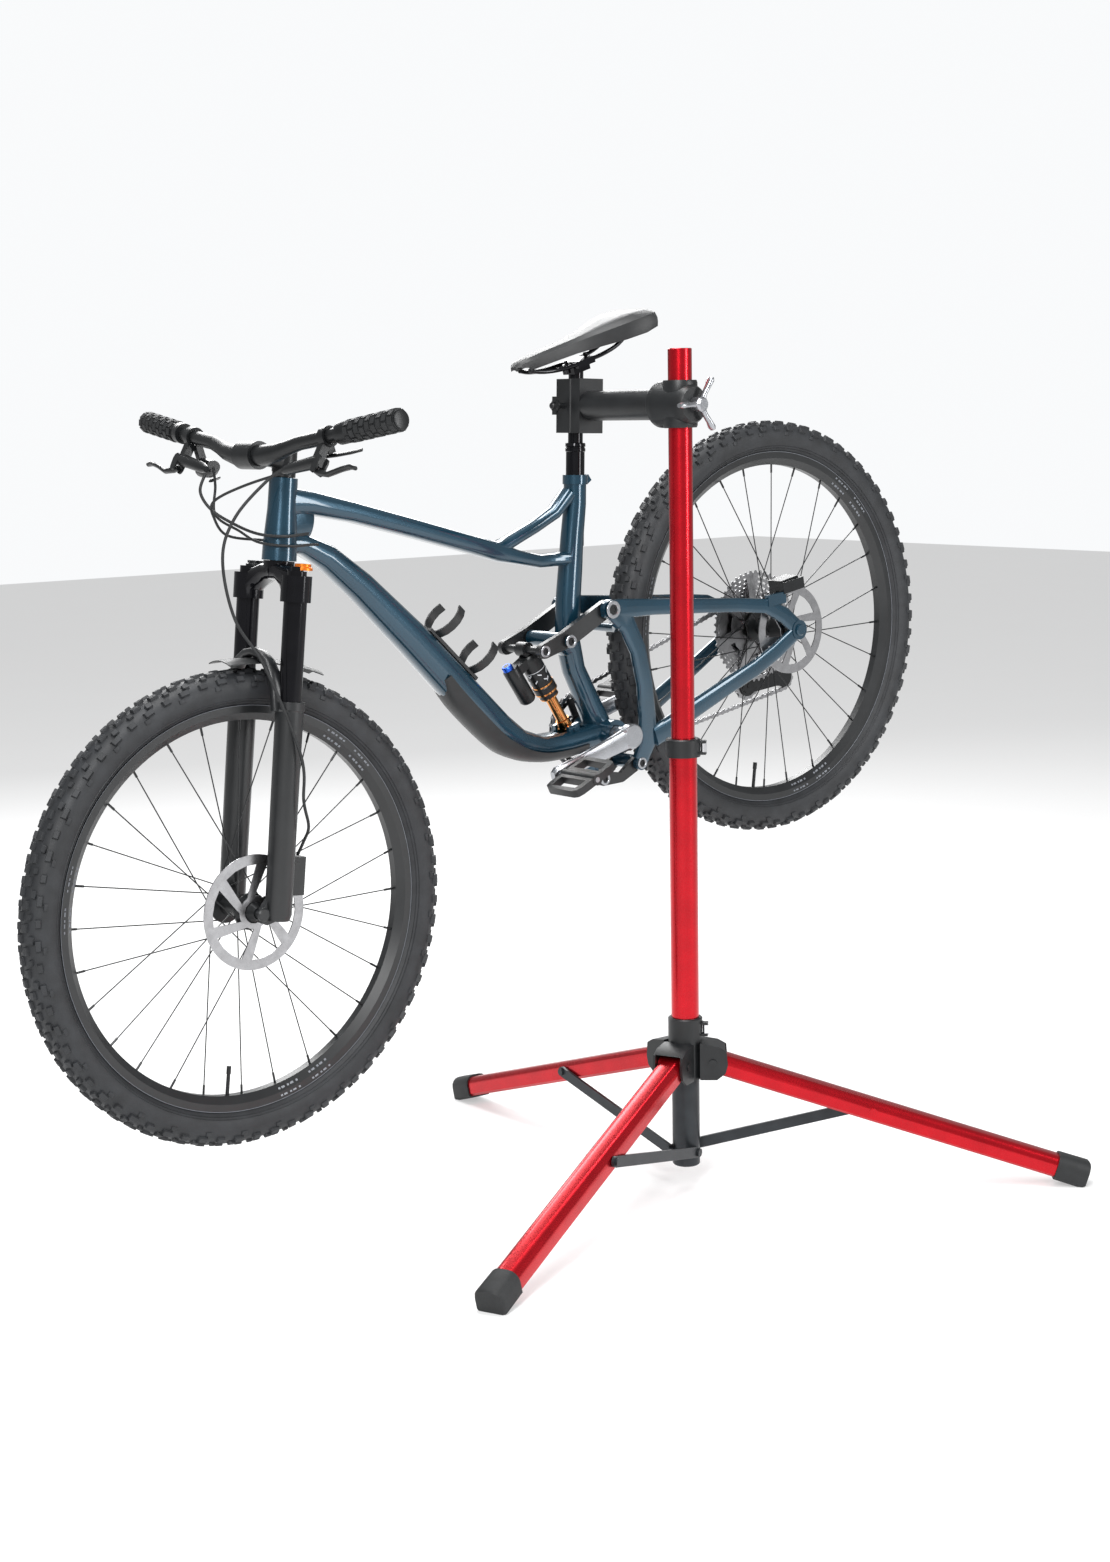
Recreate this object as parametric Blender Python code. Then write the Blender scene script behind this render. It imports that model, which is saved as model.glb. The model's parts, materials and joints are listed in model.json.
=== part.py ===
"""Full-suspension trail bicycle held nose-down by its seatpost in a folding tripod repair stand. Metres, +Z up."""

import math

import bmesh
import bpy
from mathutils import Vector
from mathutils.geometry import tessellate_polygon

for old in list(bpy.data.objects):
    bpy.data.objects.remove(old, do_unlink=True)

# ---------------------------------------------------------------- driving dimensions
GAP = 0.0003  # clearance between pieces that touch
SHIFT_X = 0.5717  # moves the whole assembly so that the origin is under its middle
SHIFT_Y = 0.1619

# stand
MAST_X, MAST_Y = -0.4494, -0.2608
UPPER_R = 0.0193
UPPER_WALL = 0.0022
UPPER_BOTTOM, UPPER_TOP = 0.470, 1.3785
LOWER_R = 0.0230
LOWER_BOTTOM, LOWER_TOP = 0.2650, 0.7500
POST_BOTTOM = 0.0330
COLLAR_LOW, COLLAR_HIGH = 0.7228, 0.7525
ARM_Z = 1.2900
HEAD_LOW, HEAD_HIGH = 1.2535, 1.3285
LEG_AZIMUTHS = {"front": -158.2, "right": -43.1, "left": 86.85}
LEG_W, LEG_H = 0.0440, 0.0370
HUB_PIVOT_R, HUB_PIVOT_Z = 0.0450, 0.2130
FOOT_R = 0.6600
BRACE_PIVOT_R, BRACE_PIVOT_Z = 0.0120, 0.0590
BRACE_LEG_R = 0.3100
BRACE_T, BRACE_H = 0.0050, 0.0180
HUB_LOW, HUB_HIGH, HUB_COLLAR = 0.1830, 0.2420, 0.2864

# bicycle, in its own level frame: f forward of the rear axle, u above it, y as in the world (-y is its left side)
PITCH = math.radians(17.23)
REAR_AXLE_Z = 0.8868
WHEELBASE = 1.1971
HEAD_ANGLE = math.radians(66.7)
HEAD_BOTTOM = (0.9496, 0.4785)
HEAD_LENGTH = 0.1282
POST_TOP = (0.2854, 0.5816)
POST_LOW = (0.3498, 0.3946)
BB = (0.4314, -0.0256)
CRANK = 0.1670
CRANK_ANGLE = math.radians(1.0)
TYRE_R, TYRE_W = 0.3715, 0.0600
RIM_R, RIM_DEPTH, RIM_W = 0.3165, 0.0230, 0.0350
LEG_Y = 0.0660
STANCHION_R, LOWER_LEG_R = 0.0178, 0.0218
LOWERS_TOP = 0.2110  # distance along the fork from the crown race to the top of the lowers
FRONT_ROTOR_R, REAR_ROTOR_R = 0.0900, 0.0800
ROCKER_PIVOT = (0.4889, 0.1685)
ROCKER_REAR = (0.3935, 0.1893)
ROCKER_FRONT = (0.5420, 0.1710)
LINK_FRONT = (0.4734, -0.0930)
LINK_REAR = (0.3910, -0.0978)
SHOCK_LOW = (0.4970, 0.0080)
BAR = (0.9433, 0.6467)
SPOKES = 28

CB, SB = math.cos(PITCH), math.sin(PITCH)


def W(f, y, u):
    return Vector((-CB * f - SB * u + SHIFT_X, y + SHIFT_Y, REAR_AXLE_Z - SB * f + CB * u))


def D(f, y, u):
    return Vector((-CB * f - SB * u, y, -SB * f + CB * u)).normalized()


def S(x, y, z):
    return Vector((x + SHIFT_X, y + SHIFT_Y, z))


Y = Vector((0, 1, 0))
Z = Vector((0, 0, 1))
MAST = (MAST_X, MAST_Y)


def steer(s, forward=0.0, y=0.0):
    """A point s up the steering axis from the crown race and forward of it."""
    c, n = math.cos(HEAD_ANGLE), math.sin(HEAD_ANGLE)
    return W(HEAD_BOTTOM[0] - c * s + n * forward, y, HEAD_BOTTOM[1] + n * s + c * forward)


STEER_UP = D(-math.cos(HEAD_ANGLE), 0, math.sin(HEAD_ANGLE))
STEER_FORWARD = D(math.sin(HEAD_ANGLE), 0, math.cos(HEAD_ANGLE))

# ---------------------------------------------------------------- materials


def material(name, colour, metallic, rough, coat=0.0):
    m = bpy.data.materials.new(name)
    m.use_nodes = True
    b = m.node_tree.nodes["Principled BSDF"]
    b.inputs["Base Color"].default_value = (*colour, 1)
    b.inputs["Metallic"].default_value = metallic
    b.inputs["Roughness"].default_value = rough
    b.inputs["Coat Weight"].default_value = coat
    return m


RED = material("red_anodised", (0.55, 0.01, 0.02), 0.7, 0.3)
CAST = material("black_casting", (0.02, 0.023, 0.026), 0.1, 0.45)
BLACK = material("black_matte", (0.018, 0.018, 0.02), 0.0, 0.5)
GLOSS = material("black_gloss", (0.01, 0.01, 0.012), 0.3, 0.15)
RUBBER = material("rubber", (0.03, 0.032, 0.035), 0.0, 0.75)
STEEL = material("steel", (0.5, 0.5, 0.5), 1.0, 0.3)
SILVER = material("silver", (0.65, 0.65, 0.66), 0.9, 0.3)
BLUE = material("petrol_blue", (0.012, 0.085, 0.14), 0.55, 0.28, 0.8)
COPPER = material("copper_shaft", (0.5, 0.2, 0.06), 1.0, 0.25)

# ---------------------------------------------------------------- solids as bmesh


def finish(bm):
    bmesh.ops.recalc_face_normals(bm, faces=bm.faces)
    if bm.calc_volume(signed=True) < 0:
        bmesh.ops.reverse_faces(bm, faces=bm.faces)
    return bm


def loft(rings, loop=False):
    """Rings of equal length joined into one closed solid. A ring of one point is a tip. loop joins the last ring to the first."""
    bm = bmesh.new()
    rows = [[bm.verts.new(p) for p in ring] for ring in rings]
    pairs = list(zip(rows, rows[1:] + rows[:1])) if loop else list(zip(rows, rows[1:]))
    for a, b in pairs:
        n = max(len(a), len(b))
        for i in range(n):
            j = (i + 1) % n
            if len(a) == 1:
                bm.faces.new((a[0], b[j], b[i]))
            elif len(b) == 1:
                bm.faces.new((a[i], a[j], b[0]))
            else:
                bm.faces.new((a[i], a[j], b[j], b[i]))
    if not loop:
        if len(rows[0]) > 1:
            bm.faces.new(rows[0][::-1])
        if len(rows[-1]) > 1:
            bm.faces.new(rows[-1])
    return finish(bm)


def across(axis):
    axis = Vector(axis).normalized()
    side = axis.cross(Vector((0, 1, 0)))
    if side.length < 0.2:
        side = axis.cross(Vector((0, 0, 1)))
    side.normalize()
    return side, axis.cross(side).normalized()


def circle(centre, axis, r, n, r2=None, first=None):
    """A ring about a centre. r lies along first, r2 across it."""
    axis = Vector(axis).normalized()
    if first is None:
        a, b = across(axis)
    else:
        a = (Vector(first) - axis * axis.dot(Vector(first))).normalized()
        b = axis.cross(a)
    r2 = r if r2 is None else r2
    centre = Vector(centre)
    return [
        centre + a * (r * math.cos(2 * math.pi * (i + 0.5) / n)) + b * (r2 * math.sin(2 * math.pi * (i + 0.5) / n))
        for i in range(n)
    ]


def rod(p, q, r, n=16, r_end=None):
    axis = Vector(q) - Vector(p)
    return loft([circle(p, axis, r, n), circle(q, axis, r if r_end is None else r_end, n)])


def turned(base, axis, profile, n=32):
    """A solid of revolution. profile holds (radius, height along the axis); radius 0 is a tip. A first point equal to the last closes a ring."""
    base, axis = Vector(base), Vector(axis).normalized()
    closed = profile[0] == profile[-1]
    rows = profile[:-1] if closed else profile
    rings = [
        [base + axis * h] if r < 1e-9 else circle(base + axis * h, axis, r, n)
        for r, h in rows
    ]
    return loft(rings, loop=closed)


def ring_solid(base, axis, r_in, r_out, h0, h1, n=32):
    return turned(base, axis, [(r_in, h0), (r_out, h0), (r_out, h1), (r_in, h1), (r_in, h0)], n)


def smooth_path(points, steps=6):
    """A Catmull-Rom curve through the points, which may carry extra numbers after the first three."""
    rows = [tuple(p) for p in points]
    rows = [rows[0]] + rows + [rows[-1]]
    out = []
    for k in range(1, len(rows) - 2):
        a, b, c, d = rows[k - 1 : k + 3]
        for i in range(steps):
            t = i / steps
            out.append(
                tuple(
                    0.5 * (2 * b[j] + (c[j] - a[j]) * t + (2 * a[j] - 5 * b[j] + 4 * c[j] - d[j]) * t * t + (3 * b[j] - a[j] - 3 * c[j] + d[j]) * t**3)
                    for j in range(len(b))
                )
            )
    out.append(rows[-2])
    return out


def sweep(rows, n=12, side=Y, power=2.0):
    """A solid along rows of (x, y, z, half height, half width). Half width lies along side."""
    points = [Vector(r[:3]) for r in rows]
    rings = []
    side = Vector(side)
    for k, p in enumerate(points):
        along = (points[min(k + 1, len(points) - 1)] - points[max(k - 1, 0)]).normalized()
        s = (side - along * along.dot(side)).normalized()
        up = s.cross(along)
        hh, hw = rows[k][3], rows[k][4]
        ring = []
        for i in range(n):
            t = 2 * math.pi * (i + 0.5) / n
            c, q = math.cos(t), math.sin(t)
            c = math.copysign(abs(c) ** (2 / power), c)
            q = math.copysign(abs(q) ** (2 / power), q)
            ring.append(p + s * (hw * c) + up * (hh * q))
        rings.append(ring)
    return loft(rings)


def tube(points, r, n=8, steps=5):
    """A round cable through the points, without twist."""
    path = [Vector(p) for p in smooth_path(points, steps)]
    rings = []
    side = None
    for k, p in enumerate(path):
        along = (path[min(k + 1, len(path) - 1)] - path[max(k - 1, 0)]).normalized()
        side = across(along)[0] if side is None else (side - along * along.dot(side)).normalized()
        rings.append(circle(p, along, r, n, first=side))
    return loft(rings)


def prism(outline, origin, a, b, h0, h1, holes=()):
    """A flat plate: outline in the (a, b) plane at origin, from h0 to h1 along a x b."""
    origin, a, b = Vector(origin), Vector(a).normalized(), Vector(b).normalized()
    normal = a.cross(b).normalized()
    loops = [list(outline)] + [list(h) for h in holes]
    flat = [Vector((x, y, 0)) for loop in loops for x, y in loop]
    tris = tessellate_polygon([[Vector((x, y, 0)) for x, y in loop] for loop in loops])
    bm = bmesh.new()
    low = [bm.verts.new(origin + a * p.x + b * p.y + normal * h0) for p in flat]
    high = [bm.verts.new(origin + a * p.x + b * p.y + normal * h1) for p in flat]
    for t in tris:
        bm.faces.new([low[i] for i in t])
        bm.faces.new([high[i] for i in reversed(t)])
    start = 0
    for loop in loops:
        n = len(loop)
        for i in range(n):
            j = (i + 1) % n
            bm.faces.new((low[start + i], low[start + j], high[start + j], high[start + i]))
        start += n
    bmesh.ops.dissolve_degenerate(bm, edges=bm.edges, dist=1e-6)
    return finish(bm)


def block(centre, a, b, ha, hb, hc):
    """A box by its centre, two directions and half sizes; the third direction is a x b."""
    return prism([(-ha, -hb), (ha, -hb), (ha, hb), (-ha, hb)], centre, a, b, -hc, hc)


def disc(r, n=24, x=0.0, y=0.0):
    return [(x + r * math.cos(2 * math.pi * i / n), y + r * math.sin(2 * math.pi * i / n)) for i in range(n)]


def slot(p, q, rp, rq, n=16):
    """The outline around two circles."""
    p, q = Vector(p), Vector(q)
    base = math.atan2(q.y - p.y, q.x - p.x)
    lean = math.acos(max(-1, min(1, (rp - rq) / (q - p).length)))
    out = []
    for i in range(n + 1):
        t = base + lean + (2 * math.pi - 2 * lean) * i / n
        out.append((p.x + rp * math.cos(t), p.y + rp * math.sin(t)))
    for i in range(n + 1):
        t = base - lean + 2 * lean * i / n
        out.append((q.x + rq * math.cos(t), q.y + rq * math.sin(t)))
    return out


def merge(parts):
    """Meshes that don't meet, as one operand."""
    bm = bmesh.new()
    for part in parts:
        me = bpy.data.meshes.new("tmp")
        part.to_mesh(me)
        bm.from_mesh(me)
        bpy.data.meshes.remove(me)
        part.free()
    return bm


def as_object(bm, name, mat=None):
    me = bpy.data.meshes.new(name)
    bmesh.ops.triangulate(bm, faces=bm.faces)
    bm.to_mesh(me)
    bm.free()
    obj = bpy.data.objects.new(name, me)
    bpy.context.collection.objects.link(obj)
    if mat:
        me.materials.append(mat)
    return obj


def boolean(bm, others, operation):
    """One operand at a time, with the seams cleaned after each."""
    for other in others:
        base, tool = as_object(bm, "base"), as_object(other, "tool")
        tool.hide_render = True
        tool.display_type = "WIRE"
        mod = base.modifiers.new("b", "BOOLEAN")
        mod.operation = operation
        mod.solver = "EXACT"
        mod.object = tool
        bpy.context.view_layer.update()
        done = bpy.data.meshes.new_from_object(base.evaluated_get(bpy.context.evaluated_depsgraph_get()))
        bpy.data.objects.remove(tool, do_unlink=True)
        bpy.data.objects.remove(base, do_unlink=True)
        bm = bmesh.new()
        bm.from_mesh(done)
        bmesh.ops.remove_doubles(bm, verts=bm.verts, dist=2e-6)
        bmesh.ops.dissolve_degenerate(bm, edges=bm.edges, dist=1e-6)
        bmesh.ops.dissolve_limit(bm, angle_limit=math.radians(0.05), verts=bm.verts, edges=bm.edges)
    return bm


def join(bm, *others):
    return boolean(bm, others, "UNION")


def cut(bm, *others):
    return boolean(bm, others, "DIFFERENCE")


def thinned(bm, share):
    """The same closed surface with fewer triangles, taken where it is nearly flat."""
    obj = as_object(bm, "thin")
    mod = obj.modifiers.new("d", "DECIMATE")
    mod.ratio = share
    bpy.context.view_layer.update()
    done = bpy.data.meshes.new_from_object(obj.evaluated_get(bpy.context.evaluated_depsgraph_get()))
    out = bmesh.new()
    out.from_mesh(done)
    bpy.data.objects.remove(obj, do_unlink=True)
    return out


def part(name, bm, mat, pivot=None, flat=2.0, keep=1.0):
    """The finished piece, with its origin on its joint's axis. Faces within flat degrees of each other become one."""
    finish(bm)
    bmesh.ops.dissolve_limit(bm, angle_limit=math.radians(flat), verts=bm.verts, edges=bm.edges)
    if keep < 1:
        bm = finish(thinned(bm, keep))
    bmesh.ops.dissolve_limit(bm, angle_limit=math.radians(flat), verts=bm.verts, edges=bm.edges)
    pivot = Vector(pivot) if pivot is not None else Vector((0, 0, 0))
    bmesh.ops.translate(bm, verts=bm.verts, vec=-pivot)
    obj = as_object(bm, name, mat)
    obj.location = pivot
    return obj


# ================================================================ stand
mast = S(*MAST, 0)

# black centre post with a spigot up into the red tube, and an ear beside each leg's plane for its brace
post = turned(
    mast,
    Z,
    [
        (0, POST_BOTTOM),
        (0.021, POST_BOTTOM),
        (LOWER_R, POST_BOTTOM + 0.002),
        (LOWER_R, LOWER_BOTTOM - GAP),
        (UPPER_R + 0.0002, LOWER_BOTTOM - GAP),
        (UPPER_R + 0.0002, 0.330),
        (0, 0.330),
    ],
    20,
)


def leg_axes(azimuth):
    t = math.radians(azimuth)
    return Vector((math.cos(t), math.sin(t), 0)), Vector((-math.sin(t), math.cos(t), 0))


SIDE = LEG_W / 2 + 0.0012 + BRACE_T / 2  # the brace lies beside its leg
for azimuth in LEG_AZIMUTHS.values():
    out, left = leg_axes(azimuth)
    pin = mast + out * BRACE_PIVOT_R + Z * BRACE_PIVOT_Z
    stub = rod(pin + left * 0.012, pin + left * (SIDE + BRACE_T / 2 + 0.0010), 0.0040, 10)
    head = rod(pin + left * (SIDE + BRACE_T / 2 + 0.0005), pin + left * (SIDE + BRACE_T / 2 + 0.0035), 0.0070, 10)
    shoulder = rod(pin + left * 0.012, pin + left * (SIDE - BRACE_T / 2 - 0.0004), 0.0085, 10)
    post = join(post, shoulder, stub, head)
part("centre_post", post, CAST, keep=1)

part(
    "lower_mast",
    ring_solid(mast, Z, UPPER_R + 0.0005, LOWER_R, LOWER_BOTTOM, LOWER_TOP - 0.0100, 20),
    RED,
    keep=1,
)

part(
    "upper_mast",
    turned(
        mast,
        Z,
        [
            (0, UPPER_TOP - 0.004),
            (UPPER_R - UPPER_WALL, UPPER_TOP - 0.004),
            (UPPER_R - UPPER_WALL, UPPER_BOTTOM),
            (UPPER_R, UPPER_BOTTOM),
            (UPPER_R, UPPER_TOP - 0.001),
            (UPPER_R - 0.001, UPPER_TOP),
            (0, UPPER_TOP),
        ],
        20,
    ),
    RED,
    mast,
    keep=1,
)

# the collar's lower half grips the lower tube and its upper half guides the upper one
FACE = Vector((math.cos(math.radians(-50)), math.sin(math.radians(-50)), 0))  # where both quick-release levers sit
FACE_SIDE = Z.cross(FACE)
COLLAR_R = 0.0285
collar = turned(
    mast,
    Z,
    [
        (LOWER_R + GAP, COLLAR_LOW),
        (COLLAR_R, COLLAR_LOW),
        (COLLAR_R, COLLAR_HIGH - 0.002),
        (COLLAR_R - 0.002, COLLAR_HIGH),
        (UPPER_R + 0.0005, COLLAR_HIGH),
        (UPPER_R + 0.0005, LOWER_TOP - 0.0097),
        (LOWER_R + GAP, LOWER_TOP - 0.0097),
        (LOWER_R + GAP, COLLAR_LOW),
    ],
    20,
)


def lever_boss(z, r):
    """Two ears with the lever's pin between them, on the collar's side."""
    centre = mast + Z * z + FACE * (r + 0.0035)
    return [
        block(centre + Z * 0.0095, FACE, FACE_SIDE, 0.0060, 0.0065, 0.0020),
        block(centre - Z * 0.0095, FACE, FACE_SIDE, 0.0060, 0.0065, 0.0020),
        rod(centre - Z * 0.0085 + FACE * 0.0020, centre + Z * 0.0085 + FACE * 0.0020, 0.0022, 10),
    ]


def lever(z, r):
    """The cam lever: an eye on the pin and an arm that hugs the collar."""
    pin = mast + Z * z + FACE * (r + 0.0055)
    eye = turned(pin, Z, [(0.0026, -0.0070), (0.0050, -0.0070), (0.0050, 0.0070), (0.0026, 0.0070), (0.0026, -0.0070)], 10)
    start = math.atan2(FACE.y, FACE.x)
    rows = []
    for i in range(7):
        t = start + math.radians(7 + 10 * i)
        rr = r + 0.0060 + 0.0006 * i
        p = mast + Z * z + Vector((math.cos(t), math.sin(t), 0)) * rr
        rows.append((*p, 0.0028 if i else 0.0022, 0.0068 if i < 6 else 0.0050))
    return join(eye, sweep(rows, 8, side=Z, power=3.0)), pin


collar = join(collar, *lever_boss((COLLAR_LOW + COLLAR_HIGH) / 2, COLLAR_R))
part("mast_collar", collar, CAST, keep=1)
solid, pin = lever((COLLAR_LOW + COLLAR_HIGH) / 2, COLLAR_R)
part("collar_lever", solid, SILVER, pin)

# the hub casting: a sleeve that slides on the mast, a clamp collar on top and a hood over each leg
SLEEVE_R = LOWER_R + 0.0006
HUB_R = 0.0285
SLOT = LEG_W / 2 + 0.0006
hub = turned(
    mast,
    Z,
    [
        (SLEEVE_R, HUB_LOW),
        (HUB_R, HUB_LOW),
        (HUB_R, HUB_COLLAR - 0.002),
        (HUB_R - 0.002, HUB_COLLAR),
        (SLEEVE_R, HUB_COLLAR),
        (SLEEVE_R, HUB_LOW),
    ],
    20,
)
hoods, slots, pins = [], [], []
for azimuth in LEG_AZIMUTHS.values():
    out, left = leg_axes(azimuth)
    profile = [
        (0.024, HUB_LOW + 0.001),
        (0.052, HUB_LOW + 0.001),
        (0.066, HUB_LOW + 0.012),
        (0.070, HUB_LOW + 0.026),
        (0.068, HUB_HIGH - 0.009),
        (0.054, HUB_HIGH - 0.001),
        (0.024, HUB_HIGH + 0.004),
    ]
    hoods.append(prism(profile, mast, out, Z, -(SLOT + 0.0042), SLOT + 0.0042))
    slots.append(
        prism(
            [(0.0262, HUB_LOW - 0.01), (0.09, HUB_LOW - 0.01), (0.09, HUB_PIVOT_Z + 0.0210), (0.0262, HUB_PIVOT_Z + 0.0210)],
            mast,
            out,
            Z,
            -SLOT,
            SLOT,
        )
    )
    pin = mast + out * HUB_PIVOT_R + Z * HUB_PIVOT_Z
    pins.append(rod(pin - left * (SLOT + 0.002), pin + left * (SLOT + 0.002), 0.0040, 10))
    for way in (-1, 1):
        pins.append(rod(pin + left * way * (SLOT + 0.0035), pin + left * way * (SLOT + 0.0068), 0.0066, 8))
hub = join(hub, *hoods)
hub = cut(hub, rod(mast + Z * 0.1, mast + Z * 0.35, SLEEVE_R, 20), *slots)
hub = join(hub, *pins)
hub = join(hub, *lever_boss((HUB_HIGH + HUB_COLLAR) / 2 + 0.002, HUB_R))
part("tripod_hub", hub, CAST)
solid, pin = lever((HUB_HIGH + HUB_COLLAR) / 2 + 0.002, HUB_R)
part("hub_lever", solid, SILVER, pin)

# legs, their rubber feet and the flat braces
LEG_END_Z = 0.0180
SLOPE = math.atan2(HUB_PIVOT_Z - LEG_END_Z, FOOT_R - HUB_PIVOT_R)
for name, azimuth in LEG_AZIMUTHS.items():
    out, left = leg_axes(azimuth)
    down = out * math.cos(SLOPE) - Z * math.sin(SLOPE)
    up = left.cross(-down).normalized()
    if up.z < 0:
        up = -up
    pivot = mast + out * HUB_PIVOT_R + Z * HUB_PIVOT_Z
    length = (FOOT_R - HUB_PIVOT_R) / math.cos(SLOPE)

    def section(at, w, h, n=4):
        """A D-shaped ring: flat underneath, arched on top."""
        p = pivot + down * at
        pts = []
        r = 0.42 * h
        for k in range(n + 1):
            t = math.pi / 2 * k / n
            pts.append((w / 2 - r + r * math.cos(t), h / 2 - r + r * math.sin(t)))
        for k in range(n + 1):
            t = math.pi / 2 + math.pi / 2 * k / n
            pts.append((-w / 2 + r + r * math.cos(t), h / 2 - r + r * math.sin(t)))
        q = 0.12 * h
        pts += [(-w / 2, -h / 2 + q), (-w / 2 + q, -h / 2), (w / 2 - q, -h / 2), (w / 2, -h / 2 + q)]
        return [p + left * x + up * y for x, y in pts]

    tube_end = length - 0.012
    rings = [section(0.0, LEG_W, LEG_H - 0.002), section(tube_end, LEG_W, LEG_H - 0.002)]
    leg = join(loft(rings), prism(disc(LEG_H / 2 - 0.0012, 24), pivot, down, up, -LEG_W / 2 + 0.001, LEG_W / 2 - 0.001))
    leg = cut(leg, rod(pivot - left * 0.03, pivot + left * 0.03, 0.0044, 12))
    at = (BRACE_LEG_R - HUB_PIVOT_R) / math.cos(SLOPE)
    bolt = pivot + down * at
    leg = join(leg, rod(bolt - left * (LEG_W / 2 - 0.003), bolt - left * (LEG_W / 2 + 0.0022), 0.0060, 12))
    part("leg_" + name, leg, RED, pivot)

    cap_from, cap_to = length - 0.050, length + 0.004
    wall = 0.0026
    shell = loft(
        [
            section(cap_from, LEG_W + 2 * wall, LEG_H + 2 * wall),
            section(cap_to - 0.004, LEG_W + 2 * wall + 0.001, LEG_H + 2 * wall + 0.001),
            section(cap_to, LEG_W + 2 * wall - 0.004, LEG_H + 2 * wall - 0.004),
        ]
    )
    cavity = loft([section(cap_from - 0.01, LEG_W + 2 * GAP, LEG_H - 0.002 + 2 * GAP), section(tube_end + GAP, LEG_W + 2 * GAP, LEG_H - 0.002 + 2 * GAP)])
    floor = block(pivot + out * length + Z * (-pivot.z - 0.05), out, left, 0.2, 0.1, 0.05)
    part("foot_" + name, cut(shell, cavity, floor), RUBBER, pivot)

    inner = mast + out * BRACE_PIVOT_R + Z * BRACE_PIVOT_Z + left * SIDE
    outer = pivot + down * at + left * SIDE
    along = (outer - inner).normalized()
    over = along.cross(left).normalized()
    reach = (outer - inner).length
    bar = prism(
        slot((0, 0), (reach, 0), BRACE_H / 2, BRACE_H / 2, 8), inner, along, over, -BRACE_T / 2, BRACE_T / 2, holes=[disc(0.0044, 12)]
    )
    bar = join(bar, rod(outer + left * (BRACE_T / 2 - 0.001), outer + left * (BRACE_T / 2 + 0.0035), 0.0062, 10))
    part("brace_" + name, bar, CAST, inner)

# the head: a sleeve on the upper mast and a drum that carries the clamp's arm
hub_axis = Y
arm_centre = mast + Z * ARM_Z
HEAD_R = 0.0375
ARM_R = 0.0245
sleeve = turned(
    mast,
    Z,
    [
        (0.0, HEAD_LOW),
        (0.0265, HEAD_LOW),
        (0.0280, HEAD_LOW + 0.004),
        (0.0280, HEAD_HIGH - 0.004),
        (0.0265, HEAD_HIGH),
        (0.0, HEAD_HIGH),
    ],
    20,
)
drum = turned(
    arm_centre,
    hub_axis,
    [(0, -0.0340), (0.0270, -0.0340), (0.0310, -0.0280), (0.0330, -0.0100), (0.0350, 0.0120), (HEAD_R - 0.0008, 0.0260), (HEAD_R, 0.0330), (0, 0.0330)],
    24,
)
head = join(sleeve, drum)
head = cut(head, rod(mast + Z * 1.2, mast + Z * 1.4, UPPER_R + GAP, 20))
part("clamp_head", head, CAST)

# three-armed tension knob on the camera side of the head
knob_face = arm_centre - Y * 0.0343
knob = turned(knob_face, -Y, [(0, 0), (0.0110, 0), (0.0120, 0.006), (0.0120, 0.0180), (0.0090, 0.0215), (0, 0.0215)], 14)
arms = []
for k in range(3):
    t = math.radians(62 + 120 * k)
    way = Vector((math.cos(t), 0, math.sin(t)))
    rows = [
        (*(knob_face - Y * 0.013 + way * 0.006), 0.0050, 0.0060),
        (*(knob_face - Y * 0.013 + way * 0.020), 0.0042, 0.0052),
        (*(knob_face - Y * 0.015 + way * 0.033), 0.0045, 0.0060),
        (*(knob_face - Y * 0.015 + way * 0.042), 0.0052, 0.0078),
        (*(knob_face - Y * 0.015 + way * 0.047), 0.0035, 0.0055),
    ]
    arms.append(sweep(rows, 8, side=Y))
part("head_knob", join(knob, *arms), SILVER, arm_centre, keep=0.7)

# post axis, where the jaws close round the dropper's stanchion
post_down = D(POST_LOW[0] - POST_TOP[0], 0, POST_LOW[1] - POST_TOP[1])
post_top = W(POST_TOP[0], 0, POST_TOP[1])


def post_at(z):
    return post_top + post_down * ((post_top.z - z) / -post_down.z)


grip = post_at(ARM_Z)
post_x = Y.cross(-post_down).normalized()  # towards the rear of the bicycle, square to the post
if post_x.x < 0:
    post_x = -post_x
POST_R = 0.0125
JAW_HALF = 0.0450
# arm: from the drum to the jaw plate, with its index ring
arm_start = arm_centre + Y * 0.0333
arm_end_y = grip.y - 0.0160
arm_len = arm_end_y - arm_start.y
arm = turned(
    arm_start,
    Y,
    [
        (0, 0),
        (HEAD_R - 0.0005, 0),
        (HEAD_R - 0.0005, 0.0080),
        (0.0345, 0.0110),
        (ARM_R + 0.001, 0.0120),
        (ARM_R, 0.0130),
        (ARM_R, arm_len - 0.0300),
        (ARM_R - 0.0020, arm_len - 0.0120),
        (ARM_R - 0.0060, arm_len - 0.0060),
        (0, arm_len - 0.0060),
    ],
    28,
)
plate = prism(
    [(-0.0255, -0.0400), (0.0255, -0.0400), (0.0275, -0.0370), (0.0275, 0.0200), (0.0250, 0.0225), (0.0062, 0.0225), (0.0062, -0.0180), (-0.0255, -0.0180)],
    grip,
    post_x,
    Y,
    -JAW_HALF,
    JAW_HALF,
)
arm = join(arm, plate)
arm = cut(arm, rod(grip - post_down * 0.1, grip + post_down * 0.1, POST_R + GAP, 18))
part("clamp_arm", arm, CAST, arm_centre)

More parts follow.
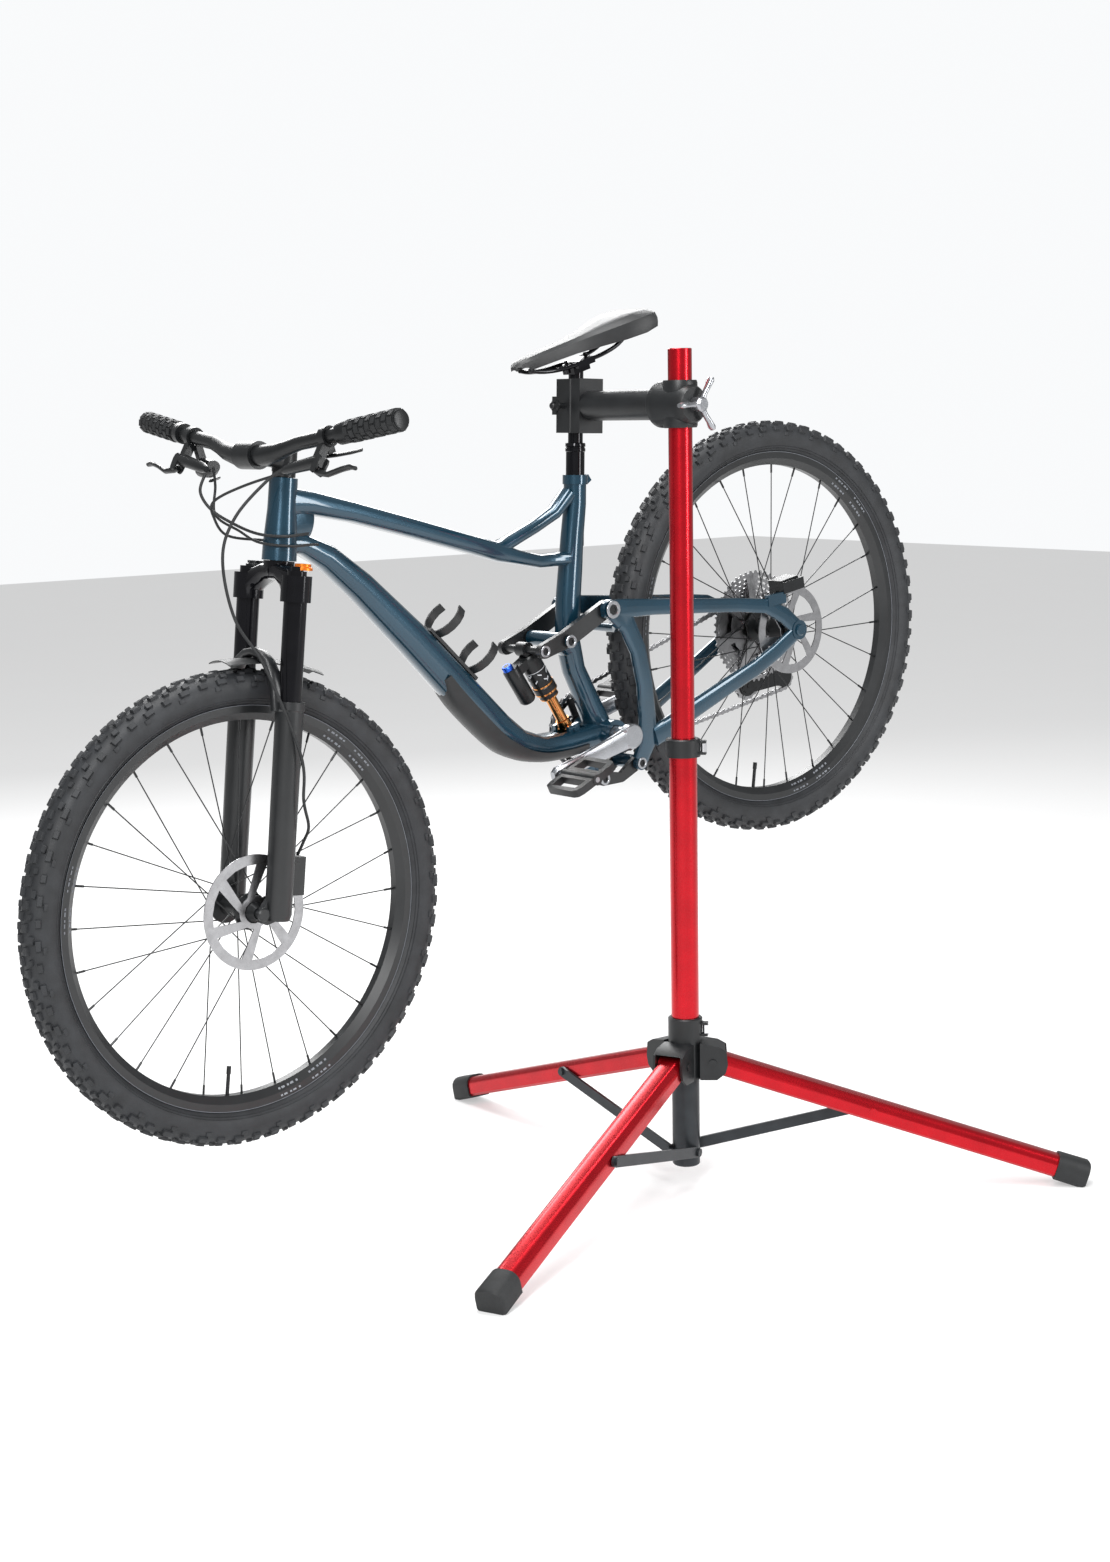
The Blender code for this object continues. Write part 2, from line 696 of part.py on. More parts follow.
jaw = prism(
    [(-0.0235, -0.0172), (-0.0052, -0.0172), (-0.0052, 0.0225), (-0.0230, 0.0225), (-0.0260, 0.0195), (-0.0260, -0.0150)],
    grip,
    post_x,
    Y,
    -JAW_HALF + 0.0004,
    JAW_HALF - 0.0004,
)
spindle = rod(grip - post_x * 0.0200, grip - post_x * 0.0400, 0.0050, 12)
jaw = join(jaw, spindle)
jaw = cut(jaw, rod(grip - post_down * 0.1, grip + post_down * 0.1, POST_R + GAP, 18))
part("moving_jaw", jaw, CAST, grip)
nut_base = grip - post_x * 0.0403
nut = turned(nut_base, -post_x, [(0, 0), (0.0075, 0), (0.0105, 0.002), (0.0105, 0.0060), (0.0060, 0.0075), (0.0060, 0.0120), (0.0045, 0.0135), (0, 0.0135)], 12)
wing = block(nut_base - post_x * 0.0045, Y, -post_down, 0.0045, 0.0150, 0.0030)
part("jaw_knob", join(nut, wing), CAST, nut_base)

# ================================================================ bicycle: frame


def path_row(f, y, u, hh, hw):
    return (*W(f, y, u), hh, hw)


head_tube = loft([circle(steer(s), STEER_UP, r, 16) for s, r in ((0.0010, 0.0270), (0.0250, 0.0265), (0.0800, 0.0225), (HEAD_LENGTH - 0.001, 0.0220))])
top_tube = sweep(
    [
        path_row(0.9090, 0, 0.5600, 0.0230, 0.0185),
        path_row(0.8700, 0, 0.5450, 0.0190, 0.0200),
        path_row(0.8000, 0, 0.5055, 0.0165, 0.0215),
        path_row(0.7000, 0, 0.4435, 0.0158, 0.0215),
        path_row(0.6000, 0, 0.3800, 0.0152, 0.0205),
        path_row(0.5450, 0, 0.3450, 0.0160, 0.0190),
        path_row(0.5130, 0, 0.3250, 0.0125, 0.0180),
        path_row(0.4700, 0, 0.3010, 0.0115, 0.0175),
        path_row(0.4050, 0, 0.2830, 0.0120, 0.0170),
    ],
    10,
    power=2.6,
)
strut = sweep(
    [
        path_row(0.5550, 0, 0.3520, 0.0110, 0.0165),
        path_row(0.5200, 0, 0.3515, 0.0110, 0.0165),
        path_row(0.4600, 0, 0.3570, 0.0105, 0.0160),
        path_row(0.4100, 0, 0.3650, 0.0110, 0.0155),
        path_row(0.3700, 0, 0.3850, 0.0130, 0.0150),
    ],
    8,
    power=2.4,
)
seat_tube = sweep(
    [
        path_row(0.3475, 0, 0.4020, 0.0182, 0.0182),
        path_row(0.3605, 0, 0.3640, 0.0182, 0.0182),
        path_row(0.3830, 0, 0.3150, 0.0190, 0.0185),
        path_row(0.4040, 0, 0.2650, 0.0205, 0.0190),
        path_row(0.4270, 0, 0.2120, 0.0210, 0.0200),
        path_row(0.4480, 0, 0.1550, 0.0200, 0.0210),
        path_row(0.4520, 0, 0.1000, 0.0190, 0.0200),
        path_row(0.4420, 0, 0.0450, 0.0200, 0.0210),
        path_row(0.4330, 0, -0.0100, 0.0220, 0.0260),
    ],
    12,
    power=2.3,
)
down_tube = sweep(
    [
        path_row(0.9350, 0, 0.5000, 0.0150, 0.0190),
        path_row(0.9050, 0, 0.4900, 0.0165, 0.0210),
        path_row(0.8680, 0, 0.4560, 0.0200, 0.0230),
        path_row(0.8220, 0, 0.3900, 0.0235, 0.0250),
        path_row(0.7560, 0, 0.2780, 0.0275, 0.0265),
        path_row(0.6900, 0, 0.1560, 0.0300, 0.0275),
        path_row(0.6420, 0, 0.0700, 0.0290, 0.0290),
        path_row(0.6100, 0, 0.0300, 0.0250, 0.0300),
        path_row(0.5700, 0, 0.0040, 0.0215, 0.0320),
        path_row(0.5200, 0, -0.0100, 0.0215, 0.0340),
        path_row(0.4700, 0, -0.0200, 0.0220, 0.0350),
        path_row(0.4250, 0, -0.0250, 0.0200, 0.0350),
    ],
    12,
    power=2.5,
)
gusset = sweep(
    [
        path_row(0.9200, 0, 0.5250, 0.0330, 0.0150),
        path_row(0.8900, 0, 0.5200, 0.0330, 0.0140),
        path_row(0.8780, 0, 0.5130, 0.0220, 0.0120),
    ],
    10,
)
shell = rod(W(BB[0], -0.0440, BB[1]), W(BB[0], 0.0440, BB[1]), 0.0245, 16)
M = W(ROCKER_PIVOT[0], 0, ROCKER_PIVOT[1])
pivot_arm = sweep(
    [
        path_row(0.4470, 0, 0.1330, 0.0190, 0.0200),
        path_row(0.4680, 0, 0.1500, 0.0140, 0.0230),
        path_row(ROCKER_PIVOT[0], 0, ROCKER_PIVOT[1], 0.0110, 0.0260),
    ],
    10,
)
pivot_axle = rod(M - Y * 0.0420, M + Y * 0.0420, 0.0135, 12)
pivot_pin = rod(M - Y * 0.0590, M + Y * 0.0590, 0.0050, 12)
pivot_caps = [rod(M + Y * way * 0.0578, M + Y * way * 0.0610, 0.0105, 12) for way in (-1, 1)]
L0 = W(LINK_FRONT[0], 0, LINK_FRONT[1])
link_mount = sweep(
    [
        path_row(0.4620, 0, -0.0380, 0.0150, 0.0200),
        path_row(0.4690, 0, -0.0650, 0.0130, 0.0200),
        path_row(LINK_FRONT[0], 0, LINK_FRONT[1], 0.0105, 0.0190),
    ],
    10,
)
link_axle = rod(L0 - Y * 0.0222, L0 + Y * 0.0222, 0.0118, 12)
link_pin = rod(L0 - Y * 0.0345, L0 + Y * 0.0345, 0.0050, 12)
link_caps = [rod(L0 + Y * way * 0.0338, L0 + Y * way * 0.0365, 0.0095, 12) for way in (-1, 1)]
SH = W(SHOCK_LOW[0], 0, SHOCK_LOW[1])
shock_mount = [block(SH + Y * way * 0.0180 - Vector((0, 0, 0.004)), D(1, 0, 0), D(0, 0, 1), 0.0120, 0.0130, 0.0035) for way in (-1, 1)]
shock_pin = rod(SH - Y * 0.0235, SH + Y * 0.0235, 0.0040, 12)
seat_ring = rod(W(0.3498, 0, 0.3946), W(0.3448, 0, 0.4091), 0.0212, 16)
seat_lug = block(W(0.3270, 0, 0.3955), D(1, 0, -0.34), Y, 0.0060, 0.0080, 0.0062)
frame = join(head_tube, down_tube, top_tube, strut, seat_tube, gusset, shell, pivot_arm)
frame = join(frame, link_mount)
shock_gap = block(SH + D(0, 0, 1) * 0.012, D(1, 0, 0), D(0, 0, 1), 0.0290, 0.0300, 0.0140)
frame = join(frame, *shock_mount)
frame = thinned(cut(frame, shock_gap), 0.45)
frame = join(frame, link_axle, link_pin, *link_caps, pivot_axle, pivot_pin, *pivot_caps, shock_pin, seat_ring, seat_lug)
SEAT_BORE = 0.0158 + GAP
frame = cut(
    frame,
    rod(steer(-0.02), steer(HEAD_LENGTH + 0.02), 0.0175, 16),
    rod(W(0.3448, 0, 0.4091) - post_down * 0.02, W(0.3498, 0, 0.3946) + post_down * 0.125, SEAT_BORE, 18),
    rod(W(BB[0], -0.06, BB[1]), W(BB[0], 0.06, BB[1]), 0.0155, 12),
)
part("front_frame", frame, BLUE, post_top)

# dropper post: outer tube in the seat tube, stanchion held by the jaws, head and rails
collar_at = (post_top.z - 1.2290) / -post_down.z
outer_top = post_top + post_down * collar_at
outer = turned(
    outer_top,
    post_down,
    [
        (POST_R + GAP, 0),
        (0.0160, 0),
        (0.0170, 0.0015),
        (0.0170, 0.0060),
        (0.0158, 0.0070),
        (0.0158, 0.0085),
        (0.0170, 0.0092),
        (0.0170, 0.0140),
        (0.0158, 0.0150),
        (0.0158, 0.1720),
        (POST_R + GAP, 0.1720),
        (POST_R + GAP, 0),
    ],
    18,
)
part("dropper_outer", outer, GLOSS, post_top, keep=1)

stanchion = rod(post_top + post_down * 0.0050, outer_top + post_down * 0.120, POST_R, 18)
head_block = block(post_top + post_down * 0.0040, D(1, 0, 0.02), Y, 0.0180, 0.0150, 0.0070)
rails = []
for way in (-1, 1):
    rows = [
        W(0.3950, way * 0.0120, 0.6060),
        W(0.3700, way * 0.0180, 0.5960),
        W(0.3300, way * 0.0220, 0.5890),
        W(0.2800, way * 0.0220, 0.5870),
        W(0.2400, way * 0.0220, 0.5870),
        W(0.2050, way * 0.0240, 0.5930),
        W(0.1750, way * 0.0260, 0.6080),
    ]
    rails.append(tube(rows, 0.0036, 6, 2))
yoke = block(W(0.2830, 0, 0.5855), D(1, 0, 0), Y, 0.0190, 0.0262, 0.0052)
head_bolts = [rod(W(0.2830 + s, 0, 0.5740), W(0.2830 + s, 0, 0.5960), 0.0035, 10) for s in (-0.0225, 0.0225)]
lugs = [block(W(0.2830 + s * 0.0200, 0, 0.5850), D(1, 0, 0), Y, 0.0070, 0.0060, 0.0045) for s in (-1, 1)]
stanchion = join(stanchion, head_block, yoke, *lugs, *head_bolts, *rails)
part("dropper_stanchion", stanchion, GLOSS, post_top)

# saddle: sections across, from tail to nose (distance along, half width, top, skirt bottom)
SADDLE = (
    (0.1290, 0.0300, 0.6290, 0.6140),
    (0.1340, 0.0560, 0.6325, 0.6090),
    (0.1480, 0.0690, 0.6355, 0.6050),
    (0.1750, 0.0700, 0.6370, 0.6020),
    (0.2100, 0.0560, 0.6350, 0.6010),
    (0.2500, 0.0360, 0.6310, 0.6020),
    (0.2950, 0.0235, 0.6285, 0.6040),
    (0.3400, 0.0200, 0.6280, 0.6050),
    (0.3850, 0.0185, 0.6270, 0.6060),
    (0.4080, 0.0150, 0.6240, 0.6080),
    (0.4160, 0.0070, 0.6190, 0.6110),
)
rings = []
for f, half, top, low in SADDLE:
    drop = 0.34 * (top - low)
    sag = 0.30 * (top - low)
    section_points = [
        (half * 0.98, low),
        (half, low + drop),
        (half * 0.93, top - drop * 0.75),
        (half * 0.62, top - drop * 0.10),
        (half * 0.25, top - drop * 0.08),
    ]
    inner = [(half * 0.72, low + sag * 0.6), (half * 0.3, low + sag)]
    ring = [W(f, y, u) for y, u in section_points]
    ring += [W(f, -y, u) for y, u in section_points[::-1]]
    ring += [W(f, -y, u) for y, u in inner]
    ring += [W(f, y, u) for y, u in inner[::-1]]
    rings.append(ring)
saddle = loft(rings)
rail_room = []
for way in (-1, 1):
    rail_room.append(block(W(0.3960, way * 0.0120, 0.6050), D(1, 0, 0.3), Y, 0.0200, 0.0046, 0.0060))
    rail_room.append(block(W(0.1730, way * 0.0262, 0.6060), D(1, 0, -0.5), Y, 0.0180, 0.0046, 0.0072))
part("saddle", cut(saddle, *rail_room), BLACK, post_top, keep=0.85)

# ================================================================ bicycle: rear suspension
K = W(ROCKER_REAR[0], 0, ROCKER_REAR[1])
F = W(ROCKER_FRONT[0], 0, ROCKER_FRONT[1])
L1 = W(LINK_REAR[0], 0, LINK_REAR[1])
AXLE = W(0, 0, 0)
STAY = 0.0625  # how far out the stays run by the seat tube
DROP_Y = 0.0795  # and at the dropouts
rear = []
for way in (-1, 1):
    rear.append(
        sweep(
            [
                path_row(0.4080, way * STAY, 0.1930, 0.0120, 0.0055),
                path_row(ROCKER_REAR[0], way * STAY, ROCKER_REAR[1] - 0.001, 0.0170, 0.0055),
                path_row(0.3600, way * STAY, 0.1780, 0.0165, 0.0060),
                path_row(0.3000, way * 0.0620, 0.1580, 0.0140, 0.0062),
                path_row(0.1900, way * 0.0650, 0.1180, 0.0128, 0.0062),
                path_row(0.1200, way * 0.0735, 0.0930, 0.0125, 0.0055),
                path_row(0.0600, way * 0.0775, 0.0680, 0.0130, 0.0048),
                path_row(0.0250, way * DROP_Y, 0.0380, 0.0150, 0.0048),
                path_row(-0.0020, way * DROP_Y, 0.0000, 0.0150, 0.0048),
            ],
            8,
            power=3.6,
        )
    )
    front_f, front_y, front_u = (0.3550, 0.0480, -0.0610) if way < 0 else (0.3800, 0.0310, -0.0800)
    rear.append(
        sweep(
            [
                path_row(front_f, way * front_y, front_u, 0.0190, 0.0070),
                path_row(0.3200, way * (0.0500 if way < 0 else 0.0400), -0.0590, 0.0185, 0.0070),
                path_row(0.2600, way * 0.0540, -0.0500, 0.0165, 0.0070),
                path_row(0.1800, way * 0.0640, -0.0380, 0.0155, 0.0062),
                path_row(0.1150, way * 0.0740, -0.0290, 0.0150, 0.0052),
                path_row(0.0600, way * 0.0775, -0.0180, 0.0145, 0.0048),
                path_row(0.0100, way * DROP_Y, -0.0040, 0.0140, 0.0048),
                path_row(-0.0120, way * DROP_Y, 0.0010, 0.0120, 0.0048),
            ],
            8,
            power=3.6,
        )
    )
    rear.append(rod(W(0, way * 0.0745, 0), W(0, way * 0.0855, 0), 0.0175, 16))
upright = sweep(
    [
        path_row(0.3900, -STAY, 0.1860, 0.0170, 0.0055),
        path_row(0.3640, -0.0615, 0.1500, 0.0180, 0.0060),
        path_row(0.3530, -0.0590, 0.1000, 0.0165, 0.0065),
        path_row(0.3540, -0.0560, 0.0400, 0.0165, 0.0070),
        path_row(0.3610, -0.0500, -0.0200, 0.0180, 0.0070),
        path_row(0.3660, -0.0430, -0.0650, 0.0190, 0.0070),
        path_row(0.3880, -0.0360, -0.0930, 0.0160, 0.0070),
    ],
    8,
    power=3.6,
)
upper_bridge = sweep(
    [
        path_row(0.3860, -STAY, 0.1600, 0.0085, 0.0085),
        path_row(0.3780, -0.0450, 0.1480, 0.0075, 0.0075),
        path_row(0.3780, 0.0450, 0.1480, 0.0075, 0.0075),
        path_row(0.3860, STAY, 0.1620, 0.0085, 0.0085),
    ],
    8,
    side=D(1, 0, 0.3),
)
lower_bridge = rod(L1 - Y * 0.0420, L1 + Y * 0.0380, 0.0125, 12)
boss = rod(K - Y * 0.0690, K - Y * 0.0575, 0.0165, 14)
boss_far = rod(K + Y * 0.0690, K + Y * 0.0575, 0.0165, 14)
dropout_axle = rod(W(0, -0.0875, 0), W(0, 0.0875, 0), 0.0060, 12)
axle_head = turned(W(0, -0.0850, 0), -Y, [(0, 0), (0.0105, 0), (0.0105, 0.0030), (0.0085, 0.0045), (0, 0.0045)], 12)
hanger = prism(slot((0, 0), (-0.020, -0.030), 0.0150, 0.0110, 6), W(0, 0.0800, 0), D(1, 0, 0), D(0, 0, 1), -0.0035, 0.0035)
caliper = [
    block(W(-0.0100, -0.0790, 0.0815), D(1, 0, 0.12), Y, 0.0260, 0.0060, 0.0100),
    block(W(-0.0080, -0.0620, 0.0830), D(1, 0, 0.10), Y, 0.0220, 0.0160, 0.0120),
]
REAR_ROTOR_Y = -0.0620
pad_gap = rod(AXLE + Y * (REAR_ROTOR_Y - 0.0016), AXLE + Y * (REAR_ROTOR_Y + 0.0016), REAR_ROTOR_R + 0.0020, 32)
mount_arm = block(W(0.0350, -0.0790, 0.0720), D(1, 0, 0.2), Y, 0.0220, 0.0045, 0.0100)
rear_frame = join(rear[0], *rear[1:])
rear_frame = join(rear_frame, upright, upper_bridge, lower_bridge, boss, boss_far, hanger, mount_arm, caliper[0], caliper[1])
link_slots = [block(L1 + Y * way * 0.0275, D(1, 0, 0), D(0, 0, 1), 0.0180, 0.0185, 0.0058) for way in (-1, 1)]
rear_frame = cut(thinned(cut(rear_frame, *link_slots), 0.45), pad_gap)
link_rear_pin = rod(L1 - Y * 0.0340, L1 + Y * 0.0340, 0.0050, 10)
rocker_pins = [rod(K + Y * way * 0.0450, K + Y * way * 0.0600, 0.0050, 10) for way in (-1, 1)]
rings_out = [rod(K + Y * way * 0.0685, K + Y * way * 0.0715, 0.0125, 10) for way in (-1, 1)]
rear_frame = join(rear_frame, link_rear_pin, *rocker_pins, *rings_out, dropout_axle, axle_head)
part("rear_triangle", rear_frame, BLUE, L1)

# rocker: two arms joined by a tie just behind the frame's pivot
rocker = []
ARM_T = 0.0055
ARM_MID = 0.0505
for way in (-1, 1):
    y = way * ARM_MID

    plate_low = prism(
        slot((ROCKER_REAR[0], ROCKER_REAR[1]), (ROCKER_PIVOT[0], ROCKER_PIVOT[1] + 0.004), 0.0150, 0.0155, 6),
        W(0, y, 0),
        D(1, 0, 0),
        D(0, 0, 1),
        -ARM_T,
        ARM_T,
    )
    plate_high = prism(
        slot((ROCKER_PIVOT[0], ROCKER_PIVOT[1] + 0.004), (ROCKER_FRONT[0], ROCKER_FRONT[1]), 0.0150, 0.0125, 6),
        W(0, y, 0),
        D(1, 0, 0),
        D(0, 0, 1),
        -ARM_T + 0.0003,
        ARM_T - 0.0003,
    )
    rocker += [plate_low, plate_high]
tie = rod(W(0.5420, -ARM_MID, 0.1710), W(0.5420, ARM_MID, 0.1710), 0.0065, 12)
rocker = join(rocker[0], *rocker[1:], tie)
holes = []
for way in (-1, 1):
    holes.append(rod(K + Y * way * 0.040, K + Y * way * 0.060, 0.0090, 12))
    holes.append(rod(M + Y * way * 0.040, M + Y * way * 0.060, 0.0053, 12))
rocker = cut(rocker, *holes)
part("rocker_link", rocker, GLOSS, M)

low_mid = (0.5 * (LINK_FRONT[0] + LINK_REAR[0]), 0.5 * (LINK_FRONT[1] + LINK_REAR[1]) - 0.0130)
lower = []
for way in (-1, 1):
    for k, end in enumerate((LINK_FRONT, LINK_REAR)):
        t = 0.0045 - 0.0002 * k
        lower.append(prism(slot(end, low_mid, 0.0125, 0.0082, 6), W(0, way * 0.0275, 0), D(1, 0, 0), D(0, 0, 1), -t, t))
cross = rod(W(low_mid[0], -0.0275, low_mid[1]), W(low_mid[0], 0.0275, low_mid[1]), 0.0066, 8)
link = join(lower[0], *lower[1:], cross)
link = cut(link, *[rod(p - Y * 0.05, p + Y * 0.05, 0.0053, 14) for p in (L0, L1)])
part("lower_link", link, GLOSS, L0)

# shock: body hangs from the rocker's front tie, shaft stands on the frame
shock_axis = (SH - F).normalized()
SHOCK_LEN = (SH - F).length
side = Y.cross(shock_axis).normalized()
body = turned(
    F + shock_axis * 0.0100,
    shock_axis,
    [(0.0, 0.0), (0.0140, 0.0), (0.0175, 0.004), (0.0185, 0.010), (0.0185, 0.062), (0.0200, 0.064), (0.0200, 0.074), (0.0165, 0.078), (0.0165, 0.086), (0.0135, 0.090), (0.0, 0.090)],
    14,
)
eye = turned(F - Y * 0.0110, Y, [(0.0, 0), (0.0125, 0), (0.0125, 0.0220), (0.0, 0.0220)], 12)
ahead = side if side.dot(D(1, 0, 0)) > 0 else -side
res_top = F + shock_axis * 0.0180 + ahead * 0.0420
bridge = block(F + shock_axis * 0.0190 + ahead * 0.0220, ahead, shock_axis, 0.0230, 0.0080, 0.0110)
reservoir = turned(res_top - shock_axis * 0.0100, (shock_axis + ahead * -0.02).normalized(), [(0, 0), (0.0125, 0.0), (0.0145, 0.004), (0.0145, 0.066), (0.0120, 0.070), (0, 0.070)], 12)
dial = turned(res_top - shock_axis * 0.0098 + ahead * 0.004, -shock_axis, [(0, -0.002), (0.0070, -0.002), (0.0070, 0.0070), (0.0055, 0.0085), (0, 0.0085)], 8)
body = thinned(join(body, eye, bridge, reservoir, dial), 0.75)
body = cut(body, rod(F - Y * 0.03, F + Y * 0.03, 0.0068, 12), rod(F + shock_axis * 0.0300, F + shock_axis * 0.13, 0.0118, 14))
part("shock_body", body, BLACK, F)

shaft = rod(F + shock_axis * 0.0850, SH - shock_axis * 0.0070, 0.0097, 14)
foot = rod(SH - Y * 0.0125, SH + Y * 0.0125, 0.0110, 12)
seat = rod(SH - shock_axis * 0.0200, SH - shock_axis * 0.0050, 0.0120, 12)
shaft = cut(join(shaft, foot, seat), rod(SH - Y * 0.03, SH + Y * 0.03, 0.0058, 12))
part("shock_shaft", shaft, COPPER, SH)

# ================================================================ bicycle: fork and cockpit
def fork(s, forward=0.0, y=0.0):
    """s down the fork from the crown race, forward of the steering axis."""
    return steer(-s, forward, y)


OFFSET = 0.0100
FA = W(WHEELBASE, 0, 0)
FORK_S = (FA - fork(0)).dot(-STEER_UP)
AXLE_OFFSET = (FA - fork(0)).dot(STEER_FORWARD)
crown_parts = [
    loft([circle(fork(0.014), STEER_UP, 0.0240, 20), circle(fork(-0.0005), STEER_UP, 0.0240, 20)]),
    rod(fork(0.006), fork(-HEAD_LENGTH - 0.0425), 0.0143, 18),
]
for way in (-1, 1):
    crown_parts.append(
        sweep(
            [
                (*fork(0.0146, 0.002, -way * (0.0050 + 0.0010 * way)), 0.0130, 0.0225 + 0.0003 * way),
                (*fork(0.0165, 0.003, way * 0.0220), 0.0140, 0.0200),
                (*fork(0.0260, 0.006, way * 0.0440), 0.0170, 0.0190),
                (*fork(0.0380, OFFSET, way * 0.0600), 0.0180, 0.0190),
            ],
            8,
            side=STEER_FORWARD,
            power=2.6,
        )
    )
    crown_parts.append(rod(fork(0.0200, OFFSET, way * LEG_Y), fork(0.0600, OFFSET, way * LEG_Y), 0.0235, 16))
    crown_parts.append(rod(fork(0.0580, OFFSET, way * LEG_Y), fork(LOWERS_TOP + 0.1100, OFFSET, way * LEG_Y), STANCHION_R, 16))
    crown_parts.append(rod(fork(0.0210, OFFSET, way * LEG_Y), fork(0.0100 if way > 0 else 0.0130, OFFSET, way * LEG_Y), 0.0150, 12))
crown_parts.append(rod(fork(0.0140, OFFSET, -LEG_Y), fork(0.0060, OFFSET, -LEG_Y), 0.0100, 10))
crown = join(crown_parts[0], *crown_parts[1:])
part("fork_crown", crown, GLOSS, fork(0))

LEG_END = FORK_S + 0.0100
lowers = []
for way in (-1, 1):
    lowers.append(
        turned(
            fork(LOWERS_TOP, OFFSET, way * LEG_Y),
            -STEER_UP,
            [
                (0, 0),
                (0.0240, 0),
                (0.0240, 0.0120),
                (LOWER_LEG_R, 0.0150),
                (LOWER_LEG_R - 0.0008, LEG_END - LOWERS_TOP - 0.010),
                (LOWER_LEG_R - 0.0040, LEG_END - LOWERS_TOP),
                (0, LEG_END - LOWERS_TOP),
            ],
            16,
        )
    )
    lowers.append(
        prism(
            [(0.0100, -0.0500), (0.0330, -0.0180), (0.0420, -0.0030), (0.0400, 0.0130), (0.0300, 0.0170), (0.0080, 0.0090)],
            fork(FORK_S, 0, way * 0.0620),
            STEER_FORWARD,
            -STEER_UP,
            -0.0060,
            0.0060,
        )
    )
ARCH_TOP, ARCH_FOOT = 0.1400, LOWERS_TOP + 0.0150
arch_rows = []
for k in range(11):
    t = math.pi * k / 10
    rise = math.sin(t) ** 0.8 if 0 < k < 10 else 0.0
    arch_rows.append(
        (
            *fork(ARCH_FOOT - (ARCH_FOOT - ARCH_TOP) * rise, 0.0290 + 0.0060 * rise, -LEG_Y * math.cos(t) * 0.95),
            0.0075,
            0.0110,
        )
    )
arch = sweep(arch_rows, 8, side=STEER_FORWARD, power=2.6)
fork_axle = rod(W(WHEELBASE, -0.0690, 0), W(WHEELBASE, 0.0690, 0), 0.0070, 14)
fork_axle_head = turned(W(WHEELBASE, -0.0675, 0), -Y, [(0, 0), (0.0110, 0), (0.0110, 0.0030), (0.0085, 0.0050), (0, 0.0050)], 16)
cal_c = fork(FORK_S - 0.0560, -0.0280, -0.0450)
front_caliper = block(cal_c, -STEER_UP, Y, 0.0300, 0.0140, 0.0125)
cal_arm = block(fork(FORK_S - 0.0560, -0.0100, -0.0600), -STEER_UP, Y, 0.0230, 0.0060, 0.0130)
ROTOR_Y = -0.0420
front_pad_gap = rod(FA + Y * (ROTOR_Y - 0.0018), FA + Y * (ROTOR_Y + 0.0018), FRONT_ROTOR_R + 0.0020, 32)
front_caliper = cut(front_caliper, front_pad_gap)
fork_low = join(lowers[0], *lowers[1:], arch)
fork_low = thinned(join(fork_low, cal_arm, front_caliper), 0.6)
fork_low = cut(
    fork_low,
    *[rod(fork(LOWERS_TOP - 0.08, OFFSET, way * LEG_Y), fork(LOWERS_TOP + 0.2450, OFFSET, way * LEG_Y), STANCHION_R + GAP, 16) for way in (-1, 1)],
)
fork_low = join(fork_low, fork_axle, fork_axle_head)
part("fork_lowers", fork_low, BLACK, FA)

# mudguard: a curved blade under the arch, reaching back towards the down tube
rings = []
for k in range(9):
    t = k / 8
    angle = math.radians(-16 + 52 * t)
    r = TYRE_R + 0.0126 + 0.0040 * t
    c, n = math.cos(angle), math.sin(angle)
    half = 0.0300 - 0.0100 * t
    ring = []
    radial = STEER_UP * c - STEER_FORWARD * n
    for j in range(7):
        y = half * (-1 + 2 * j / 6)
        bow = 0.0060 * (1 - (j / 3 - 1) ** 2)
        ring.append(FA + radial * (r + bow - 0.005) + Y * y)
    for j in range(6, -1, -1):
        y = half * (-1 + 2 * j / 6)
        bow = 0.0060 * (1 - (j / 3 - 1) ** 2)
        ring.append(FA + radial * (r + bow - 0.005 + 0.0016) + Y * y)
    rings.append(ring)
part("mudguard", loft(rings), BLACK, FA)

# stem
stem_low, stem_high = HEAD_LENGTH + 0.0080, HEAD_LENGTH + 0.0460
clamp = rod(steer(stem_low), steer(stem_high), 0.0190, 18)
spacer = rod(steer(HEAD_LENGTH + 0.0003), steer(stem_low + 0.002), 0.0180, 18)
B0 = W(BAR[0], 0, BAR[1])
mid = steer((stem_low + stem_high) / 2)
body_stem = sweep(
    [
        (*mid, 0.0165, 0.0160),
        (*(mid.lerp(B0, 0.45)), 0.0140, 0.0150),
        (*(mid.lerp(B0, 0.85)), 0.0165, 0.0200),
    ],
    14,
    power=2.8,
)
bar_clamp = rod(B0 - Y * 0.0230, B0 + Y * 0.0230, 0.0215, 18)
stem = thinned(join(clamp, spacer, body_stem, bar_clamp), 0.75)
stem = cut(stem, rod(steer(HEAD_LENGTH - 0.01), steer(stem_high - 0.003), 0.0146, 18), rod(B0 - Y * 0.03, B0 + Y * 0.03, 0.0163, 18))
part("stem", stem, BLACK, fork(0))

# handlebar with its grips
def bar_row(y):
    """The bar's centre at a distance y from the middle."""
    a = abs(y)
    if a < 0.035:
        f, u = BAR
    elif a < 0.150:
        t = (a - 0.035) / 0.115
        t = t * t * (3 - 2 * t)
        f, u = BAR[0] - 0.0165 * t, BAR[1] + 0.0180 * t
    else:
        t = (a - 0.150) / 0.1974
        f, u = BAR[0] - 0.0165 - 0.0245 * t, BAR[1] + 0.0180 + 0.0225 * t
    r = 0.0159 if a < 0.040 else max(0.0111, 0.0159 - 0.0048 * (a - 0.040) / 0.060)
    return f, u, r


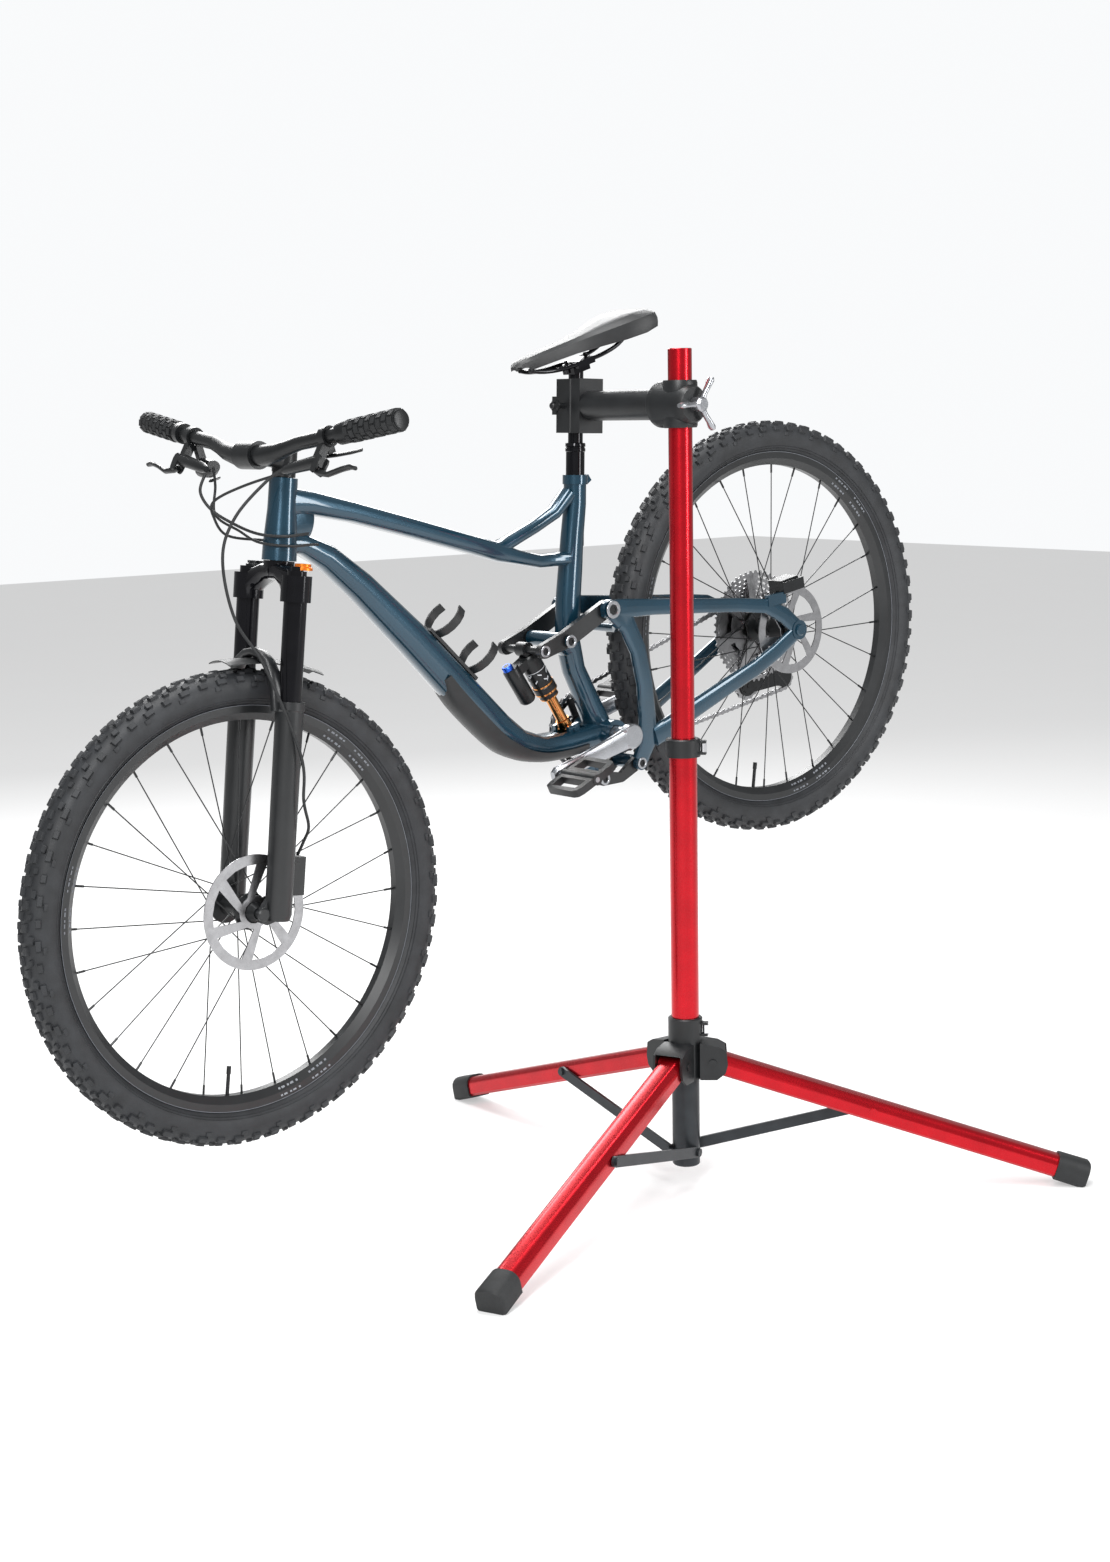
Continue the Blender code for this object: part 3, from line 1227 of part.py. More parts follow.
BAR_END = 0.3474
GRIP_FROM = 0.2175
rows = []
for y in (-BAR_END, -0.15, -0.12, -0.095, -0.070, -0.040, 0.040, 0.070, 0.095, 0.12, 0.15, BAR_END):
    f, u, r = bar_row(y)
    rows.append((*W(f, y, u), r, r))
bar = sweep(rows, 12, side=STEER_UP)
grips = []
for way in (-1, 1):
    g = []
    for y, r in ((GRIP_FROM, 0.0165), (GRIP_FROM + 0.014, 0.0165), (GRIP_FROM + 0.016, 0.0154), (BAR_END - 0.004, 0.0164), (BAR_END + 0.002, 0.0150)):
        f, u, _ = bar_row(way * y)
        g.append((*W(f, way * y, u), r, r))
    grips.append(sweep(g, 12, side=STEER_UP))
part("handlebar", join(bar, *grips), BLACK, B0)


def on_bar(y, forward=0.0, down=0.0):
    """A point beside the bar: forward and down in the bicycle's own frame."""
    f, u, r = bar_row(y)
    return W(f + forward, y, u - down)


LEVER_TILT = math.radians(44)
LEV_F, LEV_D = math.cos(LEVER_TILT), math.sin(LEVER_TILT)
BLADE_PIVOT_Y = 0.196
blade_pins = {}
for name, way in (("left", -1), ("right", 1)):
    y0 = way * 0.186
    f, u, r = bar_row(y0)
    bar_in, bar_out = (W(bar_row(way * y)[0], way * y, bar_row(way * y)[1]) for y in (0.160, 0.215))
    bar_way = (bar_out - bar_in).normalized()
    clampr = turned(W(f, y0, u) - bar_way * 0.0065, bar_way, [(0, 0), (0.0158, 0), (0.0158, 0.0130), (0, 0.0130)], 12)

    def p(y, out):
        """A point at y, out from the bar in the lever's own plane."""
        return W(f + out * LEV_F, way * y, u - out * LEV_D)

    cylinder = sweep(
        [
            (*p(0.1080, 0.0560), 0.0050, 0.0050),
            (*p(0.1200, 0.0535), 0.0082, 0.0082),
            (*p(0.1800, 0.0420), 0.0100, 0.0100),
            (*p(0.1980, 0.0410), 0.0085, 0.0090),
        ],
        10,
        side=D(LEV_D, 0, LEV_F),
    )
    foot = block(p(0.1862, 0.0275), D(LEV_F, 0, -LEV_D), Y, 0.0130, 0.0063, 0.0068)
    pieces = [foot, cylinder]
    pin = p(BLADE_PIVOT_Y, 0.0550)
    up = D(LEV_D, 0, LEV_F)
    for s in (-1, 1):
        pieces.append(prism(slot((0, 0), (0.0150, 0), 0.0065, 0.0080, 4), pin, -D(LEV_F, 0, -LEV_D), Y * way, s * 0.0075 - 0.0016, s * 0.0075 + 0.0016))
    pieces.append(rod(pin - up * 0.0085, pin + up * 0.0085, 0.0022, 10))
    body = join(clampr, *pieces)
    if way > 0:
        pod = sweep(
            [
                (*on_bar(0.1340, 0.0060, 0.0400), 0.0100, 0.0120),
                (*on_bar(0.1460, 0.0070, 0.0440), 0.0140, 0.0170),
                (*on_bar(0.1620, 0.0070, 0.0450), 0.0150, 0.0180),
                (*on_bar(0.1740, 0.0060, 0.0410), 0.0110, 0.0130),
            ],
            8,
            side=D(1, 0, 0),
        )
        stalk = block(W(f + 0.0035, way * 0.1763, u - 0.0240), D(0, 0, 1), Y, 0.0150, 0.0057, 0.0058)
        body = join(body, pod, stalk)
    else:
        seat = block(W(f - 0.0037, way * 0.1763, u - 0.0173), D(0, 0, 1), Y, 0.0091, 0.0057, 0.0058)
        body = join(body, seat)
    body = cut(body, rod(bar_in, bar_out, 0.0119, 12))
    part("brake_body_" + name, body, BLACK, pin)
    blade_rows = [
        (*(pin + Y * way * -0.0040), 0.0040, 0.0045),
        (*(pin + Y * way * 0.0060 + D(LEV_F, 0, -LEV_D) * 0.0030), 0.0055, 0.0050),
        (*(pin + Y * way * 0.0300 + D(LEV_F, 0, -LEV_D) * 0.0060), 0.0050, 0.0038),
        (*(pin + Y * way * 0.0600 - D(LEV_F, 0, -LEV_D) * 0.0030), 0.0055, 0.0034),
        (*(pin + Y * way * 0.0800 - D(LEV_F, 0, -LEV_D) * 0.0070), 0.0058, 0.0034),
        (*(pin + Y * way * 0.0920 - D(LEV_F, 0, -LEV_D) * 0.0050), 0.0040, 0.0032),
    ]
    blade = sweep(blade_rows, 8, side=D(LEV_F, 0, -LEV_D))
    blade = cut(blade, rod(pin - up * 0.02, pin + up * 0.02, 0.0025, 10))
    part("brake_blade_" + name, blade, BLACK, pin)

pad_pin = on_bar(0.1500, 0.0070, 0.0620)
paddle = sweep(
    [
        (*(pad_pin + D(0, 0, -1) * 0.0015), 0.0025, 0.0060),
        (*(pad_pin + Y * 0.0120 + D(-1, 0, -0.2) * 0.0080 + D(0, 0, -1) * 0.0015), 0.0022, 0.0055),
        (*(pad_pin + Y * 0.0240 + D(-1, 0, -0.2) * 0.0200 + D(0, 0, -1) * 0.0020), 0.0022, 0.0065),
        (*(pad_pin + Y * 0.0310 + D(-1, 0, -0.2) * 0.0300 + D(0, 0, -1) * 0.0030), 0.0020, 0.0050),
    ],
    10,
    side=D(1, 0, 0),
)
part("shifter_paddle", paddle, BLACK, pad_pin)
f, u, r = bar_row(-0.176)
drop_pin = W(f - 0.0040, -0.1760, u - 0.0290)
paddle = sweep(
    [
        (*(drop_pin + Y * 0.0050), 0.0030, 0.0080),
        (*(drop_pin - Y * 0.0120 + D(-1, 0, 0) * 0.0040), 0.0026, 0.0070),
        (*(drop_pin - Y * 0.0300 + D(-1, 0, 0) * 0.0160), 0.0026, 0.0080),
        (*(drop_pin - Y * 0.0420 + D(-1, 0, 0) * 0.0280), 0.0022, 0.0070),
    ],
    10,
    side=D(1, 0, 0),
)
part("dropper_lever", paddle, BLACK, drop_pin)

# ================================================================ bicycle: wheels
SEG = 28


def wheel(name, centre, left_flange, right_flange, flange_r):
    """Tyre and rim about an axle along y. Returns the wheel's spokes, which go with its hub."""
    outer = [(0.3128, 0.0154), (0.3172, 0.0154), (0.3290, 0.0275), (0.3500, 0.0296), (0.3650, 0.0245)]
    inner = [(0.3620, 0.0140), (0.3128, 0.0122)]
    tyre_profile = outer + [(TYRE_R, 0.0)] + [(r, -y) for r, y in outer[::-1]]
    tyre_profile += [(r, -y) for r, y in inner[::-1]] + inner + outer[:1]
    part(name + "_tyre", turned(centre, Y, tyre_profile, SEG), RUBBER, centre, keep=1)
    wall = [(RIM_R, 0.0158), (RIM_R, 0.0173), (0.3050, 0.0170), (0.2935, 0.0070)]
    bed = [(0.3115, 0.0158)]
    rim_profile = wall + [(r, -y) for r, y in wall[::-1]] + [(r, -y) for r, y in bed[::-1]] + bed + wall[:1]
    part(name + "_rim", turned(centre, Y, rim_profile, SEG), GLOSS, centre, keep=1)
    spokes = []
    for k in range(SPOKES):
        t = 2 * math.pi * (k + 0.5) / SPOKES
        left = k % 2 == 0
        y = left_flange if left else right_flange
        way = D(math.cos(t), 0, math.sin(t))
        start = centre + way * (flange_r - 0.0030) + Y * y
        end = centre + way * 0.2900 + Y * (0.0030 if not left else -0.0030)
        spokes.append(rod(start, end, 0.0015, 3))
    return spokes


F_C = FA
R_C = AXLE
front_spokes = wheel("front", F_C, -0.0315, 0.0390, 0.0290)
front_hub = turned(
    F_C,
    Y,
    [(0.0076, -0.0545), (0.0088, -0.0545), (0.0150, -0.0440), (0.0166, -0.0398), (0.0290, -0.0335), (0.0290, -0.0295), (0.0150, -0.0230), (0.0150, 0.0330), (0.0290, 0.0370), (0.0290, 0.0410), (0.0140, 0.0445), (0.0088, 0.0545), (0.0076, 0.0545), (0.0076, -0.0545)],
    14,
)
part("front_hub", join(front_hub, merge(front_spokes)), BLACK, F_C)
rear_spokes = wheel("rear", R_C, -0.0350, 0.0210, 0.0290)
rear_hub = turned(
    R_C,
    Y,
    [(0.0066, -0.0735), (0.0105, -0.0735), (0.0160, -0.0645), (0.0166, -0.0590), (0.0290, -0.0370), (0.0290, -0.0330), (0.0160, -0.0280), (0.0160, 0.0150), (0.0290, 0.0190), (0.0290, 0.0230), (0.0174, 0.0270), (0.0174, 0.0640), (0.0105, 0.0735), (0.0066, 0.0735), (0.0066, -0.0735)],
    14,
)
part("rear_hub", join(rear_hub, merge(rear_spokes)), BLACK, R_C)


def rotor(name, centre, y, r, thick, hub_r, arms, n=30):
    """A braking ring on a star of arms."""
    outline = [(r * math.cos(2 * math.pi * i / n), r * math.sin(2 * math.pi * i / n)) for i in range(n)]
    inner = r - 0.0155
    windows = []
    root = hub_r + 0.0085
    for k in range(arms):
        t0 = 2 * math.pi * (k + 0.12) / arms
        t1 = 2 * math.pi * (k + 0.88) / arms
        lean = 0.42
        window = []
        for i in range(4):
            t = t0 + (t1 - t0) * i / 3
            window.append((inner * math.cos(t), inner * math.sin(t)))
        for i in range(3):
            t = t1 - lean - (t1 - t0) * 0.18 - (t1 - t0 - 0.36 * (t1 - t0)) * i / 2
            window.append((root * math.cos(t), root * math.sin(t)))
        windows.append(window)
    windows.append(disc(hub_r, 14))
    return part(name, prism(outline, centre + Y * y, D(1, 0, 0), D(0, 0, 1), -thick / 2, thick / 2, holes=windows), STEEL, centre, keep=1)


rotor("front_rotor", F_C, ROTOR_Y, FRONT_ROTOR_R, 0.0018, 0.0175, 6)
rotor("rear_rotor", R_C, REAR_ROTOR_Y, REAR_ROTOR_R, 0.0018, 0.0175, 6)

# ================================================================ bicycle: drivetrain
CHAIN_Y = 0.0507
SPROCKET_R = 0.0520
cassette_steps = [0.1020, 0.0880, 0.0750, 0.0640, SPROCKET_R - 0.0030, 0.0410, 0.0330, 0.0260]
profile = [(0.0180, 0.0290)]
for k, r in enumerate(cassette_steps):
    profile.append((r, 0.0290 + 0.0046 * k))
    profile.append((r, 0.0290 + 0.0046 * k + (0.0022 if k == len(cassette_steps) - 1 else 0.0044)))
profile.append((0.0180, profile[-1][1]))
part("cassette", turned(R_C, Y, profile + profile[:1], 18), STEEL, R_C, keep=1)

BBC = W(BB[0], 0, BB[1])
ARM_WAY = D(math.cos(CRANK_ANGLE), 0, math.sin(CRANK_ANGLE))
RING_R = 0.0640
crank_parts = [rod(BBC - Y * 0.0880, BBC + Y * 0.0880, 0.0146, 12)]
for side_of, way in ((-1, 1), (1, -1)):
    y = side_of * 0.0835
    arm_rows = [
        (*(BBC + ARM_WAY * way * -0.0060 + Y * y), 0.0190, 0.0072),
        (*(BBC + ARM_WAY * way * 0.0250 + Y * y), 0.0175, 0.0075),
        (*(BBC + ARM_WAY * way * 0.0900 + Y * y), 0.0140, 0.0068),
        (*(BBC + ARM_WAY * way * 0.1500 + Y * y), 0.0135, 0.0066),
        (*(BBC + ARM_WAY * way * (CRANK + 0.006) + Y * y), 0.0135, 0.0066),
        (*(BBC + ARM_WAY * way * (CRANK + 0.0145) + Y * y), 0.0080, 0.0055),
    ]
    crank_parts.append(sweep(arm_rows, 8, power=3.4))
    crank_parts.append(turned(BBC + Y * side_of * 0.0765, Y * side_of, [(0, 0), (0.0215, 0), (0.0215, 0.0120), (0.0190, 0.0145), (0.0, 0.0145)], 12))
    pin_from = BBC + ARM_WAY * way * CRANK + Y * side_of * 0.0850
    crank_parts.append(rod(pin_from, pin_from + Y * side_of * 0.0960, 0.0045, 8))
n = 26
ring_holes = []
for k in range(4):
    t0 = 2 * math.pi * (k + 0.163 + 0.004 * k) / 4
    t1 = 2 * math.pi * (k + 0.837 + 0.004 * k) / 4
    win = [(0.0530 * math.cos(t0 + (t1 - t0) * i / 4), 0.0530 * math.sin(t0 + (t1 - t0) * i / 4)) for i in range(5)]
    win += [(0.0270 * math.cos(t1 - 0.11 - (t1 - t0 - 0.17) * i / 2), 0.0270 * math.sin(t1 - 0.11 - (t1 - t0 - 0.17) * i / 2)) for i in range(3)]
    ring_holes.append(win)
chainring = prism(disc(RING_R - 0.0035, n), BBC + Y * CHAIN_Y, D(1, 0, 0), D(0, 0, 1), -0.0012, 0.0012, holes=ring_holes)
spider = turned(BBC, Y, [(0, 0.0470), (0.0220, 0.0470), (0.0240, 0.0515), (0.0240, 0.0560), (0.0180, 0.0600), (0.0180, 0.0790), (0, 0.0790)], 12)
crank = join(crank_parts[0], *crank_parts[1:], chainring, spider)
part("crankset", crank, SILVER, BBC)

for name, side_of, way in (("left", -1, 1), ("right", 1, -1)):
    centre = BBC + ARM_WAY * way * CRANK + Y * side_of * 0.1390
    lean = math.radians(-8)
    a, b = D(math.cos(lean), 0, math.sin(lean)), D(-math.sin(lean), 0, math.cos(lean))
    frame_outline = [(-0.0440, -0.0380), (-0.0330, -0.0410), (0.0330, -0.0410), (0.0440, -0.0380), (0.0480, -0.0300), (0.0480, 0.0300), (0.0440, 0.0380), (0.0330, 0.0410), (-0.0330, 0.0410), (-0.0440, 0.0380), (-0.0480, 0.0300), (-0.0480, -0.0300)]
    holes = [
        [(0.0150, -0.0304), (0.0380, -0.0281), (0.0400, 0.0287), (0.0153, 0.0309)],
        [(-0.0150, -0.0312), (-0.0379, -0.0275), (-0.0400, 0.0291), (-0.0154, 0.0315)],
    ]
    plate_p = prism(frame_outline, centre, a, Y, -0.0065, 0.0065, holes=holes)
    core = rod(centre - Y * 0.0420, centre + Y * 0.0420, 0.0095, 8)
    pedal = cut(join(plate_p, core), rod(centre - Y * 0.06, centre + Y * 0.06, 0.0050, 8))
    part("pedal_" + name, pedal, STEEL, BBC + ARM_WAY * way * CRANK)

# chain: a closed band about chainring, sprocket and the two jockey wheels
GUIDE = (0.0360, -0.1050)
TENSION = (-0.0560, -0.1240)
JOCKEY_R = 0.0235


def tangent(c0, r0, c1, r1):
    """Where a belt leaves circle 0 and meets circle 1; a radius is positive where the belt turns left round it."""
    dx, dy = c1[0] - c0[0], c1[1] - c0[1]
    d = math.hypot(dx, dy)
    base = math.atan2(dy, dx)
    t = base + math.asin((r0 - r1) / d) - math.pi / 2
    nx, ny = math.cos(t), math.sin(t)
    return (c0[0] + r0 * nx, c0[1] + r0 * ny), (c1[0] + r1 * nx, c1[1] + r1 * ny)


wheels_of_belt = [(BB, RING_R + 0.0022), ((0.0, 0.0), SPROCKET_R + 0.0020), (GUIDE, -JOCKEY_R), (TENSION, JOCKEY_R)]
spans = [tangent(*wheels_of_belt[i], *wheels_of_belt[(i + 1) % 4]) for i in range(4)]
belt = []
for i in range(4):
    arrive = spans[i - 1][1]
    leave = spans[i][0]
    c, r = wheels_of_belt[i]
    t0 = math.atan2(arrive[1] - c[1], arrive[0] - c[0])
    t1 = math.atan2(leave[1] - c[1], leave[0] - c[0])
    if r > 0:
        while t1 < t0:
            t1 += 2 * math.pi
    else:
        while t1 > t0:
            t1 -= 2 * math.pi
    steps = max(3, int(abs(t1 - t0) / 0.34))
    for k in range(steps + 1):
        t = t0 + (t1 - t0) * k / steps
        belt.append((c[0] + abs(r) * math.cos(t), c[1] + abs(r) * math.sin(t), i))
chain_rows = []
for k, (bx, by, i) in enumerate(belt):
    p0, p1 = belt[k - 1], belt[(k + 1) % len(belt)]
    ax, ay = p1[0] - p0[0], p1[1] - p0[1]
    d = math.hypot(ax, ay)
    nx, ny = -ay / d, ax / d
    ring = []
    for h, w in ((-0.0038, -0.0031), (-0.0038, 0.0031), (0.0038, 0.0031), (0.0038, -0.0031)):
        ring.append(W(bx + nx * h, CHAIN_Y + w, by + ny * h))
    chain_rows.append(ring)
part("chain", loft(chain_rows, loop=True), STEEL, BBC, keep=1)

der = prism(slot((-0.0250, -0.0370), (-0.0020, -0.0560), 0.0120, 0.0110, 6), W(0, 0.0702, 0), D(1, 0, 0), D(0, 0, 1), -0.0060, 0.0060)
knuckle = prism(slot((-0.0020, -0.0560), GUIDE, 0.0108, 0.0120, 6), W(0, 0.0665, 0), D(1, 0, 0), D(0, 0, 1), -0.0060, 0.0060)
bolt = rod(W(-0.0200, 0.0646, -0.0300), W(-0.0200, 0.0761, -0.0300), 0.0078, 10)
der_pin = rod(W(GUIDE[0], 0.0420, GUIDE[1]), W(GUIDE[0], 0.0640, GUIDE[1]), 0.0040, 10)
part("derailleur_body", join(der, knuckle, bolt, der_pin), BLACK, W(-0.0200, 0.0680, -0.0300))
G_W = W(GUIDE[0], 0, GUIDE[1])
cage_outer = prism(slot(GUIDE, TENSION, 0.0165, 0.0150, 6), W(0, 0.0570, 0), D(1, 0, 0), D(0, 0, 1), -0.0011, 0.0011)
cage_inner = prism(slot(GUIDE, TENSION, 0.0140, 0.0130, 6), W(0, 0.0440, 0), D(1, 0, 0), D(0, 0, 1), -0.0011, 0.0011)
jockeys = [rod(W(c[0], 0.0445, c[1]), W(c[0], 0.0565, c[1]), JOCKEY_R - 0.0042, 14) for c in (GUIDE, TENSION)]
cage = join(cage_outer, cage_inner, *jockeys)
cage = cut(cage, rod(W(GUIDE[0], 0.0400, GUIDE[1]), W(GUIDE[0], 0.0600, GUIDE[1]), 0.0043, 10))
part("derailleur_cage", cage, BLACK, G_W)

# bottle cage: two hoops and a back plate on the down tube
base_cage = W(0.6609, 0, 0.1718)
top_cage = W(0.7157, 0, 0.2706)
along = (top_cage - base_cage).normalized()
away = along.cross(Y).normalized()
if away.z < 0:
    away = -away
plate_c = block((base_cage + top_cage) / 2, along, Y, 0.0640, 0.0110, 0.0028)
hoops = []
for at_s, r in ((-0.045, 0.0345), (0.048, 0.0345)):
    c = (base_cage + top_cage) / 2 + along * at_s + away * 0.0355
    hoops.append([c + Y * r * math.cos(math.radians(-90 + k * 22)) + away * r * math.sin(math.radians(-90 + k * 22)) for k in range(-6, 7)])
hoop_parts = []
for pts in hoops:
    rings = []
    for k, p in enumerate(pts):
        tang = (pts[min(k + 1, len(pts) - 1)] - pts[max(k - 1, 0)]).normalized()
        nrm = along.cross(tang).normalized()
        rings.append([p + along * (0.0075 * sx) + nrm * (0.0014 * sy) for sx, sy in ((-1, -1), (1, -1), (1, 1), (-1, 1))])
    hoop_parts.append(loft(rings))
cage = join(plate_c, *hoop_parts)
for k in (-1, 1):
    cage = join(cage, rod((base_cage + top_cage) / 2 + along * 0.028 * k + away * 0.001, (base_cage + top_cage) / 2 + along * 0.028 * k + away * 0.0048, 0.0050, 8))
part("bottle_cage", cage, BLACK, base_cage, keep=0.8)

# ================================================================ cables held by the bicycle
HOSE_R = 0.0024
PORTS = ((0.9070, -0.0300, 0.5100), (0.8945, -0.0300, 0.4890))
hose = tube(
    [
        W(0.9560, -0.1020, 0.6310),
        W(0.9780, -0.0820, 0.6200),
        W(1.0350, -0.0580, 0.5820),
        W(1.0720, -0.0500, 0.5300),
        W(1.0860, -0.0560, 0.4400),
        W(1.0720, -0.0760, 0.3560),
        fork(0.2900, 0.0050, -0.0960),
        fork(0.3600, -0.0050, -0.0960),
        fork(0.4000, -0.0220, -0.0880),
        fork(0.4250, -0.0300, -0.0660),
        fork(FORK_S - 0.0885, -0.0290, -0.0520),
    ],
    HOSE_R,
    6,
    2,
)
part("front_brake_hose", hose, BLACK)
rear_hose = [
    W(0.9700, 0.1020, 0.6250),
    W(0.9880, 0.1020, 0.6020),
    W(0.9860, 0.0880, 0.5720),
    W(0.9750, 0.0500, 0.5450),
    W(0.9700, 0.0000, 0.5300),
    W(0.9500, -0.0350, 0.5200),
    W(0.9230, -0.0380, 0.5130),
    W(0.9050, -0.0310, 0.5080),
]
shift = [
    W(0.9380, 0.1280, 0.6240),
    W(0.9560, 0.1080, 0.6000),
    W(0.9800, 0.0920, 0.5620),
    W(0.9720, 0.0500, 0.5340),
    W(0.9740, 0.0000, 0.5180),
    W(0.9460, -0.0380, 0.5030),
    W(0.9120, -0.0390, 0.4930),
    W(0.8930, -0.0310, 0.4860),
]
tie = block(W(0.9720, 0.0000, 0.5240), Y, D(1, 0, -0.3), 0.0035, 0.0042, 0.0105)
part("rear_hose_pair", join(tube(rear_hose, HOSE_R, 5, 2), tube(shift, 0.0021, 5, 2), tie), BLACK)
dropper = [
    W(0.9200, -0.1500, 0.6270),
    W(0.9450, -0.0900, 0.6220),
    W(0.9850, -0.0200, 0.6120),
    W(1.0120, 0.0300, 0.5960),
    W(1.0080, 0.0500, 0.5680),
    W(0.9900, 0.0580, 0.5330),
    W(0.9400, 0.0440, 0.5080),
    W(0.9050, 0.0300, 0.4960),
]
part("dropper_cable", tube(dropper, 0.0021, 5, 2), BLACK)
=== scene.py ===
"""Full-suspension trail bicycle held nose-down by its seatpost in a folding tripod repair stand.

The finished look. Metres, +Z up.
"""

import json
import math

import bmesh
import bpy
from mathutils import Matrix, Vector
from mathutils.geometry import tessellate_polygon

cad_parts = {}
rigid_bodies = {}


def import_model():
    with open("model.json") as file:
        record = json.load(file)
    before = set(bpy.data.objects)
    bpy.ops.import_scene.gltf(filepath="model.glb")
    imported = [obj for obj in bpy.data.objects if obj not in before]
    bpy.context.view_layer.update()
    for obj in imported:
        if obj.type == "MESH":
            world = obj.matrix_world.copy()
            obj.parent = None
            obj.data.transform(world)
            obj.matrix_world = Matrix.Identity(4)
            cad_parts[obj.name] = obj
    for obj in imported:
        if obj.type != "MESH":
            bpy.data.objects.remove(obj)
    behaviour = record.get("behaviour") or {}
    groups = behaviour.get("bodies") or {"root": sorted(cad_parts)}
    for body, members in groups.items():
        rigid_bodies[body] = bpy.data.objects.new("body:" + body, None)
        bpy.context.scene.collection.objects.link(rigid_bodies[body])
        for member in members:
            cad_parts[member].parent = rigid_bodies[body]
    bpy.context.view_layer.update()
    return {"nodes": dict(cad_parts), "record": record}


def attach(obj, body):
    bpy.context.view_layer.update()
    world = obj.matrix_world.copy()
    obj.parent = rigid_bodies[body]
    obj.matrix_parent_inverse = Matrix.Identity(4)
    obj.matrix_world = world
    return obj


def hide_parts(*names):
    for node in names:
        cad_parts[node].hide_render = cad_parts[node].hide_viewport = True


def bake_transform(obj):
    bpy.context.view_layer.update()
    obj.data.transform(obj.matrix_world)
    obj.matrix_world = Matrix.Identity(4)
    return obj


for old in list(bpy.data.objects):
    bpy.data.objects.remove(old, do_unlink=True)
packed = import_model()
CAD_NODES = packed["nodes"]
FINE = 2

# ---------------------------------------------------------------- driving dimensions
GAP = 0.0003  # clearance between pieces that touch
SHIFT_X = 0.5717  # moves the whole assembly so that the origin is under its middle
SHIFT_Y = 0.1619

# stand
MAST_X, MAST_Y = -0.4494, -0.2608
UPPER_R = 0.0193
UPPER_WALL = 0.0022
UPPER_BOTTOM, UPPER_TOP = 0.47, 1.3785
LOWER_R = 0.023
LOWER_BOTTOM, LOWER_TOP = 0.265, 0.75
POST_BOTTOM = 0.033
COLLAR_LOW, COLLAR_HIGH = 0.7228, 0.7525
ARM_Z = 1.29
HEAD_LOW, HEAD_HIGH = 1.2535, 1.3285
LEG_AZIMUTHS = {"front": -158.2, "right": -43.1, "left": 86.85}
LEG_W, LEG_H = 0.044, 0.037
HUB_PIVOT_R, HUB_PIVOT_Z = 0.045, 0.213
FOOT_R = 0.66
BRACE_PIVOT_R, BRACE_PIVOT_Z = 0.012, 0.059
BRACE_LEG_R = 0.31
BRACE_T, BRACE_H = 0.005, 0.018
HUB_LOW, HUB_HIGH, HUB_COLLAR = 0.183, 0.242, 0.2864

# bicycle, in its own level frame: f forward of the rear axle, u above it,
# y as in the world (-y is its left side)
PITCH = math.radians(17.23)
REAR_AXLE_Z = 0.8868
WHEELBASE = 1.1971
HEAD_ANGLE = math.radians(66.7)
HEAD_BOTTOM = 0.9496, 0.4785
HEAD_LENGTH = 0.1282
POST_TOP = 0.2854, 0.5816
POST_LOW = 0.3498, 0.3946
BB = 0.4314, -0.0256
CRANK = 0.167
CRANK_ANGLE = math.radians(1.0)
TYRE_R = 0.3715
RIM_R = 0.3165
LEG_Y = 0.066
STANCHION_R, LOWER_LEG_R = 0.0178, 0.0218
LOWERS_TOP = 0.211  # distance along the fork from the crown race to the top of the lowers
FRONT_ROTOR_R, REAR_ROTOR_R = 0.09, 0.08
ROCKER_PIVOT = 0.4889, 0.1685
ROCKER_REAR = 0.3935, 0.1893
ROCKER_FRONT = 0.542, 0.171
LINK_FRONT = 0.4734, -0.093
LINK_REAR = 0.391, -0.0978
SHOCK_LOW = 0.497, 0.008
BAR = 0.9433, 0.6467
SPOKES = 28

CB, SB = math.cos(PITCH), math.sin(PITCH)


def W(f, y, u):
    return Vector((-CB * f - SB * u + SHIFT_X, y + SHIFT_Y, REAR_AXLE_Z - SB * f + CB * u))


def D(f, y, u):
    return Vector((-CB * f - SB * u, y, -SB * f + CB * u)).normalized()


def S(x, y, z):
    return Vector((x + SHIFT_X, y + SHIFT_Y, z))


Y = Vector((0, 1, 0))
Z = Vector((0, 0, 1))
AHEAD = D(1, 0, 0)  # the bicycle's own forward
OVER = D(0, 0, 1)  # and its own up
MAST = MAST_X, MAST_Y


def steer(s, forward=0.0, y=0.0):
    """A point s up the steering axis from the crown race and forward of it."""
    c, n = math.cos(HEAD_ANGLE), math.sin(HEAD_ANGLE)
    return W(HEAD_BOTTOM[0] - c * s + n * forward, y, HEAD_BOTTOM[1] + n * s + c * forward)


STEER_UP = D(-math.cos(HEAD_ANGLE), 0, math.sin(HEAD_ANGLE))
STEER_FORWARD = D(math.sin(HEAD_ANGLE), 0, math.cos(HEAD_ANGLE))

# ---------------------------------------------------------------- materials


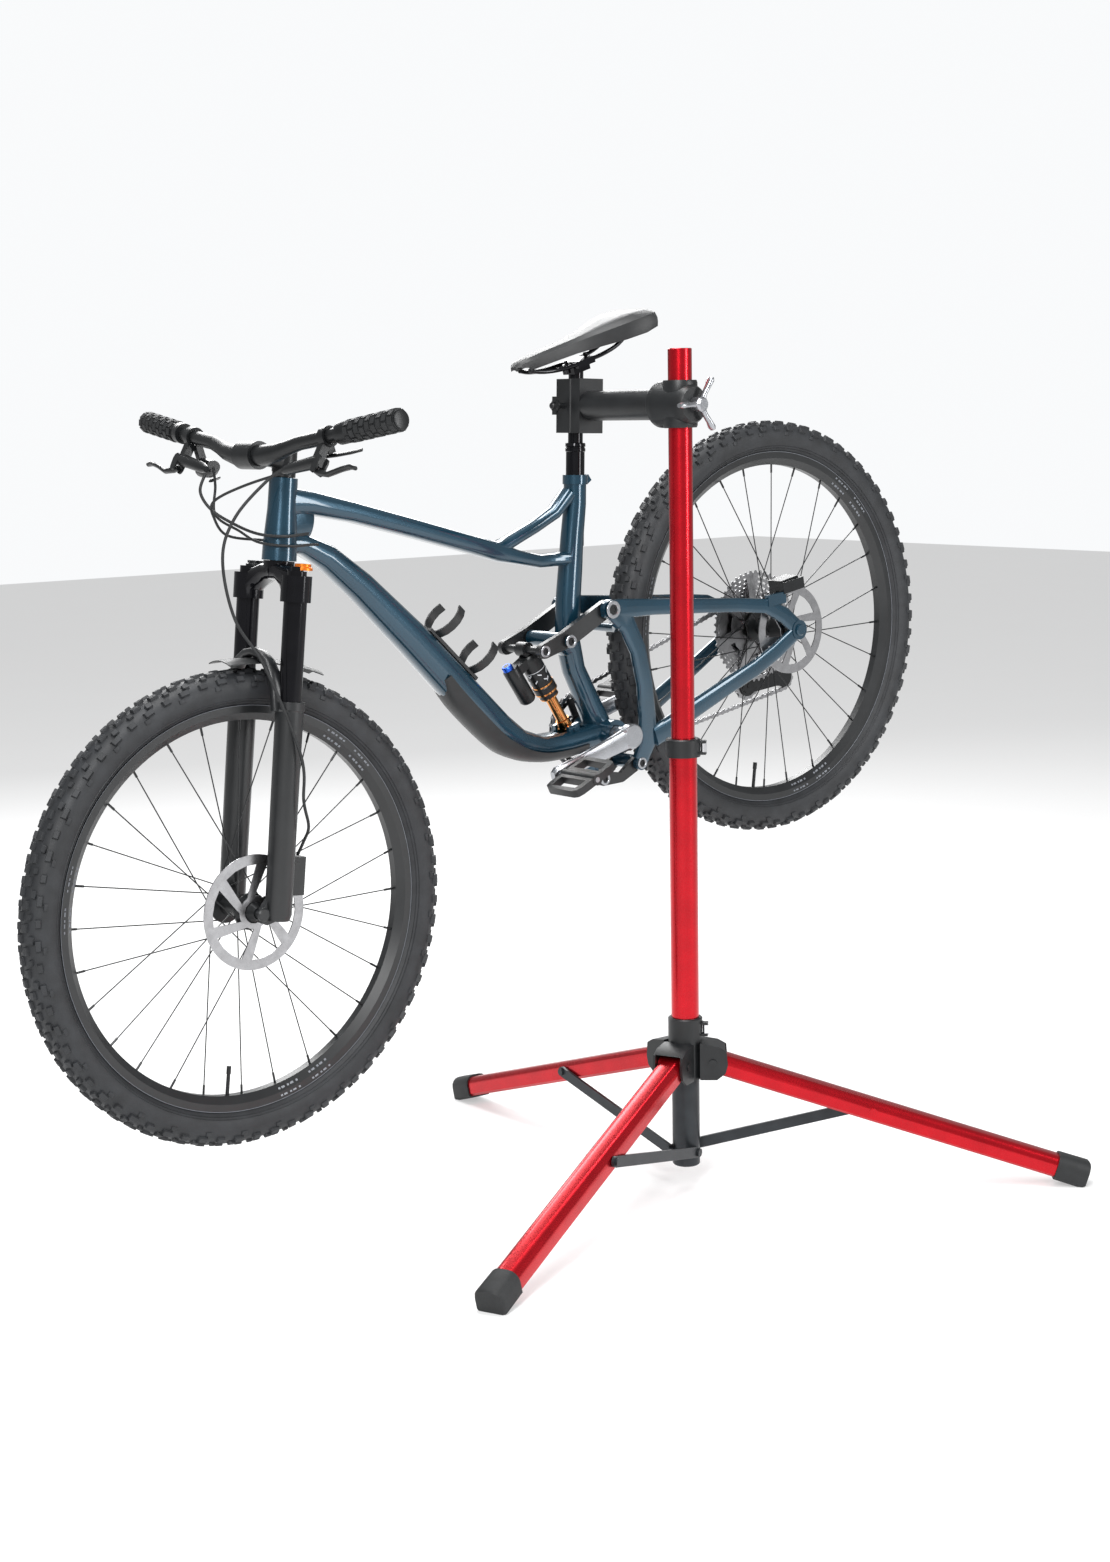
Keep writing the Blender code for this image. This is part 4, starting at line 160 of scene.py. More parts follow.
def surface(
    name, colour, metallic=0.0, rough=0.5, spread=0.15, scale=60.0, grain=400.0, bump=0.1, depth=0.0002,
    coat=0.0, coat_rough=0.05, stretch=(1, 1, 1), sheen=0.0
):
    """A material whose colour and roughness wander a little and whose surface has a fine grain."""
    m = bpy.data.materials.new(name)
    m.use_nodes = True
    tree = m.node_tree
    b = tree.nodes["Principled BSDF"]
    b.inputs["Metallic"].default_value = metallic
    b.inputs["Coat Weight"].default_value = coat
    b.inputs["Coat Roughness"].default_value = coat_rough
    b.inputs["Sheen Weight"].default_value = sheen
    place = tree.nodes.new("ShaderNodeTexCoord")
    warp = tree.nodes.new("ShaderNodeMapping")
    warp.inputs["Scale"].default_value = stretch
    tree.links.new(place.outputs["Object"], warp.inputs["Vector"])
    wide = tree.nodes.new("ShaderNodeTexNoise")
    wide.inputs["Scale"].default_value = scale
    wide.inputs["Detail"].default_value = 4
    fine = tree.nodes.new("ShaderNodeTexNoise")
    fine.inputs["Scale"].default_value = grain
    fine.inputs["Detail"].default_value = 3
    for n in (wide, fine):
        tree.links.new(warp.outputs["Vector"], n.inputs["Vector"])
    tint = tree.nodes.new("ShaderNodeValToRGB")
    tint.color_ramp.elements[0].position, tint.color_ramp.elements[1].position = 0.3, 0.7
    tint.color_ramp.elements[0].color = *[c * (1 - spread) for c in colour], 1
    tint.color_ramp.elements[1].color = *[min(1, c * (1 + spread)) for c in colour], 1
    tree.links.new(wide.outputs["Fac"], tint.inputs["Fac"])
    tree.links.new(tint.outputs["Color"], b.inputs["Base Color"])
    ramp = tree.nodes.new("ShaderNodeMapRange")
    ramp.inputs["From Min"].default_value, ramp.inputs["From Max"].default_value = 0.3, 0.7
    ramp.inputs["To Min"].default_value, ramp.inputs["To Max"].default_value = rough * 0.85, min(
        1, rough * 1.18
    )
    tree.links.new(fine.outputs["Fac"], ramp.inputs["Value"])
    tree.links.new(ramp.outputs["Result"], b.inputs["Roughness"])
    lift = tree.nodes.new("ShaderNodeBump")
    lift.inputs["Strength"].default_value = bump
    lift.inputs["Distance"].default_value = depth
    tree.links.new(fine.outputs["Fac"], lift.inputs["Height"])
    tree.links.new(lift.outputs["Normal"], b.inputs["Normal"])
    return m


RED = surface(
    "red_anodised_metal", (0.5, 0.004, 0.012), 0.85, 0.27, 0.1, 25, 900, 0.05, coat=0.25, coat_rough=0.1
)
CAST = surface("powder_coated_casting", (0.009, 0.01, 0.011), 0.1, 0.4, 0.2, 40, 1500, 0.25)
CHARCOAL = surface("charcoal_anodised", (0.03, 0.034, 0.038), 0.6, 0.36, 0.15, 40, 900, 0.08)
BLACK = surface("satin_black_metal", (0.01, 0.011, 0.012), 0.3, 0.34, 0.2, 50, 1200, 0.08)
SATIN = surface(
    "satin_black_paint", (0.008, 0.009, 0.01), 0.0, 0.36, 0.2, 30, 1400, 0.06, coat=0.2, coat_rough=0.3
)
PLASTIC = surface("moulded_black", (0.01, 0.011, 0.012), 0.0, 0.45, 0.2, 50, 1800, 0.3)
GLOSS = surface("black_gloss_anodised", (0.008, 0.008, 0.01), 0.5, 0.1, 0.2, 30, 700, 0.01)
RUBBER = surface("black_rubber", (0.01, 0.011, 0.012), 0.0, 0.62, 0.25, 60, 900, 0.4)
TYRE = surface("tyre_rubber", (0.016, 0.0175, 0.02), 0.0, 0.58, 0.3, 40, 700, 0.45, 0.0003)
STEEL = surface("brushed_steel", (0.36, 0.36, 0.37), 1.0, 0.3, 0.12, 80, 900, 0.12)
SILVER = surface("silver_anodised", (0.38, 0.39, 0.41), 0.95, 0.26, 0.06, 60, 1000, 0.06)
CHROME = surface("polished_metal", (0.75, 0.75, 0.77), 1.0, 0.12, 0.05, 60, 500, 0.02)
BLUE = surface(
    "petrol_blue_paint", (0.005, 0.04, 0.07), 0.5, 0.26, 0.12, 12, 2600, 0.06, 0.0001, coat=0.9,
    coat_rough=0.06
)
COPPER = surface("copper_coated_shaft", (0.62, 0.27, 0.09), 1.0, 0.16, 0.08, 60, 600, 0.02)
ORANGE = surface("orange_anodised", (0.85, 0.22, 0.02), 0.7, 0.28, 0.08, 60, 900, 0.05)
WHITE = surface("pale_decal", (0.55, 0.57, 0.6), 0.1, 0.35, 0.05, 60, 900, 0.03)
GREY = surface("grey_decal", (0.16, 0.17, 0.19), 0.1, 0.35, 0.05, 60, 900, 0.03)
KNOB_BLUE = surface("blue_anodised", (0.02, 0.1, 0.55), 0.8, 0.25, 0.08, 60, 900, 0.03)

FINISH = {
    "centre_post": CHARCOAL, "brace_front": CHARCOAL, "brace_left": CHARCOAL, "brace_right": CHARCOAL,
    "collar_lever": CHROME, "hub_lever": CHROME, "saddle": PLASTIC, "bottle_cage": PLASTIC,
    "front_tyre": TYRE, "rear_tyre": TYRE, "fork_lowers": SATIN, "rocker_link": SATIN,
    "lower_link": SATIN, "front_brake_hose": RUBBER, "rear_hose_pair": RUBBER, "dropper_cable": RUBBER,
    "mudguard": PLASTIC, "pedal_left": PLASTIC, "pedal_right": PLASTIC, "front_rim": SATIN,
    "rear_rim": SATIN
}

# ---------------------------------------------------------------- solids as bmesh


def finish(bm):
    bmesh.ops.recalc_face_normals(bm, faces=bm.faces)
    if bm.calc_volume(signed=True) < 0:
        bmesh.ops.reverse_faces(bm, faces=bm.faces)
    return bm


def loft(rings, loop=False):
    """Rings of equal length joined into one closed solid. A ring of one point is a tip.

    loop joins the last ring to the first.
    """
    bm = bmesh.new()
    rows = [[bm.verts.new(p) for p in ring] for ring in rings]
    pairs = list(zip(rows, rows[1:] + rows[:1])) if loop else list(zip(rows, rows[1:]))
    for a, b in pairs:
        n = max(len(a), len(b))
        for i in range(n):
            j = (i + 1) % n
            if len(a) == 1:
                bm.faces.new((a[0], b[j], b[i]))
            elif len(b) == 1:
                bm.faces.new((a[i], a[j], b[0]))
            else:
                bm.faces.new((a[i], a[j], b[j], b[i]))
    if not loop:
        if len(rows[0]) > 1:
            bm.faces.new(rows[0][::-1])
        if len(rows[-1]) > 1:
            bm.faces.new(rows[-1])
    return finish(bm)


def across(axis):
    axis = Vector(axis).normalized()
    side = axis.cross(Vector((0, 1, 0)))
    if side.length < 0.2:
        side = axis.cross(Vector((0, 0, 1)))
    side.normalize()
    return side, axis.cross(side).normalized()


def circle(centre, axis, r, n, r2=None, first=None):
    """A ring about a centre. r lies along first, r2 across it."""
    axis = Vector(axis).normalized()
    if first is None:
        a, b = across(axis)
    else:
        a = (Vector(first) - axis * axis.dot(Vector(first))).normalized()
        b = axis.cross(a)
    r2 = r if r2 is None else r2
    centre = Vector(centre)
    n *= FINE
    return [
        centre + a * (r * math.cos(2 * math.pi * (i + 0.5) / n)) + b * (
            r2 * math.sin(2 * math.pi * (i + 0.5) / n)
        ) for i in range(n)
    ]


def rod(p, q, r, n=16, r_end=None):
    axis = Vector(q) - Vector(p)
    return loft([circle(p, axis, r, n), circle(q, axis, r if r_end is None else r_end, n)])


def turned(base, axis, profile, n=32):
    """A solid of revolution. profile holds (radius, height along the axis); radius 0 is a tip.

    A first point equal to the last closes a ring.
    """
    base, axis = Vector(base), Vector(axis).normalized()
    closed = profile[0] == profile[-1]
    rows = profile[:-1] if closed else profile
    rings = [[base + axis * h] if r < 1e-9 else circle(base + axis * h, axis, r, n) for r, h in rows]
    return loft(rings, loop=closed)


def ring_solid(base, axis, r_in, r_out, h0, h1, n=32):
    return turned(base, axis, [(r_in, h0), (r_out, h0), (r_out, h1), (r_in, h1), (r_in, h0)], n)


def smooth_path(points, steps=6):
    """A Catmull-Rom curve through the points, which may carry extra numbers after the first three."""
    rows = [tuple(p) for p in points]
    rows = [rows[0]] + rows + [rows[-1]]
    out = []
    for k in range(1, len(rows) - 2):
        a, b, c, d = rows[k - 1:k + 3]
        for i in range(steps):
            t = i / steps
            out.append(
                tuple(
                    (
                        0.5 * (
                            2 * b[j] + (c[j] - a[j]) * t + (
                                2 * a[j] - 5 * b[j] + 4 * c[j] - d[j]
                            ) * t * t + (3 * b[j] - a[j] - 3 * c[j] + d[j]) * t ** 3
                        ) for j in range(len(b))
                    )
                )
            )
    out.append(rows[-2])
    return out


def sweep(rows, n=12, side=Y, power=2.0):
    """A solid along rows of (x, y, z, half height, half width). Half width lies along side."""
    n *= FINE
    points = [Vector(r[:3]) for r in rows]
    rings = []
    side = Vector(side)
    for k, p in enumerate(points):
        along = (points[min(k + 1, len(points) - 1)] - points[max(k - 1, 0)]).normalized()
        s = (side - along * along.dot(side)).normalized()
        up = s.cross(along)
        hh, hw = rows[k][3], rows[k][4]
        ring = []
        for i in range(n):
            t = 2 * math.pi * (i + 0.5) / n
            c, q = math.cos(t), math.sin(t)
            c = math.copysign(abs(c) ** (2 / power), c)
            q = math.copysign(abs(q) ** (2 / power), q)
            ring.append(p + s * (hw * c) + up * (hh * q))
        rings.append(ring)
    return loft(rings)


def tube(points, r, n=8, steps=5):
    """A round cable through the points, without twist."""
    path = [Vector(p) for p in smooth_path(points, steps * FINE)]
    rings = []
    side = None
    for k, p in enumerate(path):
        along = (path[min(k + 1, len(path) - 1)] - path[max(k - 1, 0)]).normalized()
        side = across(along)[0] if side is None else (side - along * along.dot(side)).normalized()
        rings.append(circle(p, along, r, n, first=side))
    return loft(rings)


def prism(outline, origin, a, b, h0, h1, holes=()):
    """A flat plate: outline in the (a, b) plane at origin, from h0 to h1 along a x b."""
    origin, a, b = Vector(origin), Vector(a).normalized(), Vector(b).normalized()
    normal = a.cross(b).normalized()
    loops = [list(outline)] + [list(h) for h in holes]
    flat = [Vector((x, y, 0)) for loop in loops for x, y in loop]
    tris = tessellate_polygon([[Vector((x, y, 0)) for x, y in loop] for loop in loops])
    bm = bmesh.new()
    low = [bm.verts.new(origin + a * p.x + b * p.y + normal * h0) for p in flat]
    high = [bm.verts.new(origin + a * p.x + b * p.y + normal * h1) for p in flat]
    for t in tris:
        bm.faces.new([low[i] for i in t])
        bm.faces.new([high[i] for i in reversed(t)])
    start = 0
    for loop in loops:
        n = len(loop)
        for i in range(n):
            j = (i + 1) % n
            bm.faces.new((low[start + i], low[start + j], high[start + j], high[start + i]))
        start += n
    bmesh.ops.dissolve_degenerate(bm, edges=bm.edges, dist=1e-6)
    return finish(bm)


def block(centre, a, b, ha, hb, hc):
    """A box by its centre, two directions and half sizes; the third direction is a x b."""
    return prism([(-ha, -hb), (ha, -hb), (ha, hb), (-ha, hb)], centre, a, b, -hc, hc)


def disc(r, n=24, x=0.0, y=0.0):
    return [
        (x + r * math.cos(2 * math.pi * i / n), y + r * math.sin(2 * math.pi * i / n)) for i in range(n)
    ]


def slot(p, q, rp, rq, n=16):
    """The outline around two circles."""
    p, q = Vector(p), Vector(q)
    base = math.atan2(q.y - p.y, q.x - p.x)
    lean = math.acos(max(-1, min(1, (rp - rq) / (q - p).length)))
    out = []
    for i in range(n + 1):
        t = base + lean + (2 * math.pi - 2 * lean) * i / n
        out.append((p.x + rp * math.cos(t), p.y + rp * math.sin(t)))
    for i in range(n + 1):
        t = base - lean + 2 * lean * i / n
        out.append((q.x + rq * math.cos(t), q.y + rq * math.sin(t)))
    return out


def merge(parts):
    """Meshes that don't meet, as one operand."""
    bm = bmesh.new()
    for part in parts:
        me = bpy.data.meshes.new("tmp")
        part.to_mesh(me)
        bm.from_mesh(me)
        bpy.data.meshes.remove(me)
        part.free()
    return bm


def as_object(bm, name, mat=None):
    me = bpy.data.meshes.new(name)
    bmesh.ops.triangulate(bm, faces=bm.faces)
    bm.to_mesh(me)
    bm.free()
    obj = bpy.data.objects.new(name, me)
    bpy.context.collection.objects.link(obj)
    if mat:
        me.materials.append(mat)
    return obj


def boolean(bm, others, operation):
    """One operand at a time, with the seams cleaned after each."""
    for other in others:
        base, tool = as_object(bm, "base"), as_object(other, "tool")
        tool.hide_render = True
        tool.display_type = "WIRE"
        mod = base.modifiers.new("b", "BOOLEAN")
        mod.operation = operation
        mod.solver = "EXACT"
        mod.object = tool
        bpy.context.view_layer.update()
        done = bpy.data.meshes.new_from_object(base.evaluated_get(bpy.context.evaluated_depsgraph_get()))
        bpy.data.objects.remove(tool, do_unlink=True)
        bpy.data.objects.remove(base, do_unlink=True)
        bm = bmesh.new()
        bm.from_mesh(done)
        bmesh.ops.remove_doubles(bm, verts=bm.verts, dist=2e-06)
        bmesh.ops.dissolve_degenerate(bm, edges=bm.edges, dist=1e-6)
        bmesh.ops.dissolve_limit(bm, angle_limit=math.radians(0.05), verts=bm.verts, edges=bm.edges)
    return bm


def join(bm, *others):
    return boolean(bm, others, "UNION")


def cut(bm, *others):
    return boolean(bm, others, "DIFFERENCE")


BODY_OF = {
    node: body for body, nodes in packed["record"]["behaviour"]["bodies"].items() for node in nodes
}
SLOT_OF = {row["node"]: row["material_slot"] for row in packed["record"]["subparts"]}


SIDES = {-1: "left", 1: "right"}


def smooth(me, angle=34.0):
    """Soft shading, with the edges that really turn kept sharp."""
    bm = bmesh.new()
    bm.from_mesh(me)
    bmesh.ops.dissolve_limit(bm, angle_limit=math.radians(0.3), verts=bm.verts, edges=bm.edges)
    bmesh.ops.triangulate(bm, faces=bm.faces)
    for f in bm.faces:
        f.smooth = True
    for e in bm.edges:
        e.smooth = not (len(e.link_faces) != 2 or e.calc_face_angle(0.0) > math.radians(angle))
    bm.to_mesh(me)
    bm.free()


def add(name, bm, mat, body, slot_name, node=None, angle=34.0):
    """A finished piece that rides on a body."""
    me = bpy.data.meshes.new(name)
    finish(bm)
    bm.to_mesh(me)
    bm.free()
    smooth(me, angle)
    me.materials.append(mat)
    obj = bpy.data.objects.new(name, me)
    bpy.context.scene.collection.objects.link(obj)
    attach(obj, body)
    if node:
        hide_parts(node)
    return obj


def part(name, bm, mat):
    """The piece that stands for a CAD node."""
    return add(name + ".look", bm, FINISH.get(name, mat), BODY_OF[name], SLOT_OF[name], name)


def extra(name, bm, mat, like, angle=34.0):
    """An added detail on the same body as a CAD node."""
    return add(name, bm, mat, BODY_OF[like], SLOT_OF[like], None, angle)


# ================================================================ stand
mast = S(*MAST, 0)

# black centre post with a spigot up into the red tube, and an ear beside each leg's plane for its brace
post = turned(
    mast, Z,
    [
        (0, POST_BOTTOM), (0.021, POST_BOTTOM), (LOWER_R, POST_BOTTOM + 0.002),
        (LOWER_R, LOWER_BOTTOM - GAP), (UPPER_R + 0.0002, LOWER_BOTTOM - GAP), (UPPER_R + 0.0002, 0.33),
        (0, 0.33)
    ], 20
)


def leg_axes(azimuth):
    t = math.radians(azimuth)
    return Vector((math.cos(t), math.sin(t), 0)), Vector((-math.sin(t), math.cos(t), 0))


SIDE = LEG_W / 2 + 0.0012 + BRACE_T / 2  # the brace lies beside its leg
for azimuth in LEG_AZIMUTHS.values():
    out, left = leg_axes(azimuth)
    pin = mast + out * BRACE_PIVOT_R + Z * BRACE_PIVOT_Z
    stub = rod(pin + left * 0.012, pin + left * (SIDE + BRACE_T / 2 + 0.001), 0.004, 10)
    head = rod(
        pin + left * (SIDE + BRACE_T / 2 + 0.0005), pin + left * (SIDE + BRACE_T / 2 + 0.0035), 0.007, 10
    )
    shoulder = rod(pin + left * 0.012, pin + left * (SIDE - BRACE_T / 2 - 0.0004), 0.0085, 10)
    post = join(post, shoulder, stub, head)
part("centre_post", post, CAST)

part(
    "lower_mast", ring_solid(mast, Z, UPPER_R + 0.0005, LOWER_R, LOWER_BOTTOM, LOWER_TOP - 0.01, 20), RED
)

part(
    "upper_mast",
    turned(
        mast, Z,
        [
            (0, UPPER_TOP - 0.004), (UPPER_R - UPPER_WALL, UPPER_TOP - 0.004),
            (UPPER_R - UPPER_WALL, UPPER_BOTTOM), (UPPER_R, UPPER_BOTTOM), (UPPER_R, UPPER_TOP - 0.001),
            (UPPER_R - 0.001, UPPER_TOP), (0, UPPER_TOP)
        ], 20
    ), RED
)

# the collar's lower half grips the lower tube and its upper half guides the upper one
FACE_ANGLE = math.radians(-50)  # where both quick-release levers sit
FACE = Vector((math.cos(FACE_ANGLE), math.sin(FACE_ANGLE), 0))
FACE_SIDE = Z.cross(FACE)
COLLAR_R = 0.0285
collar = turned(
    mast, Z,
    [
        (LOWER_R + GAP, COLLAR_LOW), (COLLAR_R, COLLAR_LOW), (COLLAR_R, COLLAR_HIGH - 0.002),
        (COLLAR_R - 0.002, COLLAR_HIGH), (UPPER_R + 0.0005, COLLAR_HIGH),
        (UPPER_R + 0.0005, LOWER_TOP - 0.0097), (LOWER_R + GAP, LOWER_TOP - 0.0097),
        (LOWER_R + GAP, COLLAR_LOW)
    ], 20
)


def lever_boss(z, r):
    """Two ears with the lever's pin between them, on the collar's side."""
    centre = mast + Z * z + FACE * (r + 0.0035)
    return [
        block(centre + Z * 0.0095, FACE, FACE_SIDE, 0.006, 0.0065, 0.002),
        block(centre - Z * 0.0095, FACE, FACE_SIDE, 0.006, 0.0065, 0.002),
        rod(centre - Z * 0.0085 + FACE * 0.002, centre + Z * 0.0085 + FACE * 0.002, 0.0022, 10)
    ]


def lever(z, r):
    """The cam lever: an eye on the pin and an arm that hugs the collar."""
    pin = mast + Z * z + FACE * (r + 0.0055)
    eye = turned(
        pin, Z, [(0.0026, -0.007), (0.005, -0.007), (0.005, 0.007), (0.0026, 0.007), (0.0026, -0.007)], 10
    )
    start = math.atan2(FACE.y, FACE.x)
    rows = []
    for i in range(7):
        t = start + math.radians(7 + 10 * i)
        rr = r + 0.006 + 0.0006 * i
        p = mast + Z * z + Vector((math.cos(t), math.sin(t), 0)) * rr
        rows.append((*p, 0.0028 if i else 0.0022, 0.0068 if i < 6 else 0.005))
    return join(eye, sweep(rows, 8, side=Z, power=3.0)), pin


collar = join(collar, *lever_boss((COLLAR_LOW + COLLAR_HIGH) / 2, COLLAR_R))
part("mast_collar", collar, CAST)
solid, pin = lever((COLLAR_LOW + COLLAR_HIGH) / 2, COLLAR_R)
part("collar_lever", solid, SILVER)

# the hub casting: a sleeve that slides on the mast, a clamp collar on top and a hood over each leg
SLEEVE_R = LOWER_R + 0.0006
HUB_R = 0.0285
SLOT = LEG_W / 2 + 0.0006
hub = turned(
    mast, Z,
    [
        (SLEEVE_R, HUB_LOW), (HUB_R, HUB_LOW), (HUB_R, HUB_COLLAR - 0.002), (HUB_R - 0.002, HUB_COLLAR),
        (SLEEVE_R, HUB_COLLAR), (SLEEVE_R, HUB_LOW)
    ], 20
)
hoods, slots, pins = [], [], []
for azimuth in LEG_AZIMUTHS.values():
    out, left = leg_axes(azimuth)
    profile = [
        (0.024, HUB_LOW + 0.001), (0.052, HUB_LOW + 0.001), (0.066, HUB_LOW + 0.012),
        (0.07, HUB_LOW + 0.026), (0.068, HUB_HIGH - 0.009), (0.054, HUB_HIGH - 0.001),
        (0.024, HUB_HIGH + 0.004)
    ]
    hoods.append(prism(profile, mast, out, Z, -(SLOT + 0.0042), SLOT + 0.0042))
    slots.append(
        prism(
            [
                (0.0262, HUB_LOW - 0.01), (0.09, HUB_LOW - 0.01), (0.09, HUB_PIVOT_Z + 0.021),
                (0.0262, HUB_PIVOT_Z + 0.021)
            ], mast, out, Z, -SLOT, SLOT
        )
    )
    pin = mast + out * HUB_PIVOT_R + Z * HUB_PIVOT_Z
    pins.append(rod(pin - left * (SLOT + 0.002), pin + left * (SLOT + 0.002), 0.004, 10))
    for way in (-1, 1):
        pins.append(
            rod(pin + left * way * (SLOT + 0.0035), pin + left * way * (SLOT + 0.0068), 0.0066, 8)
        )
hub = join(hub, *hoods)
hub = cut(hub, rod(mast + Z * 0.1, mast + Z * 0.35, SLEEVE_R, 20), *slots)
hub = join(hub, *pins)
hub = join(hub, *lever_boss((HUB_HIGH + HUB_COLLAR) / 2 + 0.002, HUB_R))
part("tripod_hub", hub, CAST)
solid, pin = lever((HUB_HIGH + HUB_COLLAR) / 2 + 0.002, HUB_R)
part("hub_lever", solid, SILVER)

# legs, their rubber feet and the flat braces
LEG_END_Z = 0.018
SLOPE = math.atan2(HUB_PIVOT_Z - LEG_END_Z, FOOT_R - HUB_PIVOT_R)
for name, azimuth in LEG_AZIMUTHS.items():
    out, left = leg_axes(azimuth)
    down = out * math.cos(SLOPE) - Z * math.sin(SLOPE)
    up = left.cross(-down).normalized()
    if up.z < 0:
        up = -up
    pivot = mast + out * HUB_PIVOT_R + Z * HUB_PIVOT_Z
    length = (FOOT_R - HUB_PIVOT_R) / math.cos(SLOPE)

    def section(at, w, h, n=4):
        """A D-shaped ring: flat underneath, arched on top."""
        p = pivot + down * at
        pts = []
        r = 0.42 * h
        for k in range(n + 1):
            t = math.pi / 2 * k / n
            pts.append((w / 2 - r + r * math.cos(t), h / 2 - r + r * math.sin(t)))
        for k in range(n + 1):
            t = math.pi / 2 + math.pi / 2 * k / n
            pts.append((-w / 2 + r + r * math.cos(t), h / 2 - r + r * math.sin(t)))
        q = 0.12 * h
        pts += [(-w / 2, -h / 2 + q), (-w / 2 + q, -h / 2), (w / 2 - q, -h / 2), (w / 2, -h / 2 + q)]
        return [p + left * x + up * y for x, y in pts]

    tube_end = length - 0.012
    rings = [section(0.0, LEG_W, LEG_H - 0.002), section(tube_end, LEG_W, LEG_H - 0.002)]
    leg = join(
        loft(rings),
        prism(disc(LEG_H / 2 - 0.0012, 24), pivot, down, up, -LEG_W / 2 + 0.001, LEG_W / 2 - 0.001)
    )
    leg = cut(leg, rod(pivot - left * 0.03, pivot + left * 0.03, 0.0044, 12))
    at = (BRACE_LEG_R - HUB_PIVOT_R) / math.cos(SLOPE)
    bolt = pivot + down * at
    leg = join(leg, rod(bolt - left * (LEG_W / 2 - 0.003), bolt - left * (LEG_W / 2 + 0.0022), 0.006, 12))
    part("leg_" + name, leg, RED)

    cap_from, cap_to = length - 0.05, length + 0.004
    wall = 0.0026
    shell = loft(
        [
            section(cap_from, LEG_W + 2 * wall, LEG_H + 2 * wall),
            section(cap_to - 0.004, LEG_W + 2 * wall + 0.001, LEG_H + 2 * wall + 0.001),
            section(cap_to, LEG_W + 2 * wall - 0.004, LEG_H + 2 * wall - 0.004)
        ]
    )
    cavity = loft(
        [
            section(cap_from - 0.01, LEG_W + 2 * GAP, LEG_H - 0.002 + 2 * GAP),
            section(tube_end + GAP, LEG_W + 2 * GAP, LEG_H - 0.002 + 2 * GAP)
        ]
    )
    floor = block(pivot + out * length + Z * (-pivot.z - 0.05), out, left, 0.2, 0.1, 0.05)
    part("foot_" + name, cut(shell, cavity, floor), RUBBER)

    inner = mast + out * BRACE_PIVOT_R + Z * BRACE_PIVOT_Z + left * SIDE
    outer = pivot + down * at + left * SIDE
    along = (outer - inner).normalized()
    over = along.cross(left).normalized()
    reach = (outer - inner).length
    bar = prism(
        slot((0, 0), (reach, 0), BRACE_H / 2, BRACE_H / 2, 8), inner, along, over, -BRACE_T / 2,
        BRACE_T / 2, holes=[disc(0.0044, 12)]
    )
    bar = join(
        bar, rod(outer + left * (BRACE_T / 2 - 0.001), outer + left * (BRACE_T / 2 + 0.0035), 0.0062, 10)
    )
    part("brace_" + name, bar, CAST)

# the head: a sleeve on the upper mast and a drum that carries the clamp's arm
arm_centre = mast + Z * ARM_Z
HEAD_R = 0.0375
ARM_R = 0.0245
sleeve = turned(
    mast, Z,
    [
        (0.0, HEAD_LOW), (0.0265, HEAD_LOW), (0.028, HEAD_LOW + 0.004), (0.028, HEAD_HIGH - 0.004),
        (0.0265, HEAD_HIGH), (0.0, HEAD_HIGH)
    ], 20
)
drum = turned(
    arm_centre, Y,
    [
        (0, -0.034), (0.027, -0.034), (0.031, -0.028), (0.033, -0.01), (0.035, 0.012),
        (HEAD_R - 0.0008, 0.026), (HEAD_R, 0.033), (0, 0.033)
    ], 24
)
head = join(sleeve, drum)
head = cut(head, rod(mast + Z * 1.2, mast + Z * 1.4, UPPER_R + GAP, 20))
part("clamp_head", head, CAST)

# three-armed tension knob on the camera side of the head
knob_face = arm_centre - Y * 0.0343
knob = turned(
    knob_face, -Y, [(0, 0), (0.011, 0), (0.012, 0.006), (0.012, 0.018), (0.009, 0.0215), (0, 0.0215)], 14
)
arms = []
for k in range(3):
    t = math.radians(62 + 120 * k)
    way = Vector((math.cos(t), 0, math.sin(t)))
    rows = [
        (*knob_face - Y * 0.013 + way * 0.006, 0.005, 0.006),
        (*knob_face - Y * 0.013 + way * 0.02, 0.0042, 0.0052),
        (*knob_face - Y * 0.015 + way * 0.033, 0.0045, 0.006),
        (*knob_face - Y * 0.015 + way * 0.042, 0.0052, 0.0078),
        (*knob_face - Y * 0.015 + way * 0.047, 0.0035, 0.0055)
    ]
    arms.append(sweep(rows, 8, side=Y))
part("head_knob", join(knob, *arms), SILVER)

# post axis, where the jaws close round the dropper's stanchion
post_down = D(POST_LOW[0] - POST_TOP[0], 0, POST_LOW[1] - POST_TOP[1])
post_top = W(POST_TOP[0], 0, POST_TOP[1])


def post_at(z):
    return post_top + post_down * ((post_top.z - z) / -post_down.z)


grip = post_at(ARM_Z)
post_x = Y.cross(-post_down).normalized()  # towards the rear of the bicycle, square to the post
if post_x.x < 0:
    post_x = -post_x
POST_R = 0.0125
JAW_HALF = 0.045
